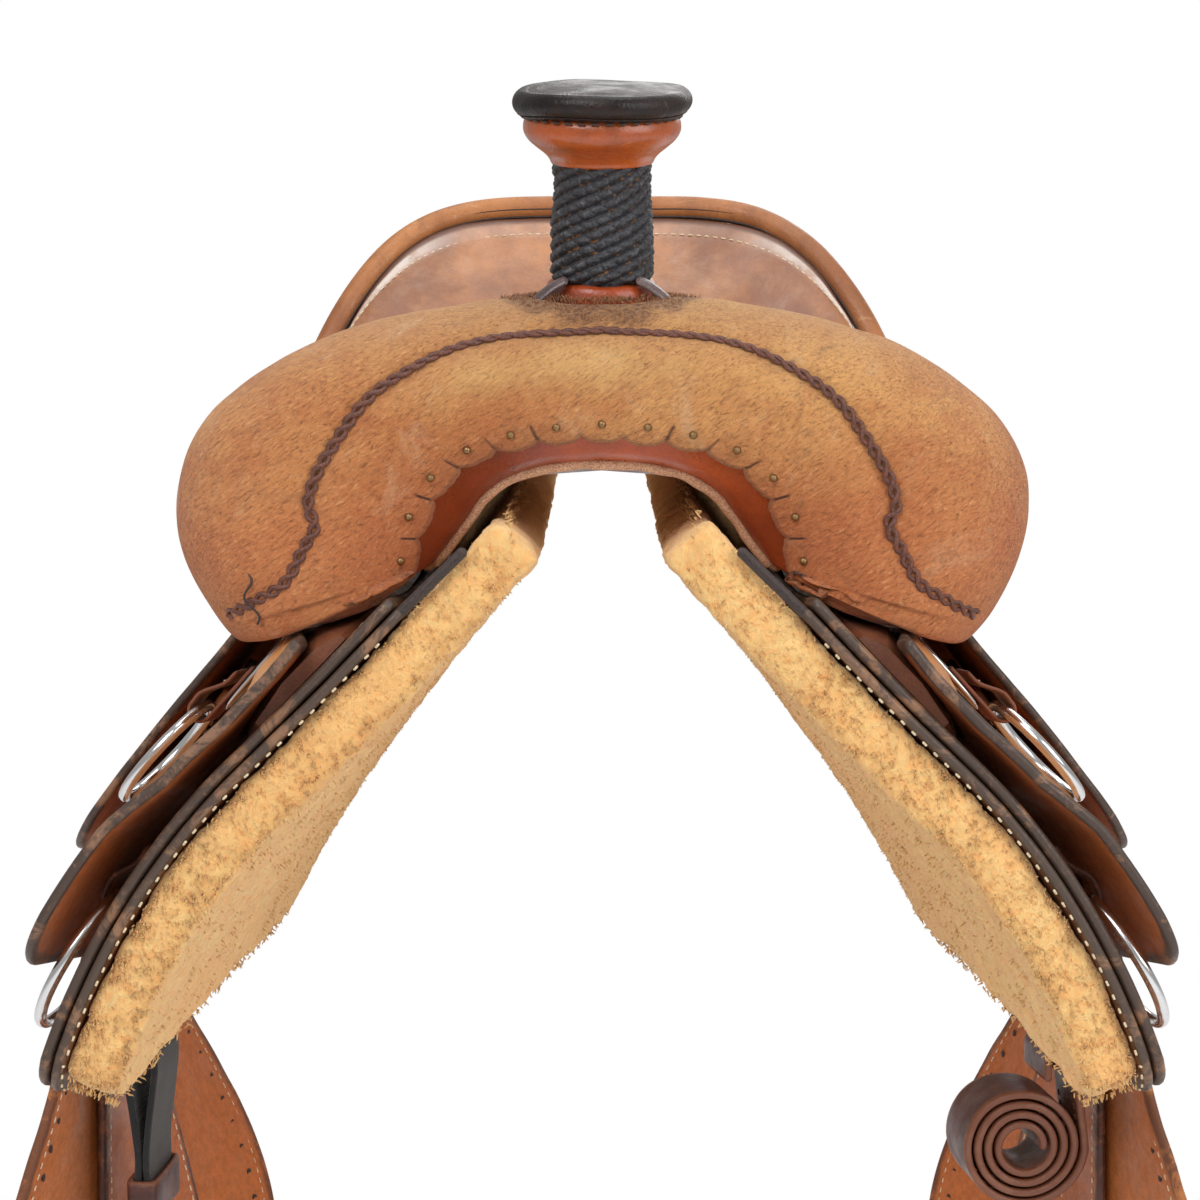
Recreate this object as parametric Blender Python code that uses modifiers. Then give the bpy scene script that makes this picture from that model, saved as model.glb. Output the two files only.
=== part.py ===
"""A ranch saddle, as separate pieces: tree, leather covers, skirts, fleece, rigging, fenders, stirrups.

Metres, +Z up. The front of the saddle faces -Y. The rider's left, the near side, is +X.
Z = 0 is the level of the fleece's inner edge beside the channel over the horse's spine.
"""
import bmesh
import bpy
import numpy as np
from math import cos, pi, radians, sin, sqrt
from mathutils import Matrix, Vector

# Driving sizes of the whole saddle
SKIRT_FRONT_Y = -0.262
SKIRT_REAR_Y = 0.405
CHANNEL_HALF_WIDTH = 0.030
ROCKER_DIP = 0.012
SIDE_DEPTH = 0.29
SIDE_KNEE = 0.135
SIDE_SLOPES = [
    # y, then the slope in degrees beside the channel, at the knee and at the low edge
    (-0.262, 48.0, 43.5, 76.0), (-0.200, 50.0, 47.5, 73.0),
    (-0.140, 51.5, 51.0, 70.0), (0.000, 53.5, 55.0, 70.0),
    (0.140, 50.0, 52.0, 69.0), (0.280, 42.0, 44.0, 62.0), (0.405, 35.0, 36.0, 56.0),
]
SKIRT_DEPTHS = [
    (-0.262, 0.288), (-0.200, 0.262), (-0.130, 0.240), (-0.030, 0.230),
    (0.100, 0.230), (0.250, 0.238), (0.405, 0.245),
]

# Thicknesses and gaps
LAYER_GAP = 0.0009
BED_GAP = 0.0012
TOUCH_GAP = 0.0004
FLEECE = 0.0235
UNDERSKIRT = 0.0042
SKIRT = 0.0048
FRONT_JOCKEY = 0.0045
SEAT_JOCKEY = 0.004
REAR_JOCKEY = 0.004
SEAT_LEATHER = 0.006
GROUND_SEAT = 0.008
GROUND_SEAT_GAP = 0.0013
SWELL_LEATHER = 0.0035
FORK_CLEARANCE = 0.0024
STIRRUP_LEATHER = 0.0045
FENDER_LEATHER = 0.0042

# Bars of the tree
BAR_INNER = 0.052
BAR_OUTER = 0.145
BAR_FRONT_Y = -0.250
BAR_REAR_Y = 0.365
BAR_FORK_THICKNESS = 0.0134
BAR_MIDDLE_THICKNESS = 0.028
BAR_CANTLE_THICKNESS = 0.022
BAR_TIP_THICKNESS = 0.006

# Fork and swell, seen from the front: half outlines from the top centre down to the leg
FORK_Y = -0.190
SWELL_HALF_DEPTH = 0.047
SWELL_SQUARENESS = 2.4
SWELL_OUTER = [
    (0.0, 0.1100), (0.055, 0.1050), (0.109, 0.0925), (0.146, 0.0730), (0.169, 0.0510),
    (0.1775, 0.0225), (0.172, -0.0060), (0.153, -0.0340), (0.132, -0.0300),
]
SWELL_INNER = [
    (0.0, 0.0376), (0.020, 0.0362), (0.036, 0.0315), (0.046, 0.0245), (0.052, 0.0170),
    (0.058, 0.0095), (0.063, 0.0035), (0.067, -0.0005), (0.070, -0.0020),
]
LEG_FOOT_INNER = (0.031, 0.0345)
LEG_FOOT_OUTER = (0.0735, 0.0520)
LINING_BACK_TURN = 246.0
COVER_BACK_TURN = 118.0
LACING_RADIUS = 0.0016
LACING_ROUTE = [
    (0.0, 58.0), (0.118, 58.0), (0.212, 70.5), (0.345, 83.6), (0.497, 88.5),
    (0.565, 91.0), (0.680, 83.0), (0.715, 62.0), (0.728, 40.0),
]

# Horn, along its own axis from the top of the fork
HORN_LEAN = 9.0
HORN_FOOT = (0.0, -0.186, 0.1035)
HORN_STUD = 0.014
HORN_NECK_RADIUS = 0.0166
HORN_CAP_RADIUS = 0.0366
HORN_CAP_THICKNESS = 0.0138
HORN_DISC_RADIUS = 0.0300
HORN_DISC_THICKNESS = 0.006
BELL_HEIGHT = 0.0172
BELL_TOP_RADIUS = 0.0322
BELL_FOOT_RADIUS = 0.0205
COLLAR_RADIUS = 0.0235
COLLAR_HEIGHT = 0.0105
WRAP_LOOPS = 11
WRAP_CORD = 0.0037
WRAP_PITCH = 0.0042
WRAP_POINTS = 24

# Seat and cantle
SEAT_ROWS = [
    # centre y, centre z, edge y, power of the y change, power of the z change
    (-0.1405, 0.0620, -0.1370, 2.0, 2.2),
    (-0.1050, 0.0490, -0.1020, 2.0, 2.2),
    (-0.0500, 0.0385, -0.0500, 2.0, 2.3),
    (0.0100, 0.0345, 0.0080, 2.0, 2.4),
    (0.0650, 0.0360, 0.0560, 2.0, 2.4),
    (0.1150, 0.0455, 0.0980, 2.0, 2.5),
    (0.1600, 0.0660, 0.1300, 2.1, 2.8),
    (0.1950, 0.0930, 0.1530, 2.3, 3.3),
    (0.2220, 0.1200, 0.1680, 2.5, 3.9),
    (0.2420, 0.1415, 0.1780, 2.6, 4.3),
]
SEAT_EDGE_S = 0.083
SEAT_SLOT_RISE = 0.0165
CANTLE_HALF_WIDTH = 0.162
CANTLE_TOP = 0.155
CANTLE_TOP_Y = 0.252
CANTLE_END_Y = 0.184
CANTLE_END_Z = 0.066
CANTLE_ROUND = 4.3
CANTLE_PLAN_ROUND = 2.6
BINDING_RADIUS = 0.0065
RIM_CLEARANCE = 0.0010
CANTLE_BOARD = 0.028
CANTLE_BACK_LEATHER = 0.0035
CANTLE_BACK_RAKE = 0.12

# Stirrup leather, fender and stirrup
PIVOT_S = 0.100
PIVOT_Y = -0.060
STRAP_HALF_WIDTH = 0.038
HANG_LINE = [
    (0.2190, -0.158), (0.2270, -0.190), (0.2280, -0.228), (0.2250, -0.272), (0.2205, -0.318),
    (0.2155, -0.364), (0.2105, -0.410), (0.2060, -0.453),
]
FENDER_WIDTHS = [
    (0.040, 0.046), (0.150, 0.047), (0.190, 0.058), (0.235, 0.088), (0.290, 0.108), (0.350, 0.104),
    (0.415, 0.074), (0.460, 0.046), (0.490, 0.038),
]
STIRRUP_BOLT_Z = -0.545
STIRRUP_X = 0.203
HOBBLE_Z = -0.500
HOBBLE_HEIGHT = 0.024
HOBBLE_LEATHER = 0.004
TWIST_START_Z = -0.170
TWIST_END_Z = -0.470
TWIST = 42.0
BOLT_RADIUS = 0.0045
BOLT_CLEARANCE = 0.0007
STRAND_CLOSE_LOW = 0.0070
STIRRUP_WIDTH = 0.130
STIRRUP_HEIGHT = 0.150
STIRRUP_DEPTH = 0.046
STIRRUP_WALL = 0.011
STIRRUP_HEAD_HALF_WIDTH = 0.044
STIRRUP_EAR = 0.016

# Rings and their straps
RIGGING_RING = 0.033
RIGGING_Y = -0.117
REAR_RIGGING_Y = 0.190
BREAST_RING = 0.033
BREAST_Y = -0.218
BREAST_ROD = 0.0026
TIE_RING = 0.026
TIE_ROD = 0.0024
TIE_Y = -0.196
TIE_S = 0.108
TIE_DROP = 0.030
LIGHT_STRAP = 0.0022
TIE_PLATE = 0.0016
TIE_PLATE_LENGTH = 0.046
TIE_PLATE_WIDTH = 0.024
RING_ROD = 0.0036
RING_CLEARANCE = 0.0015
STRAP_WEIGHT = 0.0032

# Latigo and webbing
LATIGO_WIDTH = 0.034
LATIGO_THICKNESS = 0.0035
LATIGO_LOOPS = 4
LATIGO_CORE = 0.009
LATIGO_GAP = 0.0012
KEEPER_HEIGHT = 0.018
LATIGO_POINTS = 14
WEB_WIDTH = 0.036
WEB_START = 0.034
WEB_MIDDLE = 0.070
WEB_INNER_END = 0.110
WEB_OUTER_END = 0.095
KEEPER_DROP = 0.056
FRONT_STRAP_S = (0.170, 0.236)
BREAST_STRAP_S = (0.150, 0.208)
REAR_STRAP_S = (0.196, 0.232)
RIGGING_STRAP_WIDTH = 0.034
BREAST_STRAP_WIDTH = 0.024
TIE_STRAP_WIDTH = 0.018
TIE_STRAP_START = 0.002
SKIRT_TOP_S = 0.046
SKIRT_INSET = 0.001
WEB_THICKNESS = 0.003


def clear_scene():
    for obj in list(bpy.data.objects):
        bpy.data.objects.remove(obj, do_unlink=True)
    for old in list(bpy.data.collections):
        bpy.data.collections.remove(old)


def new_collection(name):
    made = bpy.data.collections.new(name)
    bpy.context.scene.collection.children.link(made)
    return made


def material(name, colour, roughness, metallic=0.0):
    made = bpy.data.materials.new(name)
    made.use_nodes = True
    shader = made.node_tree.nodes["Principled BSDF"]
    shader.inputs["Base Color"].default_value = (*colour, 1.0)
    shader.inputs["Roughness"].default_value = roughness
    shader.inputs["Metallic"].default_value = metallic
    made.diffuse_color = (*colour, 1.0)
    return made


def finish(obj, skin, smooth_angle=40.0):
    """Links the object to the saddle, gives it its own material and shades it."""
    for holder in list(obj.users_collection):
        holder.objects.unlink(obj)
    SADDLE.objects.link(obj)
    colour, roughness, metallic = FINISHES[skin]
    obj.data.materials.clear()
    obj.data.materials.append(material(obj.name, colour, roughness, metallic))
    if obj.type == "MESH":
        obj.data.shade_smooth()
        obj.data.set_sharp_from_angle(angle=radians(smooth_angle))
    return obj


def mesh_object(name, points, faces):
    mesh = bpy.data.meshes.new(name)
    mesh.from_pydata([tuple(float(c) for c in point) for point in points], [], faces)
    mesh.update()
    return bpy.data.objects.new(name, mesh)


def smooth_step(value):
    value = min(max(value, 0.0), 1.0)
    return value * value * (3.0 - 2.0 * value)


def hump(value, centre, flat, fall):
    """1 within flat of the centre, falling smoothly to 0 over the next fall."""
    return 1.0 - smooth_step((abs(value - centre) - flat) / fall)


def along(points, t):
    """A smooth curve through evenly spaced points, t from 0 to 1."""
    points = np.asarray(points, float)
    count = len(points) - 1
    place = min(max(t, 0.0), 1.0) * count
    i = min(int(place), count - 1)
    f = place - i
    before = points[i - 1] if i > 0 else 2 * points[0] - points[1]
    after = points[i + 2] if i + 2 <= count else 2 * points[-1] - points[-2]
    a, b = points[i], points[i + 1]
    return 0.5 * (
        2 * a
        + (b - before) * f
        + (2 * before - 5 * a + 4 * b - after) * f**2
        + (3 * a - before - 3 * b + after) * f**3
    )


# The side of the saddle: s runs down from the channel, y front to back, lift outward


def smooth_line(stations, y):
    """A smooth curve through (place, value, ...) stations that are unevenly spaced."""
    places = [station[0] for station in stations]
    values = np.array([station[1:] for station in stations], float)
    i = int(np.clip(np.searchsorted(places, y) - 1, 0, len(places) - 2))
    width = places[i + 1] - places[i]
    f = (y - places[i]) / width
    tangents = []
    for k in (i, i + 1):
        low = max(k - 1, 0)
        high = min(k + 1, len(places) - 1)
        tangents.append((values[high] - values[low]) / (places[high] - places[low]) * width)
    a, b = values[i], values[i + 1]
    return (
        a * (2 * f**3 - 3 * f**2 + 1)
        + tangents[0] * (f**3 - 2 * f**2 + f)
        + b * (3 * f**2 - 2 * f**3)
        + tangents[1] * (f**3 - f**2)
    )


def side_base(s, y):
    """The fleece's horse side: its slope changes evenly down to the knee, and evenly again below it."""
    top, knee, low = [radians(slope) for slope in smooth_line(SIDE_SLOPES, y)]
    x = CHANNEL_HALF_WIDTH
    reach = (y - 0.05) / (0.05 - SKIRT_FRONT_Y)
    z = -ROCKER_DIP * (1.0 - reach * reach)
    for first, last, length, done in (
        (top, knee, SIDE_KNEE, min(s, SIDE_KNEE)),
        (knee, low, SIDE_DEPTH - SIDE_KNEE, max(s - SIDE_KNEE, 0.0)),
    ):
        bend = (last - first) / length
        here = first + bend * done
        if abs(here - first) < 1e-7:
            x += done * cos(first)
            z -= done * sin(first)
            continue
        x += (sin(here) - sin(first)) / bend
        z -= (cos(first) - cos(here)) / bend
    return Vector((x, y, z))


def side_normal(s, y):
    step = 0.0005
    down = side_base(s + step, y) - side_base(s - step, y)
    back = side_base(s, y + step) - side_base(s, y - step)
    out = back.cross(down).normalized()
    return out if out.x > 0 else -out


def side_point(s, y, lift, side=1):
    s, y, lift = float(s), float(y), float(lift)
    point = side_base(s, y) + lift * side_normal(s, y)
    return Vector((point.x * side, point.y, point.z))


SKIN = {}


def stack_lifts():
    """Heights of the layers above the fleece's horse side."""
    SKIN["underskirt"] = FLEECE + LAYER_GAP
    SKIN["skirt"] = SKIN["underskirt"] + UNDERSKIRT + LAYER_GAP
    SKIN["skirt_top"] = SKIN["skirt"] + SKIRT
    SKIN["bar"] = SKIN["skirt_top"] + BED_GAP
    SKIN["strap_bed"] = SKIN["bar"] + BAR_MIDDLE_THICKNESS + LAYER_GAP
    SKIN["inner_strap"] = SKIN["strap_bed"] + 2 * BED_GAP
    SKIN["fender"] = SKIN["inner_strap"] + STIRRUP_LEATHER + LAYER_GAP
    SKIN["slot_roof"] = SKIN["fender"] + FENDER_LEATHER + 0.003


def grid_faces(rows, columns):
    faces = []
    for i in range(rows - 1):
        for j in range(columns - 1):
            a = i * columns + j
            faces.append((a, a + 1, a + columns + 1, a + columns))
    return faces


def sheet(name, rows, thickness, skin, outward, offset=1.0):
    """An open grid of points, turned to face outward(centre), with a wall made by Solidify."""
    points = [point for row in rows for point in row]
    faces = grid_faces(len(rows), len(rows[0]))
    obj = mesh_object(name, points, faces)
    mesh = obj.data
    facing = sum(face.normal.dot(outward(face.center)) * face.area for face in mesh.polygons)
    if facing < 0:
        mesh.flip_normals()
    wall = obj.modifiers.new("Wall", "SOLIDIFY")
    wall.thickness = thickness
    wall.offset = offset
    wall.use_even_offset = True
    return finish(obj, skin)


def outward_of_side(side):
    return lambda centre: Vector((side * 0.8, 0.0, 0.6))


def spread(count, ends=0.0):
    """Values from 0 to 1, closer together at both ends as ends goes from 0 to 1."""
    even = np.linspace(0.0, 1.0, count)
    round_ = 0.5 - 0.5 * np.cos(even * pi)
    return even * (1 - ends) + round_ * ends


def rounded_foot(y, y_front, y_rear, radius_front, radius_rear):
    """How far the low edge lifts at y so that its corners are quarter circles."""
    lift = 0.0
    for distance, radius in ((y - y_front, radius_front), (y_rear - y, radius_rear)):
        inside = radius - distance
        if inside > 0 and radius > 0:
            lift += radius - sqrt(max(radius**2 - inside**2, 0.0))
    return lift


def side_sheet(name, side, spec, thickness, skin):
    """A leather layer on the side, from the spec's edges and lift."""
    rows = []
    for j in spread(spec["ny"], 0.55):
        y = spec["front"] + (spec["rear"] - spec["front"]) * j
        top = spec["top"](y)
        foot = spec["foot"](y)
        row = []
        for i in spread(spec["ns"]):
            s = top + (foot - top) * i
            row.append(side_point(s, y, spec["lift"](s, y), side))
        rows.append(row)
    return sheet(name, rows, thickness, skin, outward_of_side(side))


def lofted(name, sections, skin, smooth_angle=40.0):
    """A closed body through rings of equal point counts, with its two ends closed."""
    count = len(sections[0])
    points = [point for ring in sections for point in ring]
    faces = []
    for i in range(len(sections) - 1):
        for j in range(count):
            a = i * count + j
            b = i * count + (j + 1) % count
            faces.append((a, b, b + count, a + count))
    faces.append(tuple(range(count - 1, -1, -1)))
    last = (len(sections) - 1) * count
    faces.append(tuple(last + j for j in range(count)))
    obj = mesh_object(name, points, faces)
    work = bmesh.new()
    work.from_mesh(obj.data)
    bmesh.ops.recalc_face_normals(work, faces=work.faces)
    work.to_mesh(obj.data)
    work.free()
    return finish(obj, skin, smooth_angle)


def tube(name, points, radius, skin, resolution=2, cyclic=False):
    data = bpy.data.curves.new(name, "CURVE")
    data.dimensions = "3D"
    data.bevel_depth = radius
    data.bevel_resolution = resolution
    data.use_fill_caps = not cyclic
    line = data.splines.new("POLY")
    line.points.add(len(points) - 1)
    for spot, point in zip(line.points, points):
        spot.co = (*point, 1.0)
    line.use_cyclic_u = cyclic
    obj = bpy.data.objects.new(name, data)
    return finish(obj, skin)


def turned(name, profile, skin, steps=28, parent=None):
    """A turned body about its own Z axis: the profile runs down the outer side."""
    points = [(radius, 0.0, height) for radius, height in profile]
    mesh = bpy.data.meshes.new(name)
    mesh.from_pydata(points, [(i, i + 1) for i in range(len(points) - 1)], [])
    obj = bpy.data.objects.new(name, mesh)
    spin = obj.modifiers.new("Turn", "SCREW")
    spin.steps = steps
    spin.render_steps = steps
    spin.use_merge_vertices = True
    spin.merge_threshold = 0.00005
    finish(obj, skin)
    obj.parent = parent
    return obj


def flat_plate(name, outlines, thickness, skin):
    """A flat outline, with any holes, given a thickness along its own Z axis."""
    data = bpy.data.curves.new(name, "CURVE")
    data.dimensions = "2D"
    data.fill_mode = "BOTH"
    data.extrude = thickness / 2
    for outline in outlines:
        line = data.splines.new("POLY")
        line.points.add(len(outline) - 1)
        for spot, point in zip(line.points, outline):
            spot.co = (*point, 0.0, 1.0)
        line.use_cyclic_u = True
    obj = bpy.data.objects.new(name, data)
    return finish(obj, skin)


def rounded_rectangle(half_width, half_height, radius, steps=4):
    points = []
    for cx, cy, start in ((1, 1, 0), (-1, 1, 90), (-1, -1, 180), (1, -1, 270)):
        for k in range(steps + 1):
            angle = radians(start + 90.0 * k / steps)
            points.append((
                cx * (half_width - radius) + radius * cos(angle),
                cy * (half_height - radius) + radius * sin(angle),
            ))
    return points


# Tree


def bar_thickness(y):
    stations = [
        (BAR_FRONT_Y, BAR_TIP_THICKNESS),
        (FORK_Y - 0.035, BAR_FORK_THICKNESS),
        (FORK_Y + 0.045, BAR_FORK_THICKNESS),
        (PIVOT_Y - 0.050, BAR_MIDDLE_THICKNESS),
        (PIVOT_Y - 0.020, BAR_MIDDLE_THICKNESS),
        (PIVOT_Y + 0.060, BAR_MIDDLE_THICKNESS),
        (CANTLE_END_Y, BAR_CANTLE_THICKNESS),
        (BAR_REAR_Y, BAR_TIP_THICKNESS),
    ]
    return float(np.interp(y, [place for place, _ in stations], [size for _, size in stations]))


BAR_CROWN = [(0.0, 0.22), (0.22, 1.0), (0.62, 1.0), (0.86, 0.62), (1.0, 0.20)]


def bar_edges(y):
    middle = BAR_INNER + 0.42 * (BAR_OUTER - BAR_INNER)
    inner = middle - 0.42 * bar_width(y)
    return inner, inner + bar_width(y)


def bar_top(s, y):
    """Lift of the bar's top at s, or of the skirt's top beyond the bar's edges."""
    inner, outer = bar_edges(y)
    if y < BAR_FRONT_Y or y > BAR_REAR_Y:
        return SKIN["skirt_top"]
    parts = [-0.02] + [part for part, _ in BAR_CROWN] + [1.12]
    shares = [0.0] + [share for _, share in BAR_CROWN] + [0.0]
    share = float(np.interp((s - inner) / (outer - inner), parts, shares))
    bed = (SKIN["bar"] - SKIN["skirt_top"]) * min(share * 5, 1)
    return SKIN["skirt_top"] + bed + bar_thickness(y) * share


def bar_width(y):
    front = smooth_step((y - BAR_FRONT_Y) / 0.05)
    rear = smooth_step((BAR_REAR_Y - y) / 0.06)
    return (BAR_OUTER - BAR_INNER) * (0.55 + 0.45 * min(front, rear))


BAR_STATIONS = (
    -0.250, -0.225, -0.190, -0.145, -0.122, -0.100, -0.050, 0.0, 0.06, 0.12, 0.18, 0.23, 0.28, 0.325, 0.365,
)


def make_bar(name, side):
    """Wooden bar: its underside follows the skirt and its top is crowned."""
    sections = []
    for y in BAR_STATIONS:
        inner, outer = bar_edges(y)
        ring = []
        for part, share in BAR_CROWN:
            lift = SKIN["bar"] + max(bar_thickness(y) * share, 0.0025)
            ring.append(side_point(inner + part * (outer - inner), y, lift, side))
        for part in (1.0, 0.75, 0.5, 0.25, 0.0):
            ring.append(side_point(inner + part * (outer - inner), y, SKIN["bar"], side))
        sections.append(ring)
    return lofted(name, sections, "wood")


def leg_end(inner):
    s, lift = LEG_FOOT_INNER if inner else LEG_FOOT_OUTER
    point = side_point(s, FORK_Y, lift)
    return (point.x, point.z)


def swell_lines(t):
    """Inner and outer points of the swell at t, from 0 on the centre line to 1 at the leg's foot."""
    outer = along(SWELL_OUTER + [leg_end(False)], t)
    inner = along(SWELL_INNER + [leg_end(True)], t)
    return np.array(inner), np.array(outer)


def swell_point(t, turn, sunk=0.0):
    """A point of the swell: turn is 0 on the outer line, 90 at the front and 180 at the inner line."""
    side = -1.0 if t < 0 else 1.0
    inner, outer = swell_lines(abs(t))
    middle = (inner + outer) / 2
    reach = np.linalg.norm(outer - inner) / 2
    direction = (outer - inner) / (2 * reach)
    depth = SWELL_HALF_DEPTH - 0.006 * smooth_step((abs(t) - 0.8) / 0.2)
    angle = radians(turn)
    power = 2.0 / SWELL_SQUARENESS
    up = np.sign(cos(angle)) * abs(cos(angle)) ** power
    fore = np.sign(sin(angle)) * abs(sin(angle)) ** power
    place = middle + (reach - sunk) * up * direction
    return Vector((side * place[0], FORK_Y - (depth - sunk) * fore, place[1]))


def scallop_turn(t):
    return 120.0 + 16.0 * smooth_step(abs(t) / 0.8)


SWELL_T = [-1.0, -0.92, -0.85, -0.78, -0.7, -0.6, -0.5, -0.4, -0.3, -0.2, -0.1]
SWELL_T = SWELL_T + [0.0] + [-t for t in reversed(SWELL_T)]


def from_fork(centre):
    inner, outer = swell_lines(min(abs(centre.x) / 0.13, 1.0) * 0.6)
    core = (inner + outer) / 2
    return centre - Vector((np.sign(centre.x) * core[0], FORK_Y, core[1]))


def moved_in(rows, distance, facing):
    """The grid moved straight in from its own surface; facing(point) tells which side is out."""
    grid = np.array([[tuple(point) for point in row] for row in rows])
    normals = np.cross(np.gradient(grid, axis=1), np.gradient(grid, axis=0))
    normals /= np.linalg.norm(normals, axis=2)[:, :, None]
    out = np.array([[tuple(facing(Vector(point))) for point in row] for row in grid])
    if (normals * out).sum() < 0:
        normals = -normals
    return grid - distance * normals


def make_fork():
    turns = np.linspace(-24.0, 384.0, 18)
    rows = [[swell_point(t, turn) for turn in turns] for t in SWELL_T]
    core = moved_in(rows, SWELL_LEATHER + FORK_CLEARANCE, from_fork)
    return lofted("fork", [[Vector(point) for point in row[1:-2]] for row in core], "wood")


def swell_sheet(name, turns_at, count, skin, steps=SWELL_T):
    rows = []
    for t in steps:
        start, stop = turns_at(t)
        rows.append([swell_point(t, start + (stop - start) * k / (count - 1)) for k in range(count)])
    return sheet(name, rows, SWELL_LEATHER, skin, from_fork, offset=-1.0)


def make_swell_leathers():
    cover = swell_sheet(
        "swell_cover", lambda t: (scallop_turn(t), -COVER_BACK_TURN), 13, "roughout"
    )
    lining = swell_sheet(
        "gullet_lining", lambda t: (scallop_turn(t) + 4.5, LINING_BACK_TURN - 12.0), 8, "rust_leather"
    )
    return cover, lining


def make_lacing():
    points = []
    total = 28
    for k in range(-total, total + 1):
        t, turn = along(LACING_ROUTE, abs(k) / total)
        t = -t if k < 0 else t
        here = swell_point(t, turn)
        step_t = swell_point(t + 0.004, turn) - swell_point(t - 0.004, turn)
        step_turn = swell_point(t, turn + 1.0) - swell_point(t, turn - 1.0)
        normal = step_t.cross(step_turn).normalized()
        if normal.dot(from_fork(here)) < 0:
            normal = -normal
        points.append(here + normal * (LACING_RADIUS + TOUCH_GAP))
    return tube("swell_lacing", points, LACING_RADIUS, "dark_lace", resolution=1)


# Horn


def make_horn():
    axis = bpy.data.objects.new("horn_axis", None)
    SADDLE.objects.link(axis)
    axis.location = HORN_FOOT
    axis.rotation_euler = (radians(HORN_LEAN), 0.0, 0.0)
    collar_foot = -0.0030
    wrap_foot = collar_foot + COLLAR_HEIGHT + TOUCH_GAP
    wrap_top = wrap_foot + WRAP_LOOPS * WRAP_PITCH + WRAP_CORD
    bell_foot = wrap_top + TOUCH_GAP
    bell_top = bell_foot + BELL_HEIGHT
    disc_foot = bell_top + TOUCH_GAP
    disc_top = disc_foot + HORN_DISC_THICKNESS
    cap_top = disc_foot + HORN_CAP_THICKNESS
    turned("horn_post", [
        (0.0, disc_top), (HORN_DISC_RADIUS - 0.001, disc_top), (HORN_DISC_RADIUS, disc_top - 0.001),
        (HORN_DISC_RADIUS, disc_foot), (HORN_NECK_RADIUS, disc_foot), (HORN_NECK_RADIUS, -HORN_STUD),
        (0.0, -HORN_STUD),
    ], "cast_metal", parent=axis)
    bore = HORN_NECK_RADIUS + TOUCH_GAP
    turned("horn_collar", [
        (bore, collar_foot + COLLAR_HEIGHT), (COLLAR_RADIUS - 0.002, collar_foot + COLLAR_HEIGHT),
        (COLLAR_RADIUS, collar_foot + 0.6 * COLLAR_HEIGHT), (COLLAR_RADIUS + 0.001, collar_foot),
        (bore, collar_foot), (bore, collar_foot + COLLAR_HEIGHT),
    ], "rust_leather", parent=axis)
    bell = [(bore, bell_top), (BELL_TOP_RADIUS - 0.002, bell_top)]
    for k in range(6):
        part = k / 5
        radius = BELL_TOP_RADIUS + (BELL_FOOT_RADIUS - BELL_TOP_RADIUS) * part**1.45
        bell.append((radius, bell_top - 0.002 - (BELL_HEIGHT - 0.003) * part))
    bell += [(BELL_FOOT_RADIUS - 0.001, bell_foot), (bore, bell_foot), (bore, bell_top)]
    turned("horn_neck_leather", bell, "rust_leather", parent=axis)
    recess = HORN_DISC_RADIUS + TOUCH_GAP
    half = HORN_CAP_THICKNESS / 2
    cap = [(0.0, cap_top), (HORN_CAP_RADIUS - 0.010, cap_top - 0.0003)]
    for k in range(7):
        angle = radians(80 - 160 * k / 6)
        cap.append((HORN_CAP_RADIUS - 0.0055 + 0.0055 * cos(angle), cap_top - half + half * sin(angle)))
    cap += [
        (recess, disc_foot), (recess, disc_top + TOUCH_GAP), (0.0, disc_top + TOUCH_GAP),
    ]
    turned("horn_cap", cap, "dark_leather", parent=axis)
    radius = HORN_NECK_RADIUS + WRAP_CORD / 2 + TOUCH_GAP
    start = wrap_foot + WRAP_CORD / 2
    points = []
    for k in range(WRAP_LOOPS * WRAP_POINTS + 1):
        turn = 2 * pi * k / WRAP_POINTS
        points.append(Vector((radius * cos(turn), radius * sin(turn), start + WRAP_PITCH * k / WRAP_POINTS)))
    first = (points[0] - points[1]).normalized() * WRAP_CORD
    last = (points[-1] - points[-2]).normalized() * WRAP_CORD
    points = [points[0] + first] + points + [points[-1] + last]
    wrap = tube("horn_wrap", points, WRAP_CORD / 2, "wrap_cord", resolution=1)
    wrap.parent = axis
    report_gap("horn_wrap", points, WRAP_CORD, WRAP_POINTS)
    wide = COLLAR_RADIUS + 0.001 + TOUCH_GAP
    hole = turned("horn_hole", [
        (0.0, 0.02), (wide, 0.02),
        (wide, collar_foot - TOUCH_GAP), (HORN_NECK_RADIUS + TOUCH_GAP, collar_foot - TOUCH_GAP),
        (HORN_NECK_RADIUS + TOUCH_GAP, -HORN_STUD - TOUCH_GAP), (0.0, -HORN_STUD - TOUCH_GAP),
    ], "cast_metal", parent=axis)
    SADDLE.objects.unlink(hole)
    CUTTERS.objects.link(hole)
    hole.hide_render = True
    hole.display_type = "WIRE"
    return hole


def report_gap(name, points, thickness, apart):
    """Prints the least gap of a wound tube or strap to itself, between points at least half a turn apart."""
    cloud = np.array([tuple(point) for point in points])
    least = 1.0
    for k in range(len(cloud)):
        beyond = cloud[k + apart // 2 + 1:]
        if len(beyond):
            least = min(least, float(np.linalg.norm(beyond - cloud[k], axis=1).min()))
    print(f"{name}: least gap to itself {1000 * (least - thickness):.2f} mm")


def cut(obj, cutter):
    hole = obj.modifiers.new("Hole", "BOOLEAN")
    hole.operation = "DIFFERENCE"
    hole.solver = "EXACT"
    hole.object = cutter


# Seat and cantle


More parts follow.
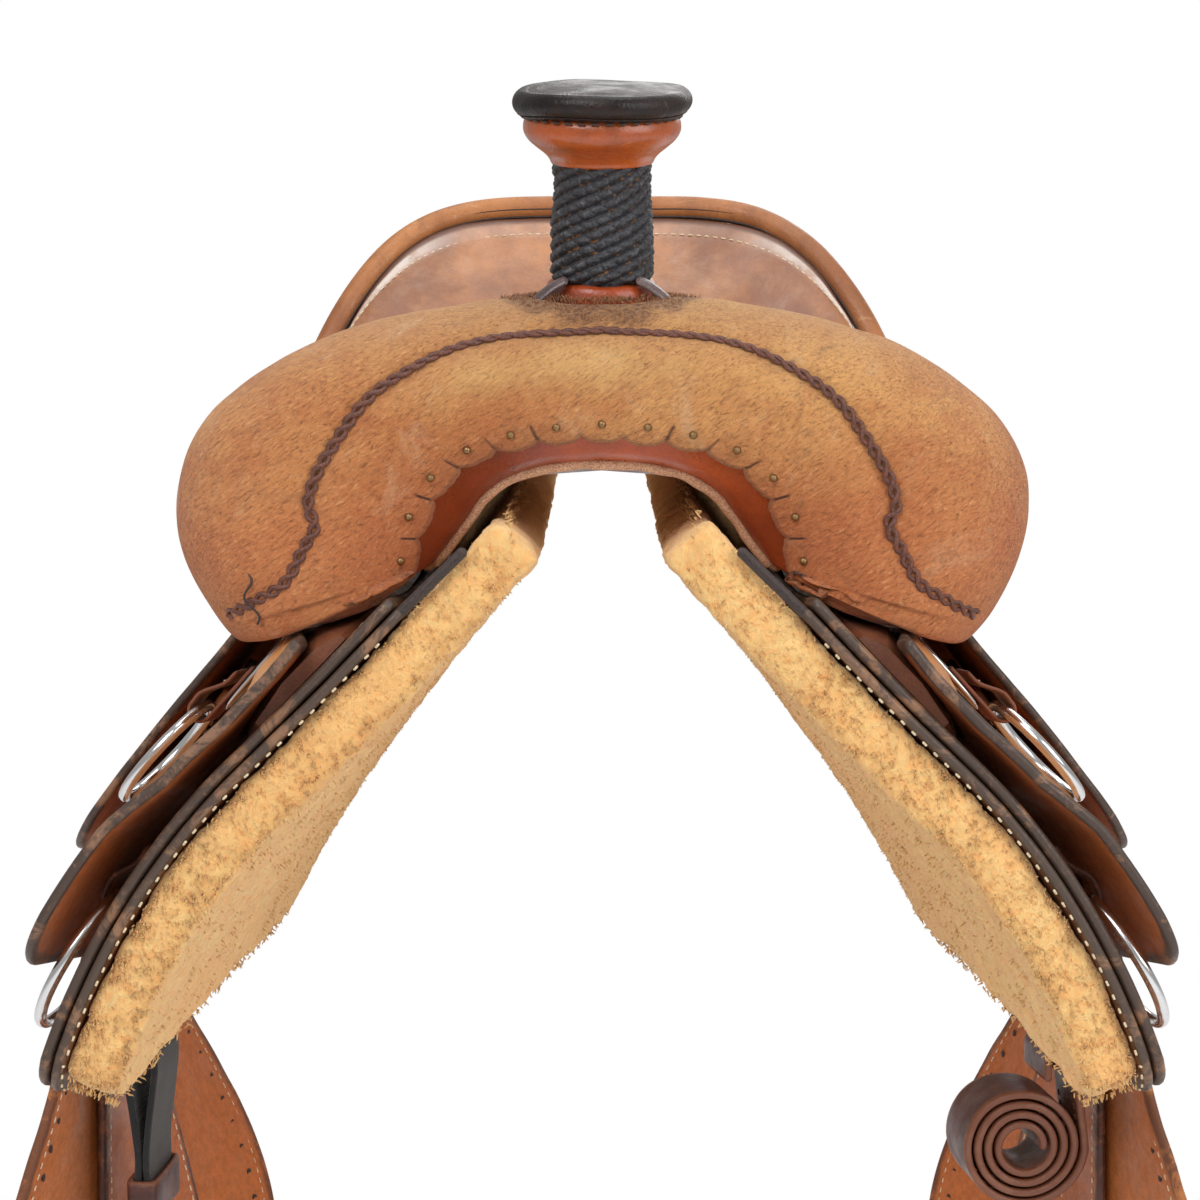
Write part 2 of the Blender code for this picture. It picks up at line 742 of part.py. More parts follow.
def rim_point(u, inset=0.0):
    """The cantle's rim from above the seat: u is -1 to 1 across, inset is measured in from the outline."""
    share = abs(u)
    x = CANTLE_HALF_WIDTH * u
    y = CANTLE_TOP_Y + (CANTLE_END_Y - CANTLE_TOP_Y) * share**CANTLE_PLAN_ROUND
    z = CANTLE_TOP + (CANTLE_END_Z - CANTLE_TOP) * share**CANTLE_ROUND
    slope = (CANTLE_END_Z - CANTLE_TOP) * CANTLE_ROUND * share ** (CANTLE_ROUND - 1) / CANTLE_HALF_WIDTH
    length = sqrt(1 + slope**2)
    side = -1.0 if u < 0 else 1.0
    return Vector((x + side * inset * slope / length, y, z - inset / length))


def slot_hump(y):
    return hump(y, PIVOT_Y, 0.095, 0.05)


def seat_edge(row):
    """Where the seat's side edge lies at a row: on the bar's top, or for the last rows on the rim."""
    edge_y = SEAT_ROWS[row][2]
    rising = smooth_step((edge_y - 0.085) / (SEAT_ROWS[-1][2] - 0.085))
    lift = SKIN["bar"] + BAR_MIDDLE_THICKNESS + LAYER_GAP + SEAT_LEATHER
    lift += SEAT_SLOT_RISE * slot_hump(edge_y) * smooth_step((edge_y + 0.145) / 0.03)
    narrow = 0.024 * (1 - smooth_step((edge_y + 0.140) / 0.075))
    low = side_point(SEAT_EDGE_S - narrow, edge_y, lift)
    high = rim_point(1.0, 2 * BINDING_RADIUS + TOUCH_GAP)
    high = Vector((high.x, edge_y, high.z))
    return low.lerp(high, rising)


def seat_point(u, row, sunk=0.0):
    centre_y, centre_z, edge_y, plan_power, drop_power = SEAT_ROWS[row]
    edge = seat_edge(row)
    share = abs(u)
    if row == len(SEAT_ROWS) - 1:
        rim = rim_point(u * edge.x / CANTLE_HALF_WIDTH, 2 * BINDING_RADIUS + TOUCH_GAP)
        return rim - Vector((0, SEAT_LEATHER, sunk))
    return Vector((
        edge.x * u,
        centre_y + (edge_y - centre_y) * share**plan_power,
        centre_z + (edge.z - centre_z) * share**drop_power - sunk,
    ))


SEAT_U = [-1.0, -0.86, -0.7, -0.5, -0.25, 0.0, 0.25, 0.5, 0.7, 0.86, 1.0]


def up(centre):
    return Vector((0.0, -0.3, 1.0))


def make_seat():
    rows = [[seat_point(u, row) for u in SEAT_U] for row in range(len(SEAT_ROWS))]
    seat = sheet("seat", rows, SEAT_LEATHER, "seat_leather", up, offset=-1.0)
    under = moved_in(rows, SEAT_LEATHER + GROUND_SEAT_GAP, up)
    ground = sheet("ground_seat", [row[2:-2] for row in under[1:7]], GROUND_SEAT, "strainer", up, offset=-1.0)
    return seat, ground


def back_y(u, z):
    rim = rim_point(u)
    return rim.y + 0.009 + (rim.z - z) * CANTLE_BACK_RAKE


def seat_underside_y(u, z):
    """How far back the seat's underside is at this height on the line u."""
    heights = []
    depths = []
    for row in range(5, len(SEAT_ROWS)):
        point = seat_point(u, row)
        heights.append(point.z - 0.7 * SEAT_LEATHER)
        depths.append(point.y + 0.75 * SEAT_LEATHER)
    return float(np.interp(z, heights, depths))


CANTLE_U = [-0.94, -0.86, -0.76, -0.62, -0.43, -0.22, 0.0, 0.22, 0.43, 0.62, 0.76, 0.86, 0.94]


def bar_height(x, y):
    """Level of the bar's top above the point x, y."""
    places = [side_point(s, y, bar_top(s, y)) for s in np.linspace(0.02, 0.18, 33)]
    return float(np.interp(x, [place.x for place in places], [place.z for place in places]))


def cantle_foot(x, y):
    """Lowest level of the cantle board: arched over the channel, on the bars at the sides."""
    reach = abs(x)
    seat_on = max(
        bar_height(max(reach, 0.098) + shift, y + back)
        for shift in (-0.004, 0.004)
        for back in (-0.03, 0.0, 0.03)
    )
    share = smooth_step((reach - 0.050) / 0.045)
    return 0.060 + (seat_on + 2 * BED_GAP - 0.060) * share


def cantle_levels(u):
    """Points of the board's front and rear faces, from foot to rim, at one place across."""
    top = rim_point(u, 2 * BINDING_RADIUS + RIM_CLEARANCE)
    foot = min(cantle_foot(top.x, top.y), top.z - 0.014)
    faces = []
    for part in (0.0, 0.33, 0.66, 1.0):
        z = foot + (top.z - foot) * part
        rear = back_y(u, z) - CANTLE_BACK_LEATHER - LAYER_GAP
        front = max(seat_underside_y(u, z) + 0.0026, rear - CANTLE_BOARD)
        faces.append((min(front, rear - 0.004), rear, z))
    return top.x, faces


def make_cantle():
    boards = []
    covers = []
    for u in CANTLE_U:
        x, faces = cantle_levels(u)
        boards.append(
            [Vector((x, front, z)) for front, _, z in faces]
            + [Vector((x, rear, z)) for _, rear, z in reversed(faces)]
        )
        inner = [Vector((x, rear + LAYER_GAP, z)) for _, rear, z in faces]
        covers.append(inner + [point + Vector((0, CANTLE_BACK_LEATHER, 0)) for point in reversed(inner)])
    board = lofted("cantle_board", boards, "wood")
    back = lofted("cantle_back", covers, "seat_leather")
    points = []
    for u in np.sin(np.linspace(-pi / 2, pi / 2, 25)):
        rim = rim_point(float(u), BINDING_RADIUS)
        points.append(Vector((rim.x, rim.y + 0.002, rim.z)))
    binding = tube("cantle_binding", points, BINDING_RADIUS, "edge_leather", resolution=2)
    return board, back, binding


# Leather on the sides


def skirt_foot(y):
    depth = float(smooth_line(SKIRT_DEPTHS, y)[0])
    return depth - rounded_foot(y, SKIRT_FRONT_Y, SKIRT_REAR_Y, 0.026, 0.110)


def skirt_spec(inset, lift, front_top):
    return {
        "front": SKIRT_FRONT_Y + inset,
        "rear": SKIRT_REAR_Y - inset,
        "ns": 8,
        "ny": 13,
        "top": lambda y: front_top,
        "foot": lambda y: skirt_foot(min(max(y, SKIRT_FRONT_Y + 0.002), SKIRT_REAR_Y - 0.002)) - inset,
        "lift": lambda s, y: lift,
    }


def make_fleece(name, side):
    """The woolly lining under the skirt; its inner edge stands up beside the channel."""
    sections = []
    front = SKIRT_FRONT_Y + 0.003
    rear = SKIRT_REAR_Y - 0.003
    for part in spread(13, 0.55):
        y = front + (rear - front) * part
        foot = skirt_foot(y) - 0.004
        ring = [side_point(-0.016 + (foot + 0.016) * i, y, FLEECE, side) for i in spread(9)]
        ring += [side_point(foot * i, y, 0.0, side) for i in reversed(spread(8))]
        sections.append(ring)
    return lofted(name, sections, "fleece")


FRONT_JOCKEY_LIFTS = [(0.07, 0.046), (0.10, 0.043), (0.13, 0.042), (0.16, 0.0434), (0.185, 0.05), (0.24, 0.053)]


def front_jockey_lift(s, y):
    """Lies over the bar and the rigging, and flares away from the skirt towards its front low corner."""
    front = float(np.interp(s, *zip(*FRONT_JOCKEY_LIFTS)))
    settled = max(0.0455, bar_top(s, y) + BED_GAP)
    eased = front + (settled - front) * smooth_step((y - SKIRT_FRONT_Y) / 0.13)
    return max(eased, bar_top(s, y) + BED_GAP + 0.0008)


FRONT_JOCKEY_SPEC = {
    "front": SKIRT_FRONT_Y - 0.006,
    "rear": -0.137,
    "ns": 8,
    "ny": 7,
    "top": lambda y: 0.084,
    "foot": lambda y: 0.240 - rounded_foot(y, SKIRT_FRONT_Y - 0.0065, -0.1365, 0.022, 0.035),
    "lift": front_jockey_lift,
}


def seat_jockey_lift(s, y):
    """Roofs the stirrup leather and fender in the slot, and lies on bar and skirt behind it."""
    plane_rise = 0.68 * (s - PIVOT_S) ** 2
    roof = SKIN["slot_roof"] + plane_rise
    low = bar_top(s, y) + BED_GAP + 0.0026
    return low + (roof - low) * hump(y, PIVOT_Y, 0.088, 0.055)


SEAT_JOCKEY_SPEC = {
    "front": -0.1320,
    "rear": 0.150,
    "ns": 7,
    "ny": 10,
    "top": lambda y: (
        SEAT_EDGE_S + 0.0035 + 0.010 * smooth_step((y - 0.03) / 0.08) + 0.03 * smooth_step((y - 0.09) / 0.06)
    ),
    "foot": lambda y: 0.222 - rounded_foot(y, -0.1325, 0.1505, 0.030, 0.055),
    "lift": seat_jockey_lift,
}


def rear_jockey_lift(s, y):
    return bar_top(s, y) + BED_GAP + 0.0032


REAR_JOCKEY_TOP = [
    (0.156, 0.152), (0.190, 0.150), (0.225, 0.138), (0.250, 0.118),
    (0.275, 0.085), (0.300, 0.060), (0.378, 0.052),
]
REAR_JOCKEY_SPEC = {
    "front": 0.156,
    "rear": 0.378,
    "ns": 7,
    "ny": 9,
    "top": lambda y: float(smooth_line(REAR_JOCKEY_TOP, y)[0]),
    "foot": lambda y: 0.192 - rounded_foot(y, 0.1555, 0.3785, 0.025, 0.075),
    "lift": rear_jockey_lift,
}


def flat_fit(s, y, side):
    """Where a rigid flat piece lies: centre, down, back and out directions of the side there."""
    step = 0.001
    down = (side_base(s + step, y) - side_base(s - step, y)).normalized()
    out = side_normal(s, y)
    back = out.cross(down)
    mirror = Vector((side, 1, 1))
    return (
        Vector(side_base(s, y)) * mirror,
        down * mirror,
        (back if back.y > 0 else -back) * mirror,
        out * mirror,
    )


def loop_strap(name, side, s_top, s_ring, y, width, lift, ring, rod, skin, weight=STRAP_WEIGHT, plumb=False):
    """A strap that runs down the side, turns round a ring's rod and comes back up on itself.

    Returns the middle of the rod where it hangs in the strap, and the directions of the ring there:
    in the plane of the side, or plumb.
    """
    turn_radius = rod + RING_CLEARANCE * ring / RIGGING_RING + weight / 2
    low = lift + weight / 2
    centre_lift = low + turn_radius
    centre, down, back, out = flat_fit(s_ring, y, side)
    rows = []
    for s in np.linspace(s_top, s_ring - 1.6 * turn_radius, 4):
        rows.append([side_point(s, y + width * part, low, side) for part in (-0.5, 0.5)])
    sag = ring - sqrt(ring**2 - (width / 2) ** 2)
    over = low + weight + BED_GAP
    ease = 0.9 * sag if plumb else 0.0
    path = []
    for k in range(7):
        angle = radians(-90 + 180 * k / 6)
        path.append((turn_radius * cos(angle), centre_lift + turn_radius * sin(angle)))
    path.append((-sag - 0.9 * turn_radius, centre_lift + turn_radius + ease))
    path.append((-sag - 3.0 * turn_radius, over + 0.0010 + ease))
    path.append((-sag - 4.4 * turn_radius, over + TOUCH_GAP))
    for along_side, height in path:
        spot = centre + down * along_side + out * height
        rows.append([spot + back * (width * part) for part in (-0.5, 0.5)])
    sheet(name, rows, weight, skin, outward_of_side(side), offset=0.0)
    place = centre + out * centre_lift
    if plumb:
        fall = Vector((0, 0, -1))
        down = (fall - back * fall.dot(back)).normalized()
        turned_out = down.cross(back)
        out = turned_out if turned_out.dot(out) > 0 else -turned_out
    return place - down * sag, down, back, out


def ring_at(name, place, ring, rod, skin="polished_steel"):
    """A round ring hanging in its strap: its origin is on the line it swings about."""
    spot, down, back, out = place
    bpy.ops.mesh.primitive_torus_add(
        major_radius=ring, minor_radius=rod, major_segments=16, minor_segments=6
    )
    obj = bpy.context.object
    obj.name = name
    for vertex in obj.data.vertices:
        flat = vertex.co.copy()
        vertex.co = down * (flat.x + ring) + back * flat.y + out * flat.z
    obj.location = spot
    if down.cross(back).dot(out) < 0:
        obj.data.flip_normals()
    JOINTS[name] = (spot, back)
    return finish(obj, skin)


def as_mesh(obj):
    """The same body as a mesh, so that it can be cut."""
    graph = bpy.context.evaluated_depsgraph_get()
    mesh = bpy.data.meshes.new_from_object(obj.evaluated_get(graph))
    work = bmesh.new()
    work.from_mesh(mesh)
    bmesh.ops.remove_doubles(work, verts=work.verts, dist=0.00001)
    work.to_mesh(mesh)
    work.free()
    name = obj.name
    place = obj.matrix_world.copy()
    bpy.data.objects.remove(obj, do_unlink=True)
    made = bpy.data.objects.new(name, mesh)
    made.matrix_world = place
    SADDLE.objects.link(made)
    return made


def hang_twist(z):
    """How far the hanging leather has turned to face forward at this level."""
    return radians(TWIST) * smooth_step((TWIST_START_Z - z) / (TWIST_START_Z - TWIST_END_Z))


def hang_line():
    """The middle line of the stirrup leather as (x, z), from above the slot down to the stirrup bolt."""
    base, down, back, out = flat_fit(PIVOT_S, PIVOT_Y, 1)
    middle = base + out * (SKIN["inner_strap"] + STIRRUP_LEATHER / 2)
    line = [(middle.x + down.x * a, middle.z + down.z * a) for a in (-0.036, 0.010, 0.056, 0.102)]
    return line + HANG_LINE + [(STIRRUP_X, STIRRUP_BOLT_Z + 0.05), (STIRRUP_X, STIRRUP_BOLT_Z)]


def hang_frame(t, side):
    """Middle point, width direction and outward direction of the hanging leather at t."""
    line = hang_line()
    x, z = along(line, t)
    x_after, z_after = along(line, min(t + 0.004, 1.0))
    x_before, z_before = along(line, max(t - 0.004, 0.0))
    twist = hang_twist(z)
    width = Vector((-sin(twist), cos(twist), 0.0))
    down = Vector((x_after - x_before, 0.0, z_after - z_before)).normalized()
    out = down.cross(width)
    out = (out if out.x > 0 else -out).normalized()
    mirror = Vector((side, 1, 1))
    return Vector((x, PIVOT_Y, z)) * mirror, width * mirror, out * mirror


def make_hanging(side, word):
    """Stirrup leather, fender, hobble strap, stirrup and bolt."""
    rows = []
    levels = np.linspace(0.0, 0.93, 25)
    for t in levels:
        spot, width, out = hang_frame(float(t), side)
        rows.append([spot + width * (STRAP_HALF_WIDTH * part) for part in (-1.0, 0.0, 1.0)])
    bolt, width, out = hang_frame(1.0, side)
    reach = BOLT_RADIUS + BOLT_CLEARANCE + STIRRUP_LEATHER / 2
    core = bolt - out * reach
    for k in range(9):
        angle = radians(180 * k / 8)
        spot = core + out * (reach * cos(angle)) - Vector((0, 0, reach * sin(angle)))
        rows.append([spot + width * (STRAP_HALF_WIDTH * part) for part in (-1.0, 0.0, 1.0)])
    for rise, inward in ((0.018, 0.0), (0.030, STRAND_CLOSE_LOW), (0.062, STRAND_CLOSE_LOW)):
        spot = core - out * (reach - inward) + Vector((0, 0, rise))
        rows.append([spot + width * (STRAP_HALF_WIDTH * part) for part in (-1.0, 0.0, 1.0)])
    sheet(f"{word}_stirrup_leather", rows, STIRRUP_LEATHER, "strap", lambda c: side_out(side), offset=0.0)
    rows = []
    shift = STIRRUP_LEATHER / 2 + LAYER_GAP + 2 * TOUCH_GAP
    for t in levels[3:-2]:
        spot, width, out = hang_frame(float(t), side)
        half = float(smooth_line(FENDER_WIDTHS, -spot.z)[0])
        rows.append([spot + out * shift + width * (half * part) for part in (-1.0, -0.5, 0.0, 0.5, 1.0)])
    sheet(f"{word}_fender", rows, FENDER_LEATHER, "fender", lambda c: side_out(side))
    make_hobble(side, word)
    make_stirrup(side, word, core)
    base, down, back, out = flat_fit(PIVOT_S, PIVOT_Y, side)
    pivot = bpy.data.objects.new(f"{word}_fender_pivot", None)
    SADDLE.objects.link(pivot)
    pivot.location = base + out * SKIN["inner_strap"]
    JOINTS[f"{word}_fender"] = (pivot.location, out * side)
    for piece in ("stirrup_leather", "fender", "hobble_strap", "stirrup", "stirrup_bolt"):
        obj = bpy.data.objects[f"{word}_{piece}"]
        obj.parent = pivot
        obj.matrix_parent_inverse = Matrix.Translation(-pivot.location)


def side_out(side):
    return Vector((side * 1.0, 0.0, 0.0))


def upright_frame(side):
    """Width, outward and up directions of the hanging leather at the stirrup."""
    spot, width, out = hang_frame(1.0, side)
    return width, Vector((out.x, out.y, 0)).normalized(), Vector((0, 0, 1))


def placed(obj, spot, across, up_dir, depth):
    """Turns a flat plate so that its X is across, its Y is up and its thickness runs along depth."""
    if across.cross(up_dir).dot(depth) < 0:
        across = -across
    obj.matrix_world = Matrix((
        (across.x, up_dir.x, depth.x, spot.x),
        (across.y, up_dir.y, depth.y, spot.y),
        (across.z, up_dir.z, depth.z, spot.z),
        (0, 0, 0, 1),
    ))
    return obj


def make_hobble(side, word):
    width, out, upward = upright_frame(side)
    bolt, _, _ = hang_frame(1.0, side)
    reach = BOLT_RADIUS + BOLT_CLEARANCE + STIRRUP_LEATHER / 2
    inner_face = -2 * reach + STRAND_CLOSE_LOW - STIRRUP_LEATHER / 2 - 3 * TOUCH_GAP
    outer_face = STIRRUP_LEATHER / 2 + 4 * TOUCH_GAP
    half_depth = (outer_face - inner_face) / 2
    half_width = STRAP_HALF_WIDTH + 3 * TOUCH_GAP
    outer = rounded_rectangle(half_width + HOBBLE_LEATHER, half_depth + HOBBLE_LEATHER, 0.006, 3)
    inner = rounded_rectangle(half_width, half_depth, 0.002, 1)
    band = flat_plate(f"{word}_hobble_strap", [outer, inner], HOBBLE_HEIGHT, "strap")
    spot = Vector((bolt.x, bolt.y, HOBBLE_Z)) + out * ((outer_face + inner_face) / 2)
    placed(band, spot, width, out, upward)


def stirrup_outline():
    """U-shaped side view of the stirrup about its bolt: ears above, flared sides, round low corners."""
    def arm(grow):
        half = STIRRUP_WIDTH / 2 + grow
        head = STIRRUP_HEAD_HALF_WIDTH + grow
        low = -(STIRRUP_HEIGHT + grow)
        points = [(head, STIRRUP_EAR), (head, -0.012)]
        for k in range(1, 6):
            points.append((head + (half - head) * smooth_step(k / 5), -0.012 + (low * 0.62 + 0.012) * k / 5))
        corner = 0.030 + grow
        for k in range(1, 6):
            angle = radians(90 * k / 5)
            points.append((half - corner + corner * cos(angle), low + corner - corner * sin(angle)))
        return points
    outer = arm(STIRRUP_WALL)
    inner = arm(0.0)
    left_outer = [(-x, z) for x, z in reversed(outer)]
    left_inner = [(-x, z) for x, z in reversed(inner)]
    return outer + left_outer + list(reversed(left_inner)) + list(reversed(inner))


def make_stirrup(side, word, core):
    width, out, upward = upright_frame(side)
    bow = flat_plate(f"{word}_stirrup", [stirrup_outline()], STIRRUP_DEPTH, "stirrup_wood")
    placed(bow, core, width, upward, out)
    bpy.context.view_layer.update()
    bow = finish(as_mesh(bow), "stirrup_wood")
    reach = STIRRUP_HEAD_HALF_WIDTH + STIRRUP_WALL
    for name, radius, length in (
        (f"{word}_stirrup_bolt", BOLT_RADIUS, 2 * reach + 0.010),
        (f"{word}_bolt_hole", BOLT_RADIUS + TOUCH_GAP, 2 * reach + 0.030),
    ):
        bpy.ops.mesh.primitive_cylinder_add(vertices=16, radius=radius, depth=length)
        rod = bpy.context.object
        rod.name = name
        placed(rod, core, upward, out, width)
        if name.endswith("hole"):
            for holder in list(rod.users_collection):
                holder.objects.unlink(rod)
            CUTTERS.objects.link(rod)
            rod.hide_render = True
            rod.display_type = "WIRE"
            cut(bow, rod)
        else:
            finish(rod, "polished_steel")
    JOINTS[f"{word}_stirrup"] = (core, width)


def through_ring(place, thickness, width):
    """Where a strap turns over the ring's low side: crest, directions and the points of the turn."""
    spot, down, back, out = place
    sag = RIGGING_RING - sqrt(RIGGING_RING**2 - (width / 2) ** 2)
    crest = spot + down * (2 * RIGGING_RING - sag)
    turn_radius = RING_ROD + RING_CLEARANCE + thickness / 2
    turn = []
    for k in range(7):
        angle = radians(180 - 180 * k / 6)
        turn.append(crest + out * (turn_radius * cos(angle)) - down * (turn_radius * sin(angle)))
    inner = crest - out * turn_radius + down * (sag + 0.6 * turn_radius)
    outer = crest + out * turn_radius + down * (sag + 0.6 * turn_radius)
    return [inner] + turn + [outer]


def hang_from(name, spot, axis):
    """Moves the piece's origin onto the line it swings about."""
    obj = bpy.data.objects[name]
    obj.data.transform(Matrix.Translation(-spot))
    obj.location = spot
    JOINTS[name] = (spot, axis)


def make_latigo(place):
    """The near strap, rolled up in the rigging ring: one band from the loop to the roll's heart."""
    back = place[2]
    turn = through_ring(place, LATIGO_THICKNESS, LATIGO_WIDTH)
    fall = Vector((0, 0, -1))
    pitch = LATIGO_THICKNESS + LATIGO_GAP
    radius = LATIGO_CORE + LATIGO_LOOPS * pitch
    start = turn[-1] + fall * (radius + LATIGO_THICKNESS + LATIGO_GAP) + side_out(1) * 0.004
    heart = start - side_out(1) * radius
    total = LATIGO_LOOPS * LATIGO_POINTS
    coil = []
    for k in range(total + 1):
        angle = 2 * pi * k / LATIGO_POINTS
        here = radius - pitch * k / LATIGO_POINTS
        coil.append(heart + side_out(1) * (here * cos(angle)) + fall * (here * sin(angle)))
    rows = [[point + back * (LATIGO_WIDTH * part) for part in (-0.5, 0.5)] for point in turn + coil]
    sheet("near_latigo", rows, LATIGO_THICKNESS, "latigo", lambda c: side_out(1), offset=0.0)
    hang_from("near_latigo", turn[4] + place[1] * (RING_ROD + RING_CLEARANCE), back)
    report_gap("near_latigo", coil, LATIGO_THICKNESS, LATIGO_POINTS)


def make_webbing(place):
    """The off side's web billet, doubled through the ring, with its keeper."""
    back = place[2]
    turn = through_ring(place, WEB_THICKNESS, WEB_WIDTH)
    fall = Vector((0, 0, -1))
    middle = (turn[0] + turn[-1]) / 2
    inner, outer = [side_out(-1) * (sign * (WEB_THICKNESS + BED_GAP) / 2) for sign in (-1, 1)]
    points = [middle + inner + fall * drop for drop in (WEB_INNER_END, WEB_MIDDLE, WEB_START)] + turn
    points += [middle + outer + fall * drop for drop in (WEB_START, WEB_MIDDLE, WEB_OUTER_END)]
    rows = [[point + back * (WEB_WIDTH * part) for part in (-0.5, 0.5)] for point in points]
    sheet("off_billet", rows, WEB_THICKNESS, "webbing", lambda c: side_out(-1), offset=0.0)
    hang_from("off_billet", turn[4] + place[1] * (RING_ROD + RING_CLEARANCE), back)
    slack = WEB_THICKNESS + BED_GAP + TOUCH_GAP
    inner = rounded_rectangle(WEB_WIDTH / 2 + 2 * TOUCH_GAP, slack, 0.001, 1)
    outer = rounded_rectangle(WEB_WIDTH / 2 + 0.0035, slack + 0.0030, 0.003, 3)
    keeper = flat_plate("off_billet_keeper", [outer, inner], KEEPER_HEIGHT, "webbing")
    across = Vector((back.x, back.y, 0)).normalized()
    tip = middle + fall * KEEPER_DROP
    placed(keeper, tip, across, across.cross(Vector((0, 0, 1))), Vector((0, 0, 1)))


def make_rigging(side, word):
    """Rings with their straps: rigging front and rear, breast collar ring, tie ring on its plate."""
    bed = SKIN["skirt_top"] + BED_GAP
    place = loop_strap(
        f"{word}_front_rigging_strap", side, *FRONT_STRAP_S, RIGGING_Y, RIGGING_STRAP_WIDTH, bed,
        RIGGING_RING, RING_ROD, "strap", plumb=True,
    )
    ring_at(f"{word}_front_rigging_ring", place, RIGGING_RING, RING_ROD)
    if side > 0:
        make_latigo(place)
    else:
        make_webbing(place)
    place = loop_strap(
        f"{word}_breast_strap", side, *BREAST_STRAP_S, BREAST_Y, BREAST_STRAP_WIDTH, bed,
        BREAST_RING, BREAST_ROD, "strap", weight=LIGHT_STRAP,
    )
    ring_at(f"{word}_breast_ring", place, BREAST_RING, BREAST_ROD)
    place = loop_strap(
        f"{word}_rear_rigging_strap", side, *REAR_STRAP_S, REAR_RIGGING_Y, RIGGING_STRAP_WIDTH, bed,
        RIGGING_RING, RING_ROD, "strap", plumb=True,
    )
    ring_at(f"{word}_rear_rigging_ring", place, RIGGING_RING, RING_ROD)
    jockey_top = max(front_jockey_lift(s, TIE_Y) for s in (0.10, 0.12, 0.14)) + FRONT_JOCKEY + LAYER_GAP
    centre, down, back, out = flat_fit(TIE_S, TIE_Y, side)
    outline = rounded_rectangle(TIE_PLATE_LENGTH / 2, TIE_PLATE_WIDTH / 2, TIE_PLATE_WIDTH / 2 - 0.0005, 5)
    plate = flat_plate(f"{word}_tie_plate", [outline], TIE_PLATE, "polished_steel")
    placed(plate, centre + out * (jockey_top + TIE_PLATE / 2), down, back, out)
    place = loop_strap(
        f"{word}_tie_strap", side, TIE_S + TIE_STRAP_START, TIE_S + TIE_DROP, TIE_Y, TIE_STRAP_WIDTH,
        jockey_top + TIE_PLATE + TOUCH_GAP, TIE_RING, TIE_ROD, "rust_leather", weight=LIGHT_STRAP,
    )
    ring_at(f"{word}_tie_ring", place, TIE_RING, TIE_ROD)


def make_side(side, word):
    """Everything of one side of the saddle; word is near or off."""
    make_bar(f"{word}_bar", side)
    make_fleece(f"{word}_fleece", side)
    under = skirt_spec(0.0, SKIN["underskirt"], SKIRT_TOP_S)
    side_sheet(f"{word}_underskirt", side, under, UNDERSKIRT, "skirt_edge")
    upper = skirt_spec(SKIRT_INSET, SKIN["skirt"], SKIRT_TOP_S)
    side_sheet(f"{word}_skirt", side, upper, SKIRT, "skirting")
    side_sheet(f"{word}_front_jockey", side, FRONT_JOCKEY_SPEC, FRONT_JOCKEY, "skirting")
    side_sheet(f"{word}_seat_jockey", side, SEAT_JOCKEY_SPEC, SEAT_JOCKEY, "skirting")
    side_sheet(f"{word}_rear_jockey", side, REAR_JOCKEY_SPEC, REAR_JOCKEY, "skirting")
    make_rigging(side, word)
    make_hanging(side, word)


FINISHES = {
    "wood": ((0.45, 0.32, 0.2), 0.7, 0.0),
    "cast_metal": ((0.25, 0.25, 0.26), 0.5, 1.0),
    "polished_steel": ((0.7, 0.7, 0.72), 0.2, 1.0),
    "roughout": ((0.58, 0.30, 0.13), 0.95, 0.0),
    "rust_leather": ((0.30, 0.07, 0.02), 0.4, 0.0),
    "seat_leather": ((0.42, 0.20, 0.09), 0.45, 0.0),
    "edge_leather": ((0.36, 0.17, 0.08), 0.5, 0.0),
    "dark_leather": ((0.03, 0.024, 0.024), 0.45, 0.0),
    "dark_lace": ((0.10, 0.05, 0.035), 0.6, 0.0),
    "wrap_cord": ((0.03, 0.028, 0.028), 0.7, 0.0),
    "strainer": ((0.30, 0.18, 0.10), 0.7, 0.0),
    "skirting": ((0.40, 0.19, 0.07), 0.5, 0.0),
    "skirt_edge": ((0.09, 0.05, 0.03), 0.5, 0.0),
    "fleece": ((0.72, 0.42, 0.16), 1.0, 0.0),
    "strap": ((0.28, 0.12, 0.05), 0.55, 0.0),
    "latigo": ((0.10, 0.025, 0.018), 0.5, 0.0),
    "webbing": ((0.01, 0.01, 0.012), 0.8, 0.0),
    "fender": ((0.45, 0.20, 0.07), 0.45, 0.0),
    "stirrup_wood": ((0.38, 0.22, 0.11), 0.5, 0.0),
}

clear_scene()
SADDLE = new_collection("ranch_saddle")
CUTTERS = new_collection("cutters")
JOINTS = {}
stack_lifts()
horn_hole = make_horn()
fork = make_fork()
cover, lining = make_swell_leathers()
cut(fork, horn_hole)
cut(cover, horn_hole)
make_lacing()
make_seat()
make_cantle()
for side, word in ((1, "near"), (-1, "off")):
    make_side(side, word)
for name, (spot, axis) in JOINTS.items():
    print(name, "swings about", [round(value, 5) for value in spot], [round(value, 5) for value in axis])
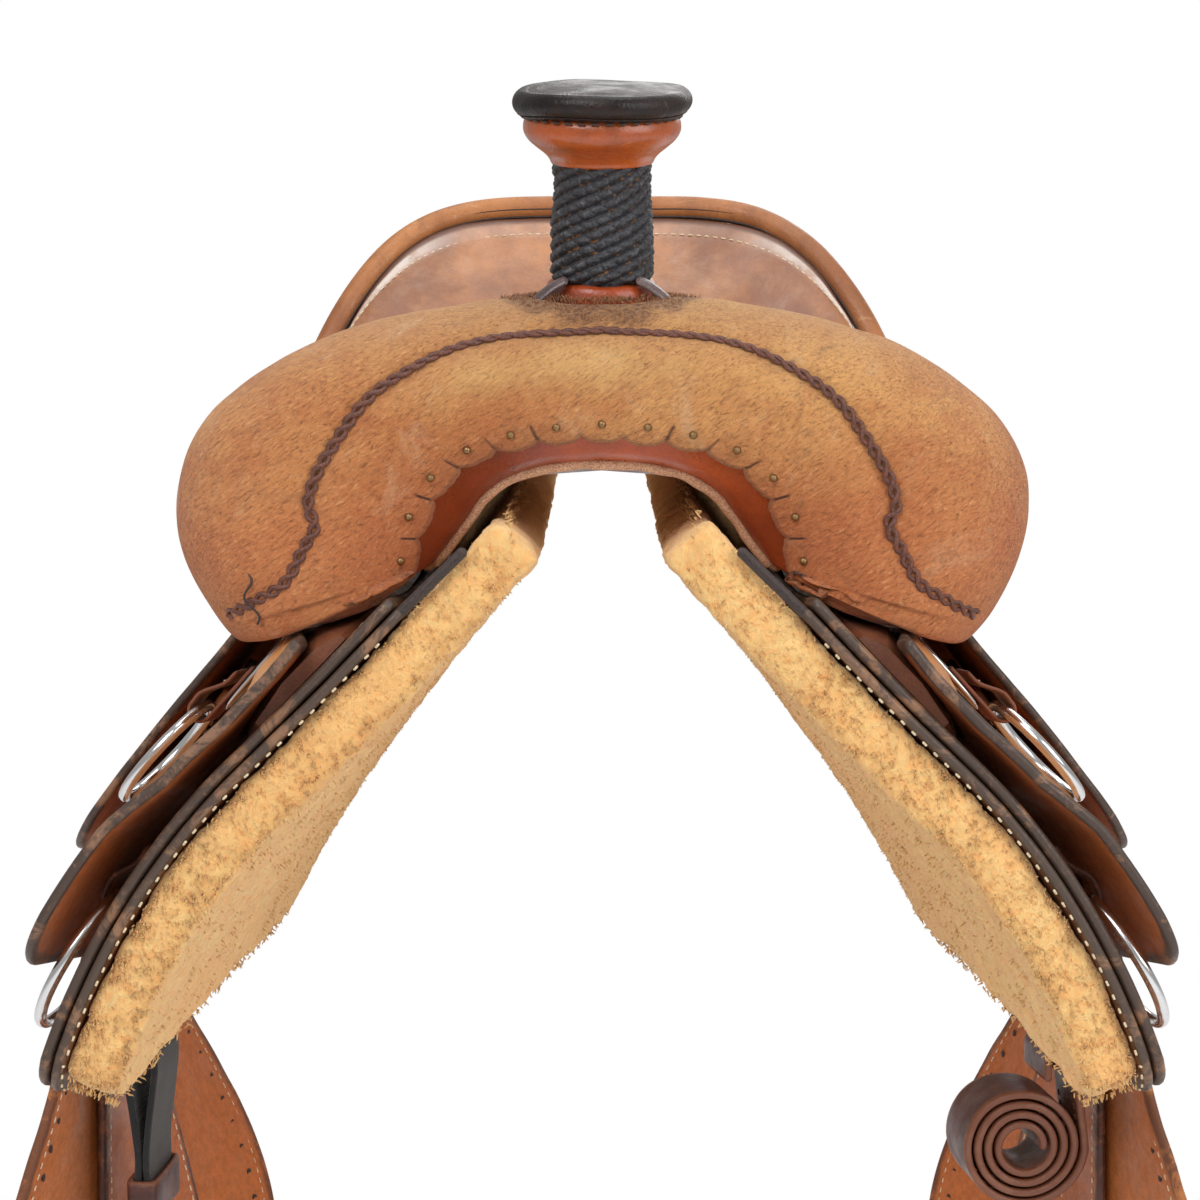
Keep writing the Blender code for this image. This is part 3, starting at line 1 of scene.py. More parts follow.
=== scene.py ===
import math
import bpy
import numpy as np
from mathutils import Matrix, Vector


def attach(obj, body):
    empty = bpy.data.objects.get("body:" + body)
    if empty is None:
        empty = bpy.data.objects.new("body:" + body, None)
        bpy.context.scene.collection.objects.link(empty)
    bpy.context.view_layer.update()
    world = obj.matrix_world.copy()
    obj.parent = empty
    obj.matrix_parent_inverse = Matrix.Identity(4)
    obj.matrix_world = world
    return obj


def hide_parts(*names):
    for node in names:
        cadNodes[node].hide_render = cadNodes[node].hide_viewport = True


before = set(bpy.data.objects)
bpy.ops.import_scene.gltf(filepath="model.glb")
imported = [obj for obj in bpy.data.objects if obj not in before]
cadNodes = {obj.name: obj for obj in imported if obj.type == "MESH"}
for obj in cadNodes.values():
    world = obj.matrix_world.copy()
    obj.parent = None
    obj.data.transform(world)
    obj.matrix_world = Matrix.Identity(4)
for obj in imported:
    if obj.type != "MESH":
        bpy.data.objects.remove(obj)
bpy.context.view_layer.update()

# Camera, lamps, world and floor
studio = {
    "cameraPlace": (-0.0008, -1.32, 0.132), "cameraPitch": 82.37, "lens": 81.48, "sensor": 36.0,
    # each lamp's place, the point it faces, its size and its power
    "lamps": {
        "keyLamp": ((-0.9, -1.9, 1.7), (0, -0.1, -0.05), 1.5, 34.0),
        "fillLamp": ((1.7, -1.5, 0.9), (0, -0.1, -0.1), 1.6, 23.0),
        "topLamp": ((0.1, 0.1, 2.2), (0, 0, 0), 1.8, 20.0),
        "rearLamp": ((0.6, 2.0, 1.3), (0, 0.1, -0.1), 1.6, 14.0),
    },
    # colour and strength of the world as light, in reflections and to the camera
    "ambient": ((1.0, 0.985, 0.965, 1), 0.52), "shine": ((1.0, 0.975, 0.94, 1), 0.42),
    "backdrop": ((1, 1, 1, 1), 1.0),
    "floorLevel": -0.709, "floorReach": 6.0, "floorFade": (0.55, 0.95),
    "floorColour": (0.86, 0.86, 0.86, 1), "floorRoughness": 0.9,
}


def addLamp(name, place, target, size, power):
    # a square soft lamp at place, facing target
    data = bpy.data.lights.new(name, "AREA")
    data.energy = power
    data.size = size
    lamp = bpy.data.objects.new(name, data)
    bpy.context.scene.collection.objects.link(lamp)
    lamp.location = place
    aim = np.array(target, float) - np.array(place, float)
    lamp.rotation_mode = "QUATERNION"
    lamp.rotation_quaternion = Vector(aim).to_track_quat("-Z", "Y")


def buildCamera():
    # the photo's view: from the front, nearly level
    scene = bpy.context.scene
    scene.view_settings.view_transform = "Standard"
    data = bpy.data.cameras.new("studioCamera")
    data.lens = studio["lens"]
    data.sensor_width = studio["sensor"]
    camera = bpy.data.objects.new("studioCamera", data)
    scene.collection.objects.link(camera)
    camera.location = studio["cameraPlace"]
    camera.rotation_euler = (math.radians(studio["cameraPitch"]), 0.0, 0.0)
    scene.camera = camera


def mixShaders(tree, factor, first, second):
    # the first shader where the factor is 0, the second where it is 1
    mix = tree.nodes.new("ShaderNodeMixShader")
    for socket, source in zip(mix.inputs, (factor, first, second)):
        tree.links.new(source, socket)
    return mix.outputs[0]


def buildWorld():
    # white to the camera, softer as light, softer again in reflections
    world = bpy.data.worlds.new("paleRoom")
    bpy.context.scene.world = world
    world.use_nodes = True
    tree = world.node_tree
    tree.nodes.clear()
    path = tree.nodes.new("ShaderNodeLightPath").outputs
    seen = tree.nodes.new("ShaderNodeMath")
    seen.operation = "MAXIMUM"
    tree.links.new(path["Is Camera Ray"], seen.inputs[0])
    tree.links.new(path["Is Transmission Ray"], seen.inputs[1])
    shades = []
    for key in ("ambient", "shine", "backdrop"):
        shade = tree.nodes.new("ShaderNodeBackground")
        shade.inputs["Color"].default_value, shade.inputs["Strength"].default_value = studio[key]
        shades.append(shade.outputs[0])
    lit = mixShaders(tree, path["Is Glossy Ray"], shades[0], shades[1])
    out = tree.nodes.new("ShaderNodeOutputWorld")
    tree.links.new(mixShaders(tree, seen.outputs[0], lit, shades[2]), out.inputs["Surface"])


def buildFloor():
    # pale and matt near the saddle, white to the camera further off
    reach, level = studio["floorReach"], studio["floorLevel"]
    mesh = bpy.data.meshes.new("floor")
    corners = [
        (-reach, -reach, level), (reach, -reach, level), (reach, reach, level), (-reach, reach, level)
    ]
    mesh.from_pydata(corners, [], [(0, 1, 2, 3)])
    floor = bpy.data.objects.new("floor", mesh)
    bpy.context.scene.collection.objects.link(floor)
    pale = bpy.data.materials.new("paleFloor")
    pale.use_nodes = True
    tree = pale.node_tree
    shader = tree.nodes["Principled BSDF"]
    shader.inputs["Base Color"].default_value = studio["floorColour"]
    shader.inputs["Roughness"].default_value = studio["floorRoughness"]
    flat = tree.nodes.new("ShaderNodeVectorMath")
    flat.operation = "MULTIPLY"
    flat.inputs[1].default_value = (1, 1, 0)
    tree.links.new(tree.nodes.new("ShaderNodeTexCoord").outputs["Object"], flat.inputs[0])
    length = tree.nodes.new("ShaderNodeVectorMath")
    length.operation = "LENGTH"
    tree.links.new(flat.outputs[0], length.inputs[0])
    fade = tree.nodes.new("ShaderNodeMapRange")
    fade.interpolation_type = "SMOOTHSTEP"
    fade.inputs["From Min"].default_value, fade.inputs["From Max"].default_value = studio["floorFade"]
    tree.links.new(length.outputs["Value"], fade.inputs["Value"])
    gate = tree.nodes.new("ShaderNodeMath")
    gate.operation = "MULTIPLY"
    tree.links.new(fade.outputs["Result"], gate.inputs[0])
    tree.links.new(tree.nodes.new("ShaderNodeLightPath").outputs["Is Camera Ray"], gate.inputs[1])
    glow = tree.nodes.new("ShaderNodeEmission")
    glow.inputs["Strength"].default_value = 1.0
    surface = mixShaders(tree, gate.outputs[0], shader.outputs[0], glow.outputs[0])
    tree.links.new(surface, tree.nodes["Material Output"].inputs["Surface"])
    mesh.materials.append(pale)


def buildStudio():
    # camera, four lamps, world and floor
    buildCamera()
    for name, setting in studio["lamps"].items():
        addLamp(name, *setting)
    buildWorld()
    buildFloor()
    print("studio ready")


# Curves and noise

def smoothStep(value):
    # 3v^2 - 2v^3 of v held between 0 and 1
    value = np.clip(value, 0.0, 1.0)
    return value * value * (3.0 - 2.0 * value)


def hump(value, centre, flat, fall):
    # 1 within flat of the centre, then a smooth fall to 0 over the next fall
    return 1.0 - smoothStep((np.abs(value - centre) - flat) / fall)


def smoothLine(stations, place):
    # cubic through unevenly spaced stations, slope at each from its two neighbours
    table = np.array(stations, float)
    where, values = table[:, 0], table[:, 1:]
    last = len(where) - 1
    low = np.maximum(np.arange(last + 1) - 1, 0)
    high = np.minimum(np.arange(last + 1) + 1, last)
    slope = (values[high] - values[low]) / (where[high] - where[low])[:, None]
    place = np.asarray(place, float)
    i = np.clip(np.searchsorted(where, place) - 1, 0, last - 1)
    width = (where[i + 1] - where[i])[..., None]
    f = ((place - where[i]) / width[..., 0])[..., None]
    a, b, ta, tb = values[i], values[i + 1], slope[i] * width, slope[i + 1] * width
    start = a * (2 * f**3 - 3 * f**2 + 1) + ta * (f**3 - 2 * f**2 + f)
    return start + b * (3 * f**2 - 2 * f**3) + tb * (f**3 - f**2)


def along(table, t):
    # Catmull-Rom through evenly spaced rows of the table, t from 0 to 1
    table = np.asarray(table, float)
    count = len(table) - 1
    padded = np.concatenate([[2 * table[0] - table[1]], table, [2 * table[-1] - table[-2]]])
    place = np.clip(np.asarray(t, float), 0, 1) * count
    i = np.minimum(place.astype(int), count - 1)
    f = (place - i).reshape(place.shape + (1,) * (table.ndim - 1))
    before, a, b, after = padded[i], padded[i + 1], padded[i + 2], padded[i + 3]
    return 0.5 * (
        2 * a + (b - before) * f + (2 * before - 5 * a + 4 * b - after) * f**2
        + (3 * a - before - 3 * b + after) * f**3
    )


def unit(vectors):
    # each vector over its own length
    return vectors / np.maximum(np.linalg.norm(vectors, axis=-1, keepdims=True), 1e-12)


def facing(normals, outward):
    # each normal turned to the side that outward points to
    return np.where((normals * outward).sum(-1, keepdims=True) < 0, -normals, normals)


def signedPower(value, power):
    # sign(v) |v|^power, which squares off a circle's sine and cosine
    return np.sign(value) * np.abs(value) ** power


def runLength(line):
    # distance along a line of points, from 0 at its start
    return np.concatenate([[0], np.cumsum(np.linalg.norm(np.diff(line, axis=0), axis=1))])


def lumps(points, size, seed=0):
    # smooth value noise, -1 to 1: hashed lattice values blended with smooth steps
    scaled = np.asarray(points, float) / size + 137.31 * (seed + 1)
    cell = np.floor(scaled).astype(np.int64)
    f = scaled - cell
    f = f * f * (3 - 2 * f)
    total = np.zeros(scaled.shape[:-1])
    for corner in range(8):
        step = np.array([corner & 1, corner >> 1 & 1, corner >> 2 & 1])
        key = cell + step
        number = (
            key[..., 0] * 73856093
        ) ^ (key[..., 1] * 19349663) ^ (key[..., 2] * 83492791) ^ (seed * 2654435)
        number = (number ^ (number >> 13)) * 1274126177
        value = ((number ^ (number >> 16)) & 65535) / 32767.5 - 1
        weight = np.prod(np.where(step == 1, f, 1 - f), axis=-1)
        total += weight * value
    return total


# Mesh making

def makePiece(
    name, points, quads, body, material, tris=None, nodes=(), slotName=None, values=None, flat=None
):
    # puts whole arrays of points and faces into a new object that rides on a body
    points = np.ascontiguousarray(points, np.float32).reshape(-1, 3)
    quads = np.zeros((0, 4), int) if quads is None else np.asarray(quads).reshape(-1, 4)
    tris = np.zeros((0, 3), int) if tris is None else np.asarray(tris).reshape(-1, 3)
    mesh = bpy.data.meshes.new(name)
    mesh.vertices.add(len(points))
    mesh.vertices.foreach_set("co", points.ravel())
    loops = np.concatenate([quads.ravel(), tris.ravel()]).astype(np.int32)
    mesh.loops.add(len(loops))
    mesh.loops.foreach_set("vertex_index", loops)
    starts = np.concatenate([np.arange(len(quads)) * 4, len(quads) * 4 + np.arange(len(tris)) * 3])
    mesh.polygons.add(len(starts))
    mesh.polygons.foreach_set("loop_start", starts.astype(np.int32))
    mesh.update(calc_edges=True)
    for key, value in (values or {}).items():
        attribute = mesh.attributes.new(key, "FLOAT", "POINT")
        attribute.data.foreach_set("value", np.ascontiguousarray(value, np.float32).ravel())
    if flat is not None:
        layer = mesh.uv_layers.new(name="flat")
        layer.data.foreach_set("uv", np.ascontiguousarray(flat.reshape(-1, 2)[loops], np.float32).ravel())
    mesh.shade_smooth()
    mesh.materials.append(material)
    piece = bpy.data.objects.new(name, mesh)
    bpy.context.scene.collection.objects.link(piece)
    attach(piece, body)
    if nodes:
        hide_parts(*nodes)
    return piece


def gridQuads(rows, columns, closeRows=False, closeColumns=False):
    # quads of a grid, wound so that their normal is (row step) x (column step)
    i = np.arange(rows if closeRows else rows - 1)[:, None]
    j = np.arange(columns if closeColumns else columns - 1)[None, :]
    after, beside = (i + 1) % rows, (j + 1) % columns
    quads = np.stack(
        np.broadcast_arrays(
            i * columns + j, after * columns + j, after * columns + beside, i * columns + beside
        ),
        -1
    )
    return quads.reshape(-1, 4)


def gridNormals(grid):
    # cross product of the steps along a grid's rows and columns, made unit length
    return unit(np.cross(np.gradient(grid, axis=0), np.gradient(grid, axis=1)))


def shellPiece(
    name, grid, thickness, outward, body, material, offset=0.0, rim=5, bulge=None, rough=0.0, move=None,
    **more
):
    # a leather sheet: grid + n t(offset+1)/2 outside, grid + n t(offset-1)/2 inside,
    # and a half-round rim between them
    grid = np.asarray(grid, float)
    extra = more.pop("extra", {})
    normals = gridNormals(grid)
    if (normals * outward).sum() < 0:
        grid = grid[:, ::-1]
        normals = -normals[:, ::-1]
        extra = {key: value[:, ::-1] for key, value in extra.items()}
    rows, columns = grid.shape[:2]
    if rough:
        grid = grid + normals * (rough * (lumps(grid, 0.035, 3) + 0.5 * lumps(grid, 0.012, 5)))[..., None]
    middle = grid + normals * (thickness * offset / 2)
    half = thickness / 2
    bulge = half if bulge is None else bulge
    ring = np.concatenate([
        np.arange(rows - 1) * columns, (rows - 1) * columns + np.arange(columns - 1),
        (np.arange(rows - 1, 0, -1)) * columns + columns - 1, np.arange(columns - 1, 0, -1),
    ])
    flatMiddle, flatNormals = middle.reshape(-1, 3), normals.reshape(-1, 3)
    edgeLine = flatMiddle[ring]
    edgeUp = flatNormals[ring]
    beyond = unit(np.cross(np.roll(edgeLine, -1, 0) - np.roll(edgeLine, 1, 0), edgeUp))
    angles = np.linspace(90, -90, rim + 2)[1:-1]
    levels = [
        edgeLine + beyond * (bulge * math.cos(math.radians(a))) + edgeUp
        * (half * math.sin(math.radians(a))) for a in angles
    ]
    outer = flatMiddle + flatNormals * half
    inner = flatMiddle - flatNormals * half
    points = np.concatenate([outer, inner] + levels)
    total = rows * columns
    quads = gridQuads(rows, columns)
    parts = [quads, quads[:, ::-1] + total]
    loops = [ring] + [
        2 * total + k * len(ring) + np.arange(len(ring)) for k in range(rim)
    ] + [ring + total]
    for upper, lower in zip(loops[:-1], loops[1:]):
        parts.append(np.stack([upper, lower, np.roll(lower, -1), np.roll(upper, -1)], -1))
    alongRows = np.concatenate(
        [np.zeros((1, columns)), np.cumsum(np.linalg.norm(np.diff(grid, axis=0), axis=-1), axis=0)]
    )
    alongColumns = np.concatenate(
        [np.zeros((rows, 1)), np.cumsum(np.linalg.norm(np.diff(grid, axis=1), axis=-1), axis=1)], axis=1
    )
    fromEdge = np.minimum(
        np.minimum(alongRows, alongRows[-1:] - alongRows),
        np.minimum(alongColumns, alongColumns[:, -1:] - alongColumns)
    ).ravel()
    face = np.concatenate(
        [np.ones(total), -np.ones(total)]
        + [np.full(len(ring), math.sin(math.radians(a))) for a in angles]
    )
    values = {
        "edge": np.concatenate([fromEdge, fromEdge] + [np.full(len(ring), -0.001)] * rim), "face": face
    }
    for key, value in extra.items():
        value = value.ravel()
        values[key] = np.concatenate([value, value] + [value[ring]] * rim)
    flat = np.stack([alongRows, alongColumns], -1).reshape(-1, 2)
    flat = np.concatenate([flat, flat] + [flat[ring]] * rim)
    if move is not None:
        directions = np.concatenate(
            [flatNormals, -flatNormals]
            + [
                unit(beyond * math.cos(math.radians(a)) + edgeUp * math.sin(math.radians(a)))
                for a in angles
            ]
        )
        points = move(points, directions, values)
    return makePiece(
        name, points, np.concatenate(parts), body, material, values=values, flat=flat, **more
    )


def framesAlong(line, up, closed=False):
    # unit tangents, sides and ups along a line of points, from a rough up direction at each
    if closed:
        tangents = unit(np.roll(line, -1, 0) - np.roll(line, 1, 0))
    else:
        tangents = unit(np.gradient(line, axis=0))
    up = np.broadcast_to(np.asarray(up, float), line.shape)
    sides = unit(np.cross(tangents, up))
    return tangents, sides, np.cross(sides, tangents)


def tubePiece(name, lines, up, wide, high, body, material, steps=10, closed=False, **more):
    # one or more tubes: line + side wide cos a + up high sin a, with round closed ends
    points, quads, tris, flats, base = [], [], [], [], 0
    lines = [lines] if isinstance(lines, np.ndarray) else lines
    ups = up if isinstance(up, list) else [up] * len(lines)
    angles = np.linspace(0, 2 * math.pi, steps, endpoint=False)
    for line, upNow in zip(lines, ups):
        tangents, sides, rises = framesAlong(line, upNow, closed)
        scale = np.ones(len(line))
        if not closed:
            line = np.concatenate(
                [
                    line[:1] - tangents[:1] * high * 0.8, line[:1], line, line[-1:],
                    line[-1:] + tangents[-1:] * high * 0.8
                ]
            )
            line[1] -= tangents[0] * high * 0.4
            line[-2] += tangents[-1] * high * 0.4
            sides, rises = [np.concatenate([x[:1], x[:1], x, x[-1:], x[-1:]]) for x in (sides, rises)]
            scale = np.concatenate([[0.35, 0.8], scale, [0.8, 0.35]])
        rings = line[:, None] + (
            sides[:, None] * (wide * np.cos(angles))[:, None] + rises[:, None]
            * (high * np.sin(angles))[:, None]
        ) * scale[:, None, None]
        count = len(line)
        points.append(rings.reshape(-1, 3))
        quads.append(gridQuads(count, steps, closeRows=closed, closeColumns=True)[:, ::-1] + base)
        length = runLength(line)
        flats.append(
            np.stack(np.broadcast_arrays(length[:, None], (angles * wide)[None]), -1).reshape(-1, 2)
        )
        if not closed:
            points.append(np.stack([line[0], line[-1]]))
            flats.append(np.array([[length[0], 0], [length[-1], 0]]))
            tips = base + count * steps
            j = np.arange(steps)
            first = np.stack([np.full(steps, tips), base + j, base + (j + 1) % steps], -1)
            end = base + (count - 1) * steps
            second = np.stack([np.full(steps, tips + 1), end + (j + 1) % steps, end + j], -1)
            tris += [first, second]
            base += 2
        base += count * steps
    return makePiece(
        name, np.concatenate(points), np.concatenate(quads), body, material,
        tris=np.concatenate(tris) if tris else None, flat=np.concatenate(flats), **more
    )


def turnedPiece(name, profile, place, body, material, steps=96, move=None, **more):
    # profile of (radius, height) turned about an axis, running down the outer side;
    # place carries it into the frame
    profile = np.asarray(profile, float)
    angles = np.linspace(0, 2 * math.pi, steps, endpoint=False)
    radius, height = profile[:, 0][:, None], profile[:, 1][:, None]
    local = np.stack(np.broadcast_arrays(radius * np.cos(angles), radius * np.sin(angles), height), -1)
    if move is not None:
        local = move(local)
    length = runLength(profile)
    flat = np.stack(np.broadcast_arrays(length[:, None], angles[None] * profile[:, 0].max()), -1)
    return makePiece(
        name, place(local), gridQuads(len(profile), steps, closeColumns=True), body, material, flat=flat,
        **more
    )


def studsPiece(name, profile, centres, axes, across, body, material, steps=8, stretch=1.0, **more):
    # small turned shapes repeated: centre + axis h + (across stretch cos a + side sin a) r
    # for each (r, h) of the profile
    profile = np.asarray(profile, float)
    axes = unit(axes)
    side = unit(np.cross(axes, across))
    across = np.cross(side, axes)
    angles = np.linspace(0, 2 * math.pi, steps, endpoint=False)
    count, levels = len(centres), len(profile)
    turn = across[:, None, None] * (np.cos(angles) * stretch)[None, None, :, None]
    turn = turn + side[:, None, None] * np.sin(angles)[None, None, :, None]
    points = centres[:, None, None] + axes[:, None, None] * profile[None, :, 1, None, None]
    points = points + turn * profile[None, :, 0, None, None]
    one = gridQuads(levels, steps, closeColumns=True)
    quads = (one[None] + (np.arange(count) * levels * steps)[:, None, None]).reshape(-1, 4)
    return makePiece(name, points.reshape(-1, 3), quads, body, material, **more)


def spaced(line, pitch, start=0.5, *others):
    # points every pitch along a line, with other arrays sampled at the same places
    length = runLength(line)
    count = max(int(length[-1] / pitch), 1)
    places = (np.arange(count) + start) * length[-1] / count

    def sample(array):
        return np.stack([np.interp(places, length, array[:, k]) for k in range(array.shape[1])], -1)

    return [sample(line)] + [sample(other) for other in others]


def stitchRow(
    name, line, normals, body, material, pitch=0.0042, length=0.0031, radius=0.00045, lift=0.0001
):
    # thread showing between its holes: short round bars lying along the line
    centres, ups, tangents = marksAlong(line, normals, pitch)
    profile = [(0.0, -length / 2), (radius, -length * 0.36), (radius, length * 0.36), (0.0, length / 2)]
    return studsPiece(
        name, profile[::-1], centres + unit(ups) * lift, tangents, ups, body, material, steps=6
    )


def marksAlong(lines, normals, pitch):
    # places every pitch along one line or several, with the normal and the direction at each
    if not isinstance(lines, list):
        lines, normals = [lines], [normals]
    parts = [stitchPlaces(line, up, pitch) for line, up in zip(lines, normals)]
    return [np.concatenate(part) for part in zip(*parts)]


def stitchPlaces(line, normals, pitch):
    # the middles of equal steps along a line, with the unit normal and direction at each
    centres, ups, tangents = spaced(
        line, pitch, 0.5, np.broadcast_to(normals, line.shape), np.gradient(line, axis=0)
    )
    return centres, unit(ups), unit(tangents)


def punchedRow(name, line, normals, body, material, pitch, radius, stretch=1.0, lift=0.00018):
    # punched marks: thin dished ovals laid on the leather
    centres, ups, tangents = marksAlong(line, normals, pitch)
    profile = [(0.0, lift * 0.4), (radius * 0.8, lift), (radius, 0.0), (0.0, -0.0006)]
    return studsPiece(name, profile, centres, ups, tangents, body, material, steps=12, stretch=stretch)


# Materials

def rgb(red, green, blue):
    # screen colour from 0 to 255 to the scene's own linear values
    value = np.array([red, green, blue]) / 255.0
    value = np.where(value <= 0.04045, value / 12.92, ((value + 0.055) / 1.055) ** 2.4)
    return (*[float(v) for v in value], 1.0)


class Finish:
    # one material under construction; each method adds a node and returns its socket
    def __init__(self, name, roughness=0.5, metallic=0.0, **sockets):
        self.material = bpy.data.materials.new(name)
        self.material.use_nodes = True
        self.tree = self.material.node_tree
        self.shader = self.tree.nodes["Principled BSDF"]
        self.shader.inputs["Roughness"].default_value = roughness
        self.shader.inputs["Metallic"].default_value = metallic
        for key, value in sockets.items():
            self.shader.inputs[key.replace("_", " ")].default_value = value
        self.objectPlace = self.node("TexCoord").outputs["Object"]
        self.height = None

    def node(self, kind, sockets=None, **settings):
        new = self.tree.nodes.new("ShaderNode" + kind)
        for key, value in settings.items():
            setattr(new, key, value)
        for key, value in (sockets or {}).items():
            self.put(new.inputs[key], value)
        return new

    def put(self, target, value):
        if isinstance(value, bpy.types.NodeSocket):
            self.tree.links.new(value, target)
        else:
            target.default_value = value

    def math(self, operation, a, b=0.0, clamp=False):
        return self.node("Math", {0: a, 1: b}, operation=operation, use_clamp=clamp).outputs[0]

    def place(self, scale=(1, 1, 1), turn=(0, 0, 0), source=None):
        return self.node(
            "Mapping", {"Vector": source or self.objectPlace, "Scale": scale, "Rotation": turn}
        ).outputs[0]

    def noise(self, scale, detail=3.0, roughness=0.55, distortion=0.0, at=None):
        sockets = {
            "Vector": at or self.objectPlace, "Scale": scale, "Detail": detail, "Roughness": roughness,
            "Distortion": distortion
        }
        return self.node("TexNoise", sockets).outputs["Fac"]

    def cells(self, scale, feature="F1", at=None, out="Distance", randomness=1.0):
        return self.node(
            "TexVoronoi", {"Vector": at or self.objectPlace, "Scale": scale, "Randomness": randomness},
            feature=feature
        ).outputs[out]

    def fade(self, value, low, high, to=(0.0, 1.0)):
        sockets = {"Value": value, "From Min": low, "From Max": high, "To Min": to[0], "To Max": to[1]}
        return self.node("MapRange", sockets, interpolation_type="SMOOTHSTEP").outputs["Result"]

    def value(self, name):
        return self.node("Attribute", attribute_name=name).outputs["Fac"]

    def flat(self):
        return self.node("UVMap", uv_map="flat").outputs["UV"]

    def mix(self, factor, a, b, mode="MIX"):
        new = self.node("Mix", data_type="RGBA", blend_type=mode, clamp_factor=True)
        for index, value in ((0, factor), (6, a), (7, b)):
            self.put(new.inputs[index], value)
        return new.outputs[2]

    def bump(self, height, distance, strength=1.0):
        sockets = {"Height": height, "Distance": distance, "Strength": strength}
        if self.height is not None:
            sockets["Normal"] = self.height
        self.height = self.node("Bump", sockets).outputs["Normal"]

    def done(self, colour, roughness=None):
        self.put(self.shader.inputs["Base Color"], colour)
        if roughness is not None:
            self.put(self.shader.inputs["Roughness"], roughness)
        if self.height is not None:
            self.put(self.shader.inputs["Normal"], self.height)
        return self.material


def grainLeather(
    name, light, dark, edge=None, edgeReach=0.006, gloss=0.42, grain=1.0, worn=None, stain=None,
    inside=None, coat=0.0, shine=0.5
):
    # smooth leather: two tones in clouds, pores, fine creases, rubbed patches, dark burnished edge
    f = Finish(name, roughness=gloss, Coat_Weight=coat, Coat_Roughness=0.25, Specular_IOR_Level=shine)
    clouds = f.fade(f.noise(9.0, 5, 0.6, 0.6), 0.36, 0.66)
    colour = f.mix(clouds, dark, light)
    blot = f.fade(f.noise(46.0, 5, 0.65, 0.8), 0.45, 0.75)
    colour = f.mix(
        f.math("MULTIPLY", blot, 0.45), colour, stain or tuple([*(0.55 * np.array(dark[:3])), 1.0])
    )
    pores = f.cells(720.0)
    creases = f.noise(190.0, 4, 0.6, 1.2)
    colour = f.mix(
        f.fade(pores, 0.10, 0.42, (0.30, 0.0)), colour, tuple([*(0.5 * np.array(dark[:3])), 1.0])
    )
    scratches = f.fade(
        f.noise(30.0, 3, 0.5, 0.4, at=f.place((1.0, 12.0, 5.0), (0.3, 0.5, 0.2))), 0.64, 0.74
    )
    colour = f.mix(f.math("MULTIPLY", scratches, 0.22), colour, worn or light)
    if inside is not None:
        flesh = f.mix(
            f.fade(f.noise(260.0, 4, 0.7), 0.3, 0.7), inside, tuple([*(0.72 * np.array(inside[:3])), 1.0])
        )
        colour = f.mix(f.fade(f.value("face"), 0.3, -0.3), colour, flesh)
    if edge is not None:
        reach = f.math(
            "ADD", f.value("edge"),
            f.math("MULTIPLY", f.math("SUBTRACT", f.noise(70.0, 4, 0.6), 0.5), edgeReach * 1.3)
        )
        colour = f.mix(f.fade(reach, edgeReach, edgeReach * 0.15), colour, edge)
        bare = f.math(
            "MULTIPLY", f.fade(f.noise(48.0, 6, 0.75, 0.6), 0.48, 0.62),
            f.fade(f.value("edge"), 0.0035, 0.0)
        )
        colour = f.mix(f.math("MULTIPLY", bare, 0.55), colour, worn or light)
    f.bump(creases, 0.0005, 0.35 * grain)
    f.bump(pores, 0.00025, 0.5 * grain)
    shine = f.fade(f.noise(60.0, 4, 0.6), 0.3, 0.7, (gloss - 0.08, min(gloss + 0.18, 1.0)))
    return f.done(colour, shine)


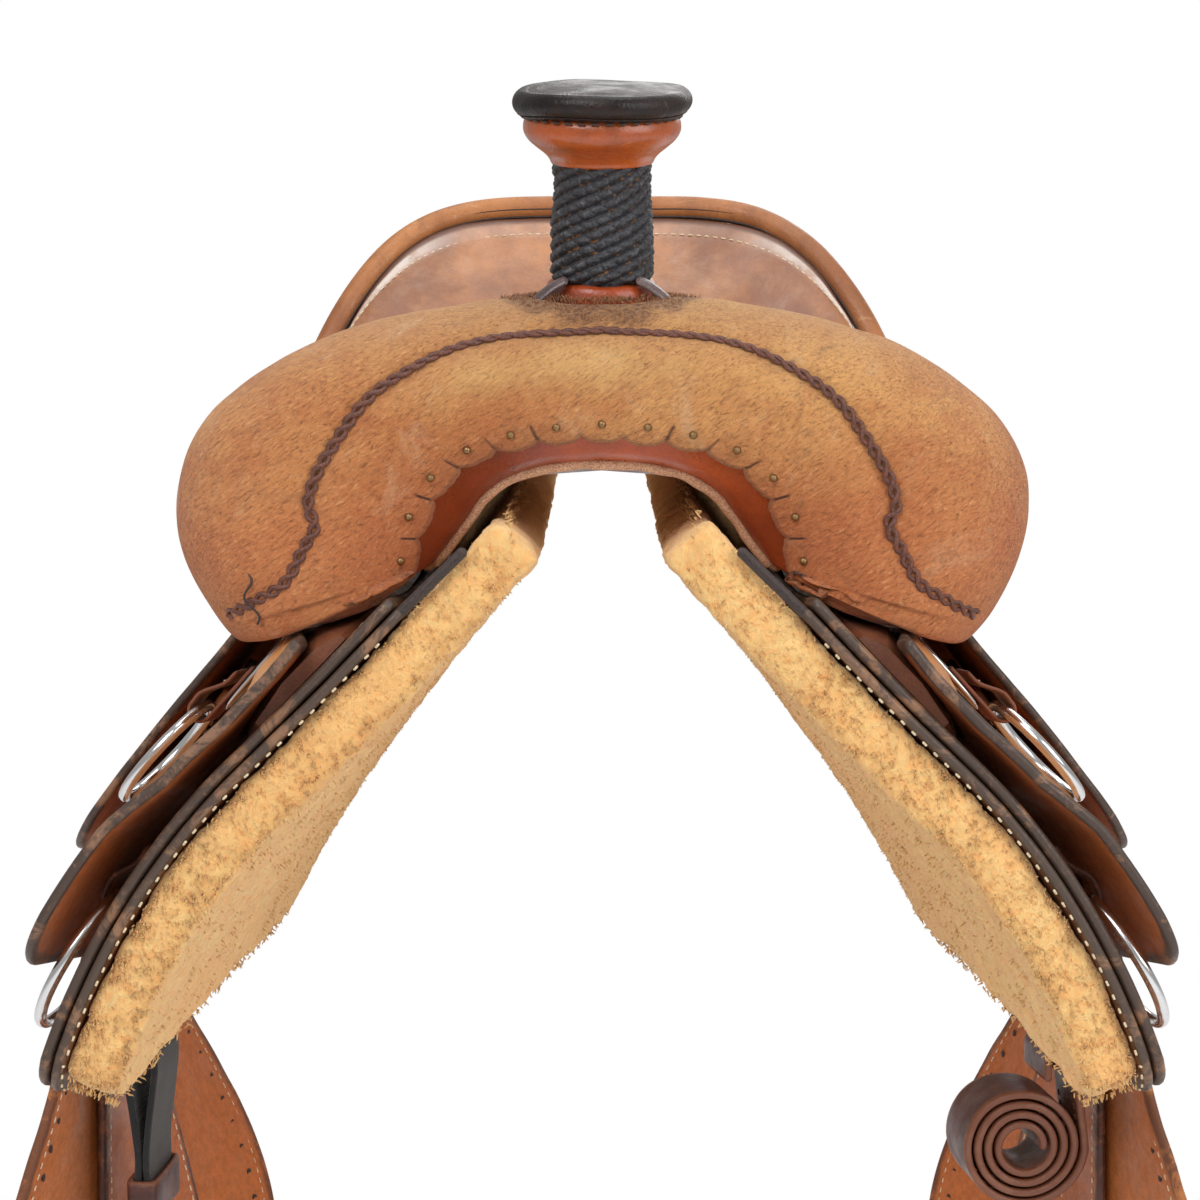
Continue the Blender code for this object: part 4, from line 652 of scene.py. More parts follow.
def suede(name, light, dark, shade):
    # rough side out: short raised fibres in all directions, rubbed pale and soiled dark patches, darker and
    # more orange towards the bottom, and a painted highlight towards the top and on the roll under the
    # lacing
    f = Finish(name, roughness=0.95, Sheen_Weight=0.2, Sheen_Roughness=0.5, Specular_IOR_Level=0.2)
    broad = f.fade(f.noise(9.0, 5, 0.6, 0.6), 0.36, 0.64)
    colour = f.mix(broad, dark, light)
    middle = f.fade(f.noise(38.0, 6, 0.7, 0.8), 0.42, 0.66)
    colour = f.mix(f.math("MULTIPLY", middle, 0.5), colour, shade)
    height = f.node("SeparateXYZ", {0: f.objectPlace}).outputs["Z"]
    # darker and more orange towards the bottom; paler towards the top as a painted highlight
    colour = f.mix(f.fade(height, 0.078, 0.0, (0.0, 0.62)), colour, rgb(200, 110, 66))
    colour = f.mix(f.fade(height, 0.062, 0.112, (0.0, 0.6)), colour, rgb(212, 166, 106))
    lying = f.place((0.30, 0.8, 1.0), source=f.place(turn=(0.0, 0.62, 0.15)))
    crossing = f.place((0.42, 0.9, 1.0), source=f.place(turn=(0.2, 0.25, -0.3)))
    fibre = f.noise(1500.0, 4, 0.8, 0.5, at=lying)
    nap = f.noise(880.0, 5, 0.78, 0.5, at=lying)
    tufts = f.noise(330.0, 5, 0.75, 0.6, at=crossing)
    colour = f.mix(f.fade(tufts, 0.46, 0.30, (0.0, 0.45)), colour, rgb(150, 88, 52))
    colour = f.mix(f.fade(nap, 0.50, 0.33, (0.0, 0.72)), colour, rgb(120, 68, 40))
    colour = f.mix(f.fade(nap, 0.53, 0.70, (0.0, 0.50)), colour, rgb(244, 194, 136))
    colour = f.mix(f.fade(fibre, 0.42, 0.31, (0.0, 0.6)), colour, rgb(84, 50, 34))
    pale = f.fade(f.noise(16.0, 6, 0.72, 1.8), 0.54, 0.70)
    colour = f.mix(f.math("MULTIPLY", pale, 0.30), colour, rgb(236, 200, 160))
    soil = f.fade(f.noise(24.0, 6, 0.75, 2.0), 0.56, 0.72)
    colour = f.mix(f.math("MULTIPLY", soil, 0.42), colour, rgb(124, 92, 66))
    ring = f.fade(f.value("nearHorn"), 0.0, 1.0)
    colour = f.mix(
        f.math("MULTIPLY", ring, f.fade(nap, 0.34, 0.60, (0.95, 0.45))), colour, rgb(104, 64, 42)
    )
    colour = f.mix(
        # painted highlight: a pale patch on the raised roll under the lacing at the top centre
        f.math("MULTIPLY", f.value("rubbed"), f.fade(nap, 0.30, 0.55, (0.25, 0.80))), colour,
        rgb(236, 190, 124)
    )
    rim = f.fade(f.value("edge"), 0.0020, 0.0003)
    colour = f.mix(f.math("MULTIPLY", rim, 0.5), colour, rgb(132, 82, 56))
    colour = f.mix(f.value("slit"), colour, rgb(74, 40, 26))
    f.bump(tufts, 0.0016, 0.45)
    f.bump(nap, 0.0012, 0.9)
    f.bump(fibre, 0.0008, 0.8)
    return f.done(colour)


def woolFinish(name, light, dark, deep):
    # matted sheepskin: curled locks, pale tips and painted shade in the hollows between them
    f = Finish(name, roughness=1.0, Sheen_Weight=0.35, Sheen_Roughness=0.6, Specular_IOR_Level=0.05)
    lock = f.noise(120.0, 5, 0.7, 2.4)
    fine = f.noise(640.0, 4, 0.75, 1.8)
    colour = f.mix(f.fade(lock, 0.34, 0.62), dark, light)
    colour = f.mix(f.fade(f.noise(13.0, 4, 0.6), 0.44, 0.70, (0.0, 0.5)), colour, dark)
    colour = f.mix(f.fade(fine, 0.44, 0.30, (0.0, 0.40)), colour, deep)
    # painted shade: darker where the hollow value is high, in the low places between the locks; the tufts
    # carry random values
    colour = f.mix(f.fade(f.value("hollow"), 0.55, 1.0, (0.0, 0.25)), colour, deep)
    colour = f.mix(f.fade(fine, 0.60, 0.76, (0.0, 0.6)), colour, rgb(255, 226, 168))
    f.bump(lock, 0.0026, 0.6)
    f.bump(fine, 0.0012, 0.7)
    return f.done(colour)


def polishedMetal(name, colour=(0.72, 0.72, 0.73, 1), roughness=0.14, tarnish=(0.42, 0.40, 0.38, 1)):
    # plated steel: faint rubbing marks, small dull spots
    f = Finish(name, roughness=roughness, metallic=1.0)
    spots = f.fade(f.noise(160.0, 5, 0.7), 0.60, 0.74)
    tone = f.mix(f.math("MULTIPLY", spots, 0.5), colour, tarnish)
    rub = f.noise(500.0, 3, 0.6, at=f.place((1, 1, 0.15)))
    f.bump(rub, 0.00006, 0.35)
    return f.done(tone, f.fade(f.noise(90.0, 4, 0.6), 0.3, 0.75, (roughness * 0.7, roughness * 2.1)))


def seatLeather(name):
    # smooth seat leather: brown mottling, grey rubbed places, a pale worn band under the rim
    f = Finish(name, roughness=0.34, Coat_Weight=0.2, Coat_Roughness=0.25)
    colour = f.mix(f.fade(f.noise(12.0, 6, 0.68, 0.15), 0.36, 0.66), rgb(134, 84, 54), rgb(184, 124, 78))
    colour = f.mix(f.fade(f.noise(38.0, 6, 0.72, 0.2), 0.46, 0.70, (0.0, 0.45)), colour, rgb(116, 74, 54))
    grey = f.math("MULTIPLY", f.fade(f.noise(21.0, 6, 0.74, 0.3), 0.50, 0.68), 0.30)
    colour = f.mix(grey, colour, rgb(178, 146, 122))
    worn = f.math(
        "MULTIPLY", f.value("band"), f.fade(f.noise(42.0, 5, 0.7, 0.3), 0.30, 0.56, (0.35, 0.95))
    )
    colour = f.mix(worn, colour, rgb(222, 212, 204))
    pores = f.cells(820.0)
    colour = f.mix(f.fade(pores, 0.08, 0.36, (0.25, 0.0)), colour, rgb(70, 44, 32))
    colour = f.mix(f.fade(f.value("edge"), 0.005, 0.0008), colour, rgb(98, 62, 44))
    f.bump(f.noise(160.0, 5, 0.65, 1.0), 0.0006, 0.4)
    f.bump(pores, 0.0002, 0.4)
    return f.done(colour, f.fade(f.noise(40.0, 5, 0.65), 0.3, 0.7, (0.26, 0.55)))


def woodFinish(name, light, dark):
    # long soft grain along Y under finer darker streaks
    f = Finish(name, roughness=0.6)
    grain = f.noise(26.0, 5, 0.6, 1.0, at=f.place((1.0, 0.10, 1.0)))
    colour = f.mix(f.fade(grain, 0.35, 0.65), dark, light)
    fine = f.noise(260.0, 3, 0.6, at=f.place((1.0, 0.05, 1.0)))
    colour = f.mix(f.fade(fine, 0.5, 0.7, (0.0, 0.4)), colour, dark)
    f.bump(fine, 0.0004, 0.4)
    return f.done(colour)


def threadFinish(name, light, dark, roughness=0.8):
    # two tones of fine twisted fibres
    f = Finish(name, roughness=roughness, Sheen_Weight=0.1)
    twist = f.noise(1600.0, 2, 0.6)
    colour = f.mix(f.fade(twist, 0.35, 0.65), dark, light)
    f.bump(twist, 0.0003, 0.6)
    return f.done(colour)


def webbingFinish(name, light, dark):
    # woven web: ribs along its length crossed by fine weft, from the piece's own flat map
    f = Finish(name, roughness=0.85, Sheen_Weight=0.2)
    ribs = f.node(
        "TexWave", {"Vector": f.flat(), "Scale": 190.0, "Distortion": 0.5, "Detail": 1.0},
        bands_direction="Y"
    ).outputs["Fac"]
    weft = f.node(
        "TexWave", {"Vector": f.flat(), "Scale": 260.0, "Distortion": 0.5, "Detail": 1.0},
        bands_direction="X"
    ).outputs["Fac"]
    weave = f.math("MULTIPLY", ribs, weft)
    colour = f.mix(f.fade(weave, 0.1, 0.8), dark, light)
    colour = f.mix(f.fade(f.noise(50.0, 4, 0.7), 0.55, 0.75, (0.0, 0.4)), colour, rgb(70, 60, 52))
    f.bump(weave, 0.0006, 0.7)
    return f.done(colour)


finishes = {
    "suede": suede("roughSideOutLeather", rgb(226, 164, 100), rgb(200, 128, 74), rgb(186, 106, 62)),
    "lining": grainLeather(
        "gulletLeather", rgb(186, 82, 34), rgb(132, 48, 20), gloss=0.33, coat=0.25, worn=rgb(212, 126, 74)
    ),
    "lip": threadFinish("rawLiningEdge", rgb(226, 184, 150), rgb(176, 122, 92), 0.9),
    "cap": grainLeather(
        "blackHornLeather", rgb(40, 32, 30), rgb(16, 13, 13), gloss=0.34, worn=rgb(120, 90, 66),
        stain=rgb(66, 32, 20), coat=0.0, shine=0.3
    ),
    "bell": grainLeather(
        "hornNeckLeather", rgb(178, 82, 28), rgb(124, 50, 20), gloss=0.24, coat=0.5,
        stain=rgb(58, 32, 24), worn=rgb(204, 120, 62), grain=0.5
    ),
    "seat": seatLeather("seatLeather"),
    "cantleBack": grainLeather(
        "cantleBackLeather", rgb(190, 128, 76), rgb(160, 98, 54), edge=rgb(84, 52, 36), edgeReach=0.006,
        gloss=0.5, worn=rgb(214, 168, 120)
    ),
    "binding": grainLeather(
        "bindingLeather", rgb(190, 126, 72), rgb(146, 88, 48), gloss=0.46, coat=0.05,
        worn=rgb(222, 190, 150)
    ),
    "skirt": grainLeather(
        "skirtLeather", rgb(172, 106, 58), rgb(132, 76, 42), edge=rgb(72, 56, 47), edgeReach=0.0075,
        gloss=0.42, worn=rgb(168, 120, 84), inside=rgb(160, 104, 64)
    ),
    "underskirt": grainLeather(
        "underskirtLeather", rgb(136, 92, 62), rgb(98, 68, 50), edge=rgb(76, 60, 50), edgeReach=0.010,
        gloss=0.42, worn=rgb(170, 124, 90), inside=rgb(140, 92, 60)
    ),
    "jockey": grainLeather(
        "jockeyLeather", rgb(222, 156, 96), rgb(190, 122, 70), edge=rgb(70, 54, 46), edgeReach=0.006,
        gloss=0.42, worn=rgb(170, 124, 92), inside=rgb(172, 94, 48)
    ),
    "strap": grainLeather(
        "strapLeather", rgb(172, 96, 54), rgb(128, 66, 38), edge=rgb(84, 46, 32), edgeReach=0.003,
        gloss=0.45, inside=rgb(184, 104, 56)
    ),
    "rustStrap": grainLeather(
        "rustStrapLeather", rgb(146, 62, 40), rgb(104, 40, 28), edge=rgb(120, 70, 46), edgeReach=0.002,
        gloss=0.55, inside=rgb(168, 112, 72)
    ),
    "fender": grainLeather(
        "fenderLeather", rgb(216, 136, 72), rgb(176, 98, 46), edge=rgb(112, 66, 42), edgeReach=0.005,
        gloss=0.5, inside=rgb(196, 112, 56), shine=0.4
    ),
    "latigo": grainLeather(
        "latigoLeather", rgb(92, 48, 40), rgb(58, 32, 28), edge=rgb(112, 66, 46), edgeReach=0.0024,
        gloss=0.42, worn=rgb(130, 84, 62), inside=rgb(96, 56, 42)
    ),
    "lace": threadFinish("darkLace", rgb(122, 68, 48), rgb(58, 32, 26), 0.5),
    "welt": threadFinish("darkWelt", rgb(64, 46, 42), rgb(34, 26, 24), 0.5),
    "thread": threadFinish("paleThread", rgb(236, 220, 190), rgb(196, 170, 132)),
    "hole": threadFinish("punchedHole", rgb(58, 38, 28), rgb(26, 18, 14)),
    "wool": woolFinish("sheepskin", rgb(255, 212, 138), rgb(254, 190, 114), rgb(226, 146, 82)),
    "steel": polishedMetal("platedSteel"),
    "brass": polishedMetal("antiqueBrass", (0.30, 0.19, 0.09, 1), 0.36, (0.09, 0.06, 0.04, 1)),
    "cast": polishedMetal("castHorn", (0.35, 0.35, 0.36, 1), 0.45, (0.15, 0.14, 0.14, 1)),
    "wood": woodFinish("treeWood", rgb(176, 136, 92), rgb(132, 94, 58)),
    "stirrupWood": woodFinish("stirrupWood", rgb(170, 118, 70), rgb(112, 70, 38)),
    "strainer": grainLeather("groundSeatLeather", rgb(170, 120, 78), rgb(132, 90, 56), gloss=0.6),
    "web": webbingFinish("blackWebbing", rgb(48, 48, 52), rgb(16, 16, 18)),
    "tunnel": grainLeather("tunnelLeather", rgb(132, 76, 48), rgb(72, 42, 30), gloss=0.4, coat=0.1),
}
print("materials ready")

# The side of the saddle

sideForm = {
    "channel": 0.030, "dip": 0.012, "depth": 0.29, "knee": 0.135,
    "front": -0.262, "rear": 0.405, "middle": 0.05,
    "slopes": [
        (-0.262, 48.0, 43.5, 76.0), (-0.200, 50.0, 47.5, 73.0), (-0.140, 51.5, 51.0, 70.0),
        (0.000, 53.5, 55.0, 70.0),
        (0.140, 50.0, 52.0, 69.0), (0.280, 42.0, 44.0, 62.0), (0.405, 35.0, 36.0, 56.0),
    ],
    "skirtDepths": [
        (-0.262, 0.288), (-0.200, 0.262), (-0.130, 0.240), (-0.030, 0.230), (0.100, 0.230),
        (0.250, 0.238), (0.405, 0.245),
    ],
    "fleece": 0.0235, "underskirt": 0.0042, "skirt": 0.0048, "layerGap": 0.0009, "bedGap": 0.0012,
    "barInner": 0.052, "barOuter": 0.145, "barFront": -0.250, "barRear": 0.365,
}
underskirtLift = sideForm["fleece"] + sideForm["layerGap"]
skirtLift = underskirtLift + sideForm["underskirt"] + sideForm["layerGap"]
skirtTop = skirtLift + sideForm["skirt"]
barLift = skirtTop + sideForm["bedGap"]
strapBed = barLift + 0.028 + sideForm["layerGap"]
innerStrapLift = strapBed + 2 * sideForm["bedGap"]
fenderLift = innerStrapLift + 0.0045 + sideForm["layerGap"]
slotRoof = fenderLift + 0.0042 + 0.003


def sideBase(s, y):
    # s runs down from the channel; the slope changes evenly to the knee and evenly below it
    s, y = np.broadcast_arrays(np.asarray(s, float), np.asarray(y, float))
    top, knee, low = [np.radians(part) for part in np.moveaxis(smoothLine(sideForm["slopes"], y), -1, 0)]
    x = np.full(s.shape, sideForm["channel"])
    reach = (y - sideForm["middle"]) / (sideForm["middle"] - sideForm["front"])
    z = -sideForm["dip"] * (1.0 - reach * reach)
    kneeS = sideForm["knee"]
    for first, last, length, done in (
        (top, knee, kneeS, np.minimum(s, kneeS)),
        (knee, low, sideForm["depth"] - kneeS, np.maximum(s - kneeS, 0.0)),
    ):
        bend = (last - first) / length
        bend = np.where(np.abs(bend) < 1e-5, 1e-5, bend)
        here = first + bend * done
        x = x + (np.sin(here) - np.sin(first)) / bend
        z = z - (np.cos(first) - np.cos(here)) / bend
    return np.stack([x, y, z], -1)


def sideNormal(s, y):
    # cross product of the small steps down and along the side, turned outwards
    step = 0.0005
    normal = unit(
        np.cross(
            sideBase(s, y + step) - sideBase(s, y - step), sideBase(s + step, y) - sideBase(s - step, y)
        )
    )
    return np.where(normal[..., :1] > 0, normal, -normal)


def sidePoint(s, y, lift, side=1):
    # base + lift along the normal, mirrored for the off side
    s, y = np.broadcast_arrays(np.asarray(s, float), np.asarray(y, float))
    point = sideBase(s, y) + sideNormal(s, y) * np.broadcast_to(lift, s.shape)[..., None]
    return point * np.array([side, 1, 1])


def flatFit(s, y, side):
    # where a flat piece lies on the side: centre, down, back and out
    down = unit(sideBase(s + 0.001, y) - sideBase(s - 0.001, y))
    out = sideNormal(s, y)
    back = np.cross(out, down)
    back = back if back[1] > 0 else -back
    mirror = np.array([side, 1, 1])
    return sideBase(s, y) * mirror, down * mirror, back * mirror, out * mirror


def roundedFoot(y, front, rear, frontRadius, rearRadius):
    # how far the low edge lifts so that its corners are quarter circles
    lift = np.zeros_like(y)
    for distance, radius in ((y - front, frontRadius), (rear - y, rearRadius)):
        inside = np.clip(radius - distance, 0, radius)
        lift = lift + np.where(inside > 0, radius - np.sqrt(np.maximum(radius**2 - inside**2, 0)), 0)
    return lift


def skirtFoot(y):
    # depth of the skirt's lower edge along Y: a smooth line through points, less its round corners
    y = np.clip(y, sideForm["front"] + 0.0001, sideForm["rear"] - 0.0001)
    return smoothLine(sideForm["skirtDepths"], y)[..., 0] - roundedFoot(
        y, sideForm["front"], sideForm["rear"], 0.026, 0.110
    )


def barWidth(y):
    # full width in the middle, easing to 0.55 of it at both ends
    front = smoothStep((y - sideForm["barFront"]) / 0.05)
    rear = smoothStep((sideForm["barRear"] - y) / 0.06)
    return (sideForm["barOuter"] - sideForm["barInner"]) * (0.55 + 0.45 * np.minimum(front, rear))


def barThickness(y):
    # straight lines between the bar's known thicknesses along Y
    return np.interp(
        y, [-0.250, -0.225, -0.145, -0.110, 0.0, 0.184, 0.365],
        [0.006, 0.0134, 0.0134, 0.028, 0.028, 0.022, 0.006]
    )


def barTop(s, y):
    # lift of the bar's crowned top, or of the skirt beyond it
    width = barWidth(y)
    middle = sideForm["barInner"] + 0.42 * (sideForm["barOuter"] - sideForm["barInner"])
    inner = middle - 0.42 * width
    share = np.interp(
        (s - inner) / width, [-0.02, 0.0, 0.22, 0.62, 0.86, 1.0, 1.12],
        [0.0, 0.22, 1.0, 1.0, 0.62, 0.20, 0.0]
    )
    lift = skirtTop + (barLift - skirtTop) * np.minimum(share * 5, 1) + barThickness(y) * share
    return np.where((y < sideForm["barFront"]) | (y > sideForm["barRear"]), skirtTop, lift)

# Leather and wool on the sides

layerForm = {
    "roughness": 0.0003, "fleeceSize": (300, 130), "welt": (0.0022, 0.0020),
    "skirtStitchInsets": (0.0085, 0.0120), "jockeyStitchInset": 0.007,
    "dotInsets": {"seat_jockey": 0.0105, "rear_jockey": 0.0145}, "dotPitch": 0.0115, "dotRadius": 0.0019,
    "skirtPitch": 0.0046, "woolSeam": (-0.0004, -0.0007),
    "woolStitch": {"pitch": 0.0062, "length": 0.0026, "radius": 0.00055},
    "wool": {
        "lock": 0.011, "lockHeight": 0.0016, "curl": 0.0036, "curlHeight": 0.0008, "tufts": 9800,
        "tuft": {
            "length": 0.0015, "radius": 0.00045, "least": 0.5, "bend": 1.1, "sink": 0.0012, "thin": 0.75
        }
    },
}


def sideGrid(spec, side, rows, columns):
    # points and lifts of a layer between its top and foot edges, front to rear
    fraction = 0.5 - 0.5 * np.cos(np.linspace(0, math.pi, rows))
    even = np.linspace(0, 1, rows)
    y = spec["front"] + (spec["rear"] - spec["front"]) * (0.45 * even + 0.55 * fraction)
    top, foot = spec["top"](y), spec["foot"](y)
    part = np.linspace(0, 1, columns)
    s = top[:, None] + (foot - top)[:, None] * part
    yLine = np.broadcast_to(y[:, None], s.shape)
    lift = spec["lift"](s, yLine)
    return sidePoint(s, yLine, lift, side), s, yLine


def seatJockeyTop(y):
    # upper edge: a base line with two smooth rises towards the rear
    return 0.083 + 0.0035 + 0.010 * smoothStep((y - 0.03) / 0.08) + 0.03 * smoothStep((y - 0.09) / 0.06)


def frontJockeyLift(s, y):
    # lift from straight lines down the side, settling to the bar's own lift towards the rear
    front = np.interp(
        s, [0.07, 0.10, 0.13, 0.16, 0.185, 0.24], [0.0460, 0.0430, 0.0420, 0.0434, 0.0500, 0.0530]
    )
    above = barTop(s, y) + sideForm["bedGap"]
    settled = np.maximum(0.0455, above)
    return np.maximum(
        front + (settled - front) * smoothStep((y - sideForm["front"]) / 0.13), above + 0.0008
    )


def seatJockeyLift(s, y):
    # lift of the bar's top, raised over the leathers' slot
    roof = slotRoof + 0.68 * (s - 0.100) ** 2
    low = barTop(s, y) + sideForm["bedGap"] + 0.0026
    return low + (roof - low) * hump(y, -0.060, 0.088, 0.055)


layers = {
    "underskirt": {
        "front": -0.2618, "rear": 0.4048, "top": lambda y: np.full_like(y, 0.046), "foot": skirtFoot,
        "lift": lambda s, y: np.full_like(s, underskirtLift), "thickness": 0.0042, "size": (130, 54),
    },
    "skirt": {
        "front": -0.2608, "rear": 0.4038, "top": lambda y: np.full_like(y, 0.046),
        "foot": lambda y: skirtFoot(y) - 0.001,
        "lift": lambda s, y: np.full_like(s, skirtLift), "thickness": 0.0048, "size": (130, 54),
    },
    "front_jockey": {
        "front": -0.2678, "rear": -0.1372, "top": lambda y: np.full_like(y, 0.084),
        "foot": lambda y: 0.240 - roundedFoot(y, -0.2680, -0.1370, 0.022, 0.035),
        "lift": frontJockeyLift, "thickness": 0.0045, "size": (90, 90),
    },
    "seat_jockey": {
        "front": -0.1320, "rear": 0.150, "top": seatJockeyTop,
        "foot": lambda y: 0.222 - roundedFoot(y, -0.1322, 0.1502, 0.030, 0.055),
        "lift": seatJockeyLift, "thickness": 0.004, "size": (120, 66),
    },
    "rear_jockey": {
        "front": 0.156, "rear": 0.378,
        "top": lambda y: smoothLine(
            [
                (0.156, 0.152), (0.190, 0.150), (0.225, 0.138), (0.250, 0.118), (0.275, 0.085),
                (0.300, 0.060), (0.378, 0.052)
            ],
            y
        )[..., 0],
        "foot": lambda y: 0.192 - roundedFoot(y, 0.1558, 0.3782, 0.025, 0.075),
        "lift": lambda s, y: barTop(s, y) + sideForm["bedGap"] + 0.0032, "thickness": 0.004,
        "size": (110, 70),
    },
}


def borderLine(spec, side, inset, lift):
    # a line inset from the front, foot and rear edges of a layer, on its outer face, with the normals there
    front, rear = spec["front"] + inset, spec["rear"] - inset
    y = np.concatenate(
        [
            np.full(60, front),
            front + (rear - front) * (0.5 - 0.5 * np.cos(np.linspace(0, math.pi, 240))), np.full(60, rear)
        ]
    )
    low = spec["foot"](np.clip(y, spec["front"] + 0.0005, spec["rear"] - 0.0005)) - inset
    top = spec["top"](y) + 0.012
    s = low.copy()
    s[:60] = top[0] + (low[60] - top[0]) * np.linspace(0, 1, 60)
    s[-60:] = low[-61] + (top[-1] - low[-61]) * np.linspace(0, 1, 60)
    keep = s > top - 0.001
    s, y = s[keep], y[keep]
    points = sidePoint(s, y, spec["lift"](s, y) + lift, side)
    # the corner of an inset round end: points that bunch up are dropped
    step = np.concatenate([[1], np.linalg.norm(np.diff(points, axis=0), axis=1)])
    points, s, y = points[step > 1e-5], s[step > 1e-5], y[step > 1e-5]
    return points, sideNormal(s, y) * np.array([side, 1, 1])


def woolShape(form):
    # matted locks: two sizes of smooth lumps raised along the surface, written out as a hollow value too,
    # which the finish turns into painted shade in the low places
    def move(points, directions, values):
        locks = lumps(points, form["lock"], 11) + 0.6 * lumps(points, form["lock"] * 0.52, 12)
        curls = lumps(points + 0.002 * locks[:, None], form["curl"], 13)
        ridge = 1 - 2 * np.abs(curls)
        height = form["lockHeight"] * (locks * 0.6 - 0.35) + form["curlHeight"] * ridge
        values["hollow"] = 0.5 - 0.35 * locks - 0.3 * ridge
        hidden = (values["face"] > 0.5) & (values["edge"] > 0.004) & (values["reach"] > 0.036)
        return points + directions * np.where(hidden, -0.0004, height)[:, None]
    return move


def woolTufts(name, side, body, form, seed):
    # short curved fibres on the horse's side and the cut edges: three-sided tapering spikes with one bend
    random = np.random.default_rng(seed)
    count = form["tufts"]
    y = sideForm["front"] + (sideForm["rear"] - sideForm["front"]) * random.random(count)
    where = random.random(count)
    front = where < 0.16
    y[front] = sideForm["front"] + 0.003
    foot = skirtFoot(y)
    s = foot * random.random(count) ** 0.8
    low = (where > 0.16) & (where < 0.34)
    s[low] = foot[low] - 0.001
    lift = np.zeros(count) + 0.0006
    lift[front | low] = 0.0225 * random.random((front | low).sum())
    inner = (where > 0.34) & (where < 0.42)
    s[inner] = -0.016 * lift[inner]
    lift[inner] = 0.023 * random.random(inner.sum())
    s[inner] = -0.013 * lift[inner] / 0.0235
    upper = (where > 0.42) & (where < 0.50)
    s[upper] = 0.044 * random.random(upper.sum())
    lift[upper] = sideForm["fleece"] - 0.0008
    root = sidePoint(s, y, lift, side)
    out = sideNormal(s, y) * np.array([side, 1, 1]) * np.where(upper, 1.0, -1.0)[:, None]
    out[front] = (0, -1, 0)
    downwards = unit(sideBase(s + 0.001, y) - sideBase(s - 0.001, y)) * np.array([side, 1, 1])
    out[low] = downwards[low]
    out[inner] = -downwards[inner]
    lean = unit(out + 0.75 * (random.random((count, 3)) - 0.5) + np.array([0, 0, -0.25]))
    return fibreMesh(name, root, lean, form["tuft"], random, body, finishes["wool"])


def fibreMesh(name, root, lean, form, random, body, material):
    # tapering three-sided fibres with one bend: two rings of three points and a tip
    count = len(root)
    bend = unit(lean + form["bend"] * (random.random((count, 3)) - 0.5))
    size = form["length"] * (form["least"] + random.random(count))[:, None]
    middle = root + lean * size * 0.5
    tip = middle + bend * size * 0.5
    across = unit(np.cross(lean, random.random((count, 3)) + 0.1))
    other = np.cross(lean, across)

    def ring(centre, wide):
        return [
            centre + wide * (across * math.cos(a) + other * math.sin(a)) for a in (0, 2.0944, 4.18879)
        ]

    radius = form["radius"]
    points = np.stack(
        ring(root - lean * form["sink"], radius) + ring(middle, radius * form["thin"]) + [tip], 1
    )
    faces = [
        [0, 2, 1], [0, 1, 4], [0, 4, 3], [1, 2, 5], [1, 5, 4], [2, 0, 3], [2, 3, 5], [3, 4, 6], [4, 5, 6],
        [5, 3, 6]
    ]
    tris = (np.array(faces)[None] + (np.arange(count) * 7)[:, None, None]).reshape(-1, 3)
    hollow = np.tile(random.random(count)[:, None] * 0.7, (1, 7)).ravel()
    return makePiece(
        name, points.reshape(-1, 3), None, body, material, tris=tris, values={"hollow": hollow}
    )


def borderLines(pairs, side):
    # the border line and its normals for each layer and inset, as two lists
    found = [borderLine(layers[key], side, inset, layers[key]["thickness"]) for key, inset in pairs]
    return [line for line, _ in found], [up for _, up in found]


def buildSideStitches(side, word, body):
    # two rows along the skirt's edge, one where the wool is sewn on, one along the front and rear
    # jockeys, and punched dots along the seat and rear jockeys
    rows = borderLines([("skirt", inset) for inset in layerForm["skirtStitchInsets"]], side)
    stitchRow(f"{word}SkirtStitches", *rows, body, finishes["thread"], pitch=layerForm["skirtPitch"])
    line, up = borderLine(layers["underskirt"], side, *layerForm["woolSeam"])
    stitchRow(f"{word}WoolStitches", line, up, body, finishes["thread"], **layerForm["woolStitch"])
    rows = borderLines(
        [(key, layerForm["jockeyStitchInset"]) for key in ("front_jockey", "rear_jockey")], side
    )
    stitchRow(f"{word}JockeyStitches", *rows, body, finishes["thread"], pitch=layerForm["skirtPitch"])
    rows = borderLines(layerForm["dotInsets"].items(), side)
    punchedRow(
        f"{word}JockeyDots", *rows, body, finishes["hole"], layerForm["dotPitch"], layerForm["dotRadius"]
    )


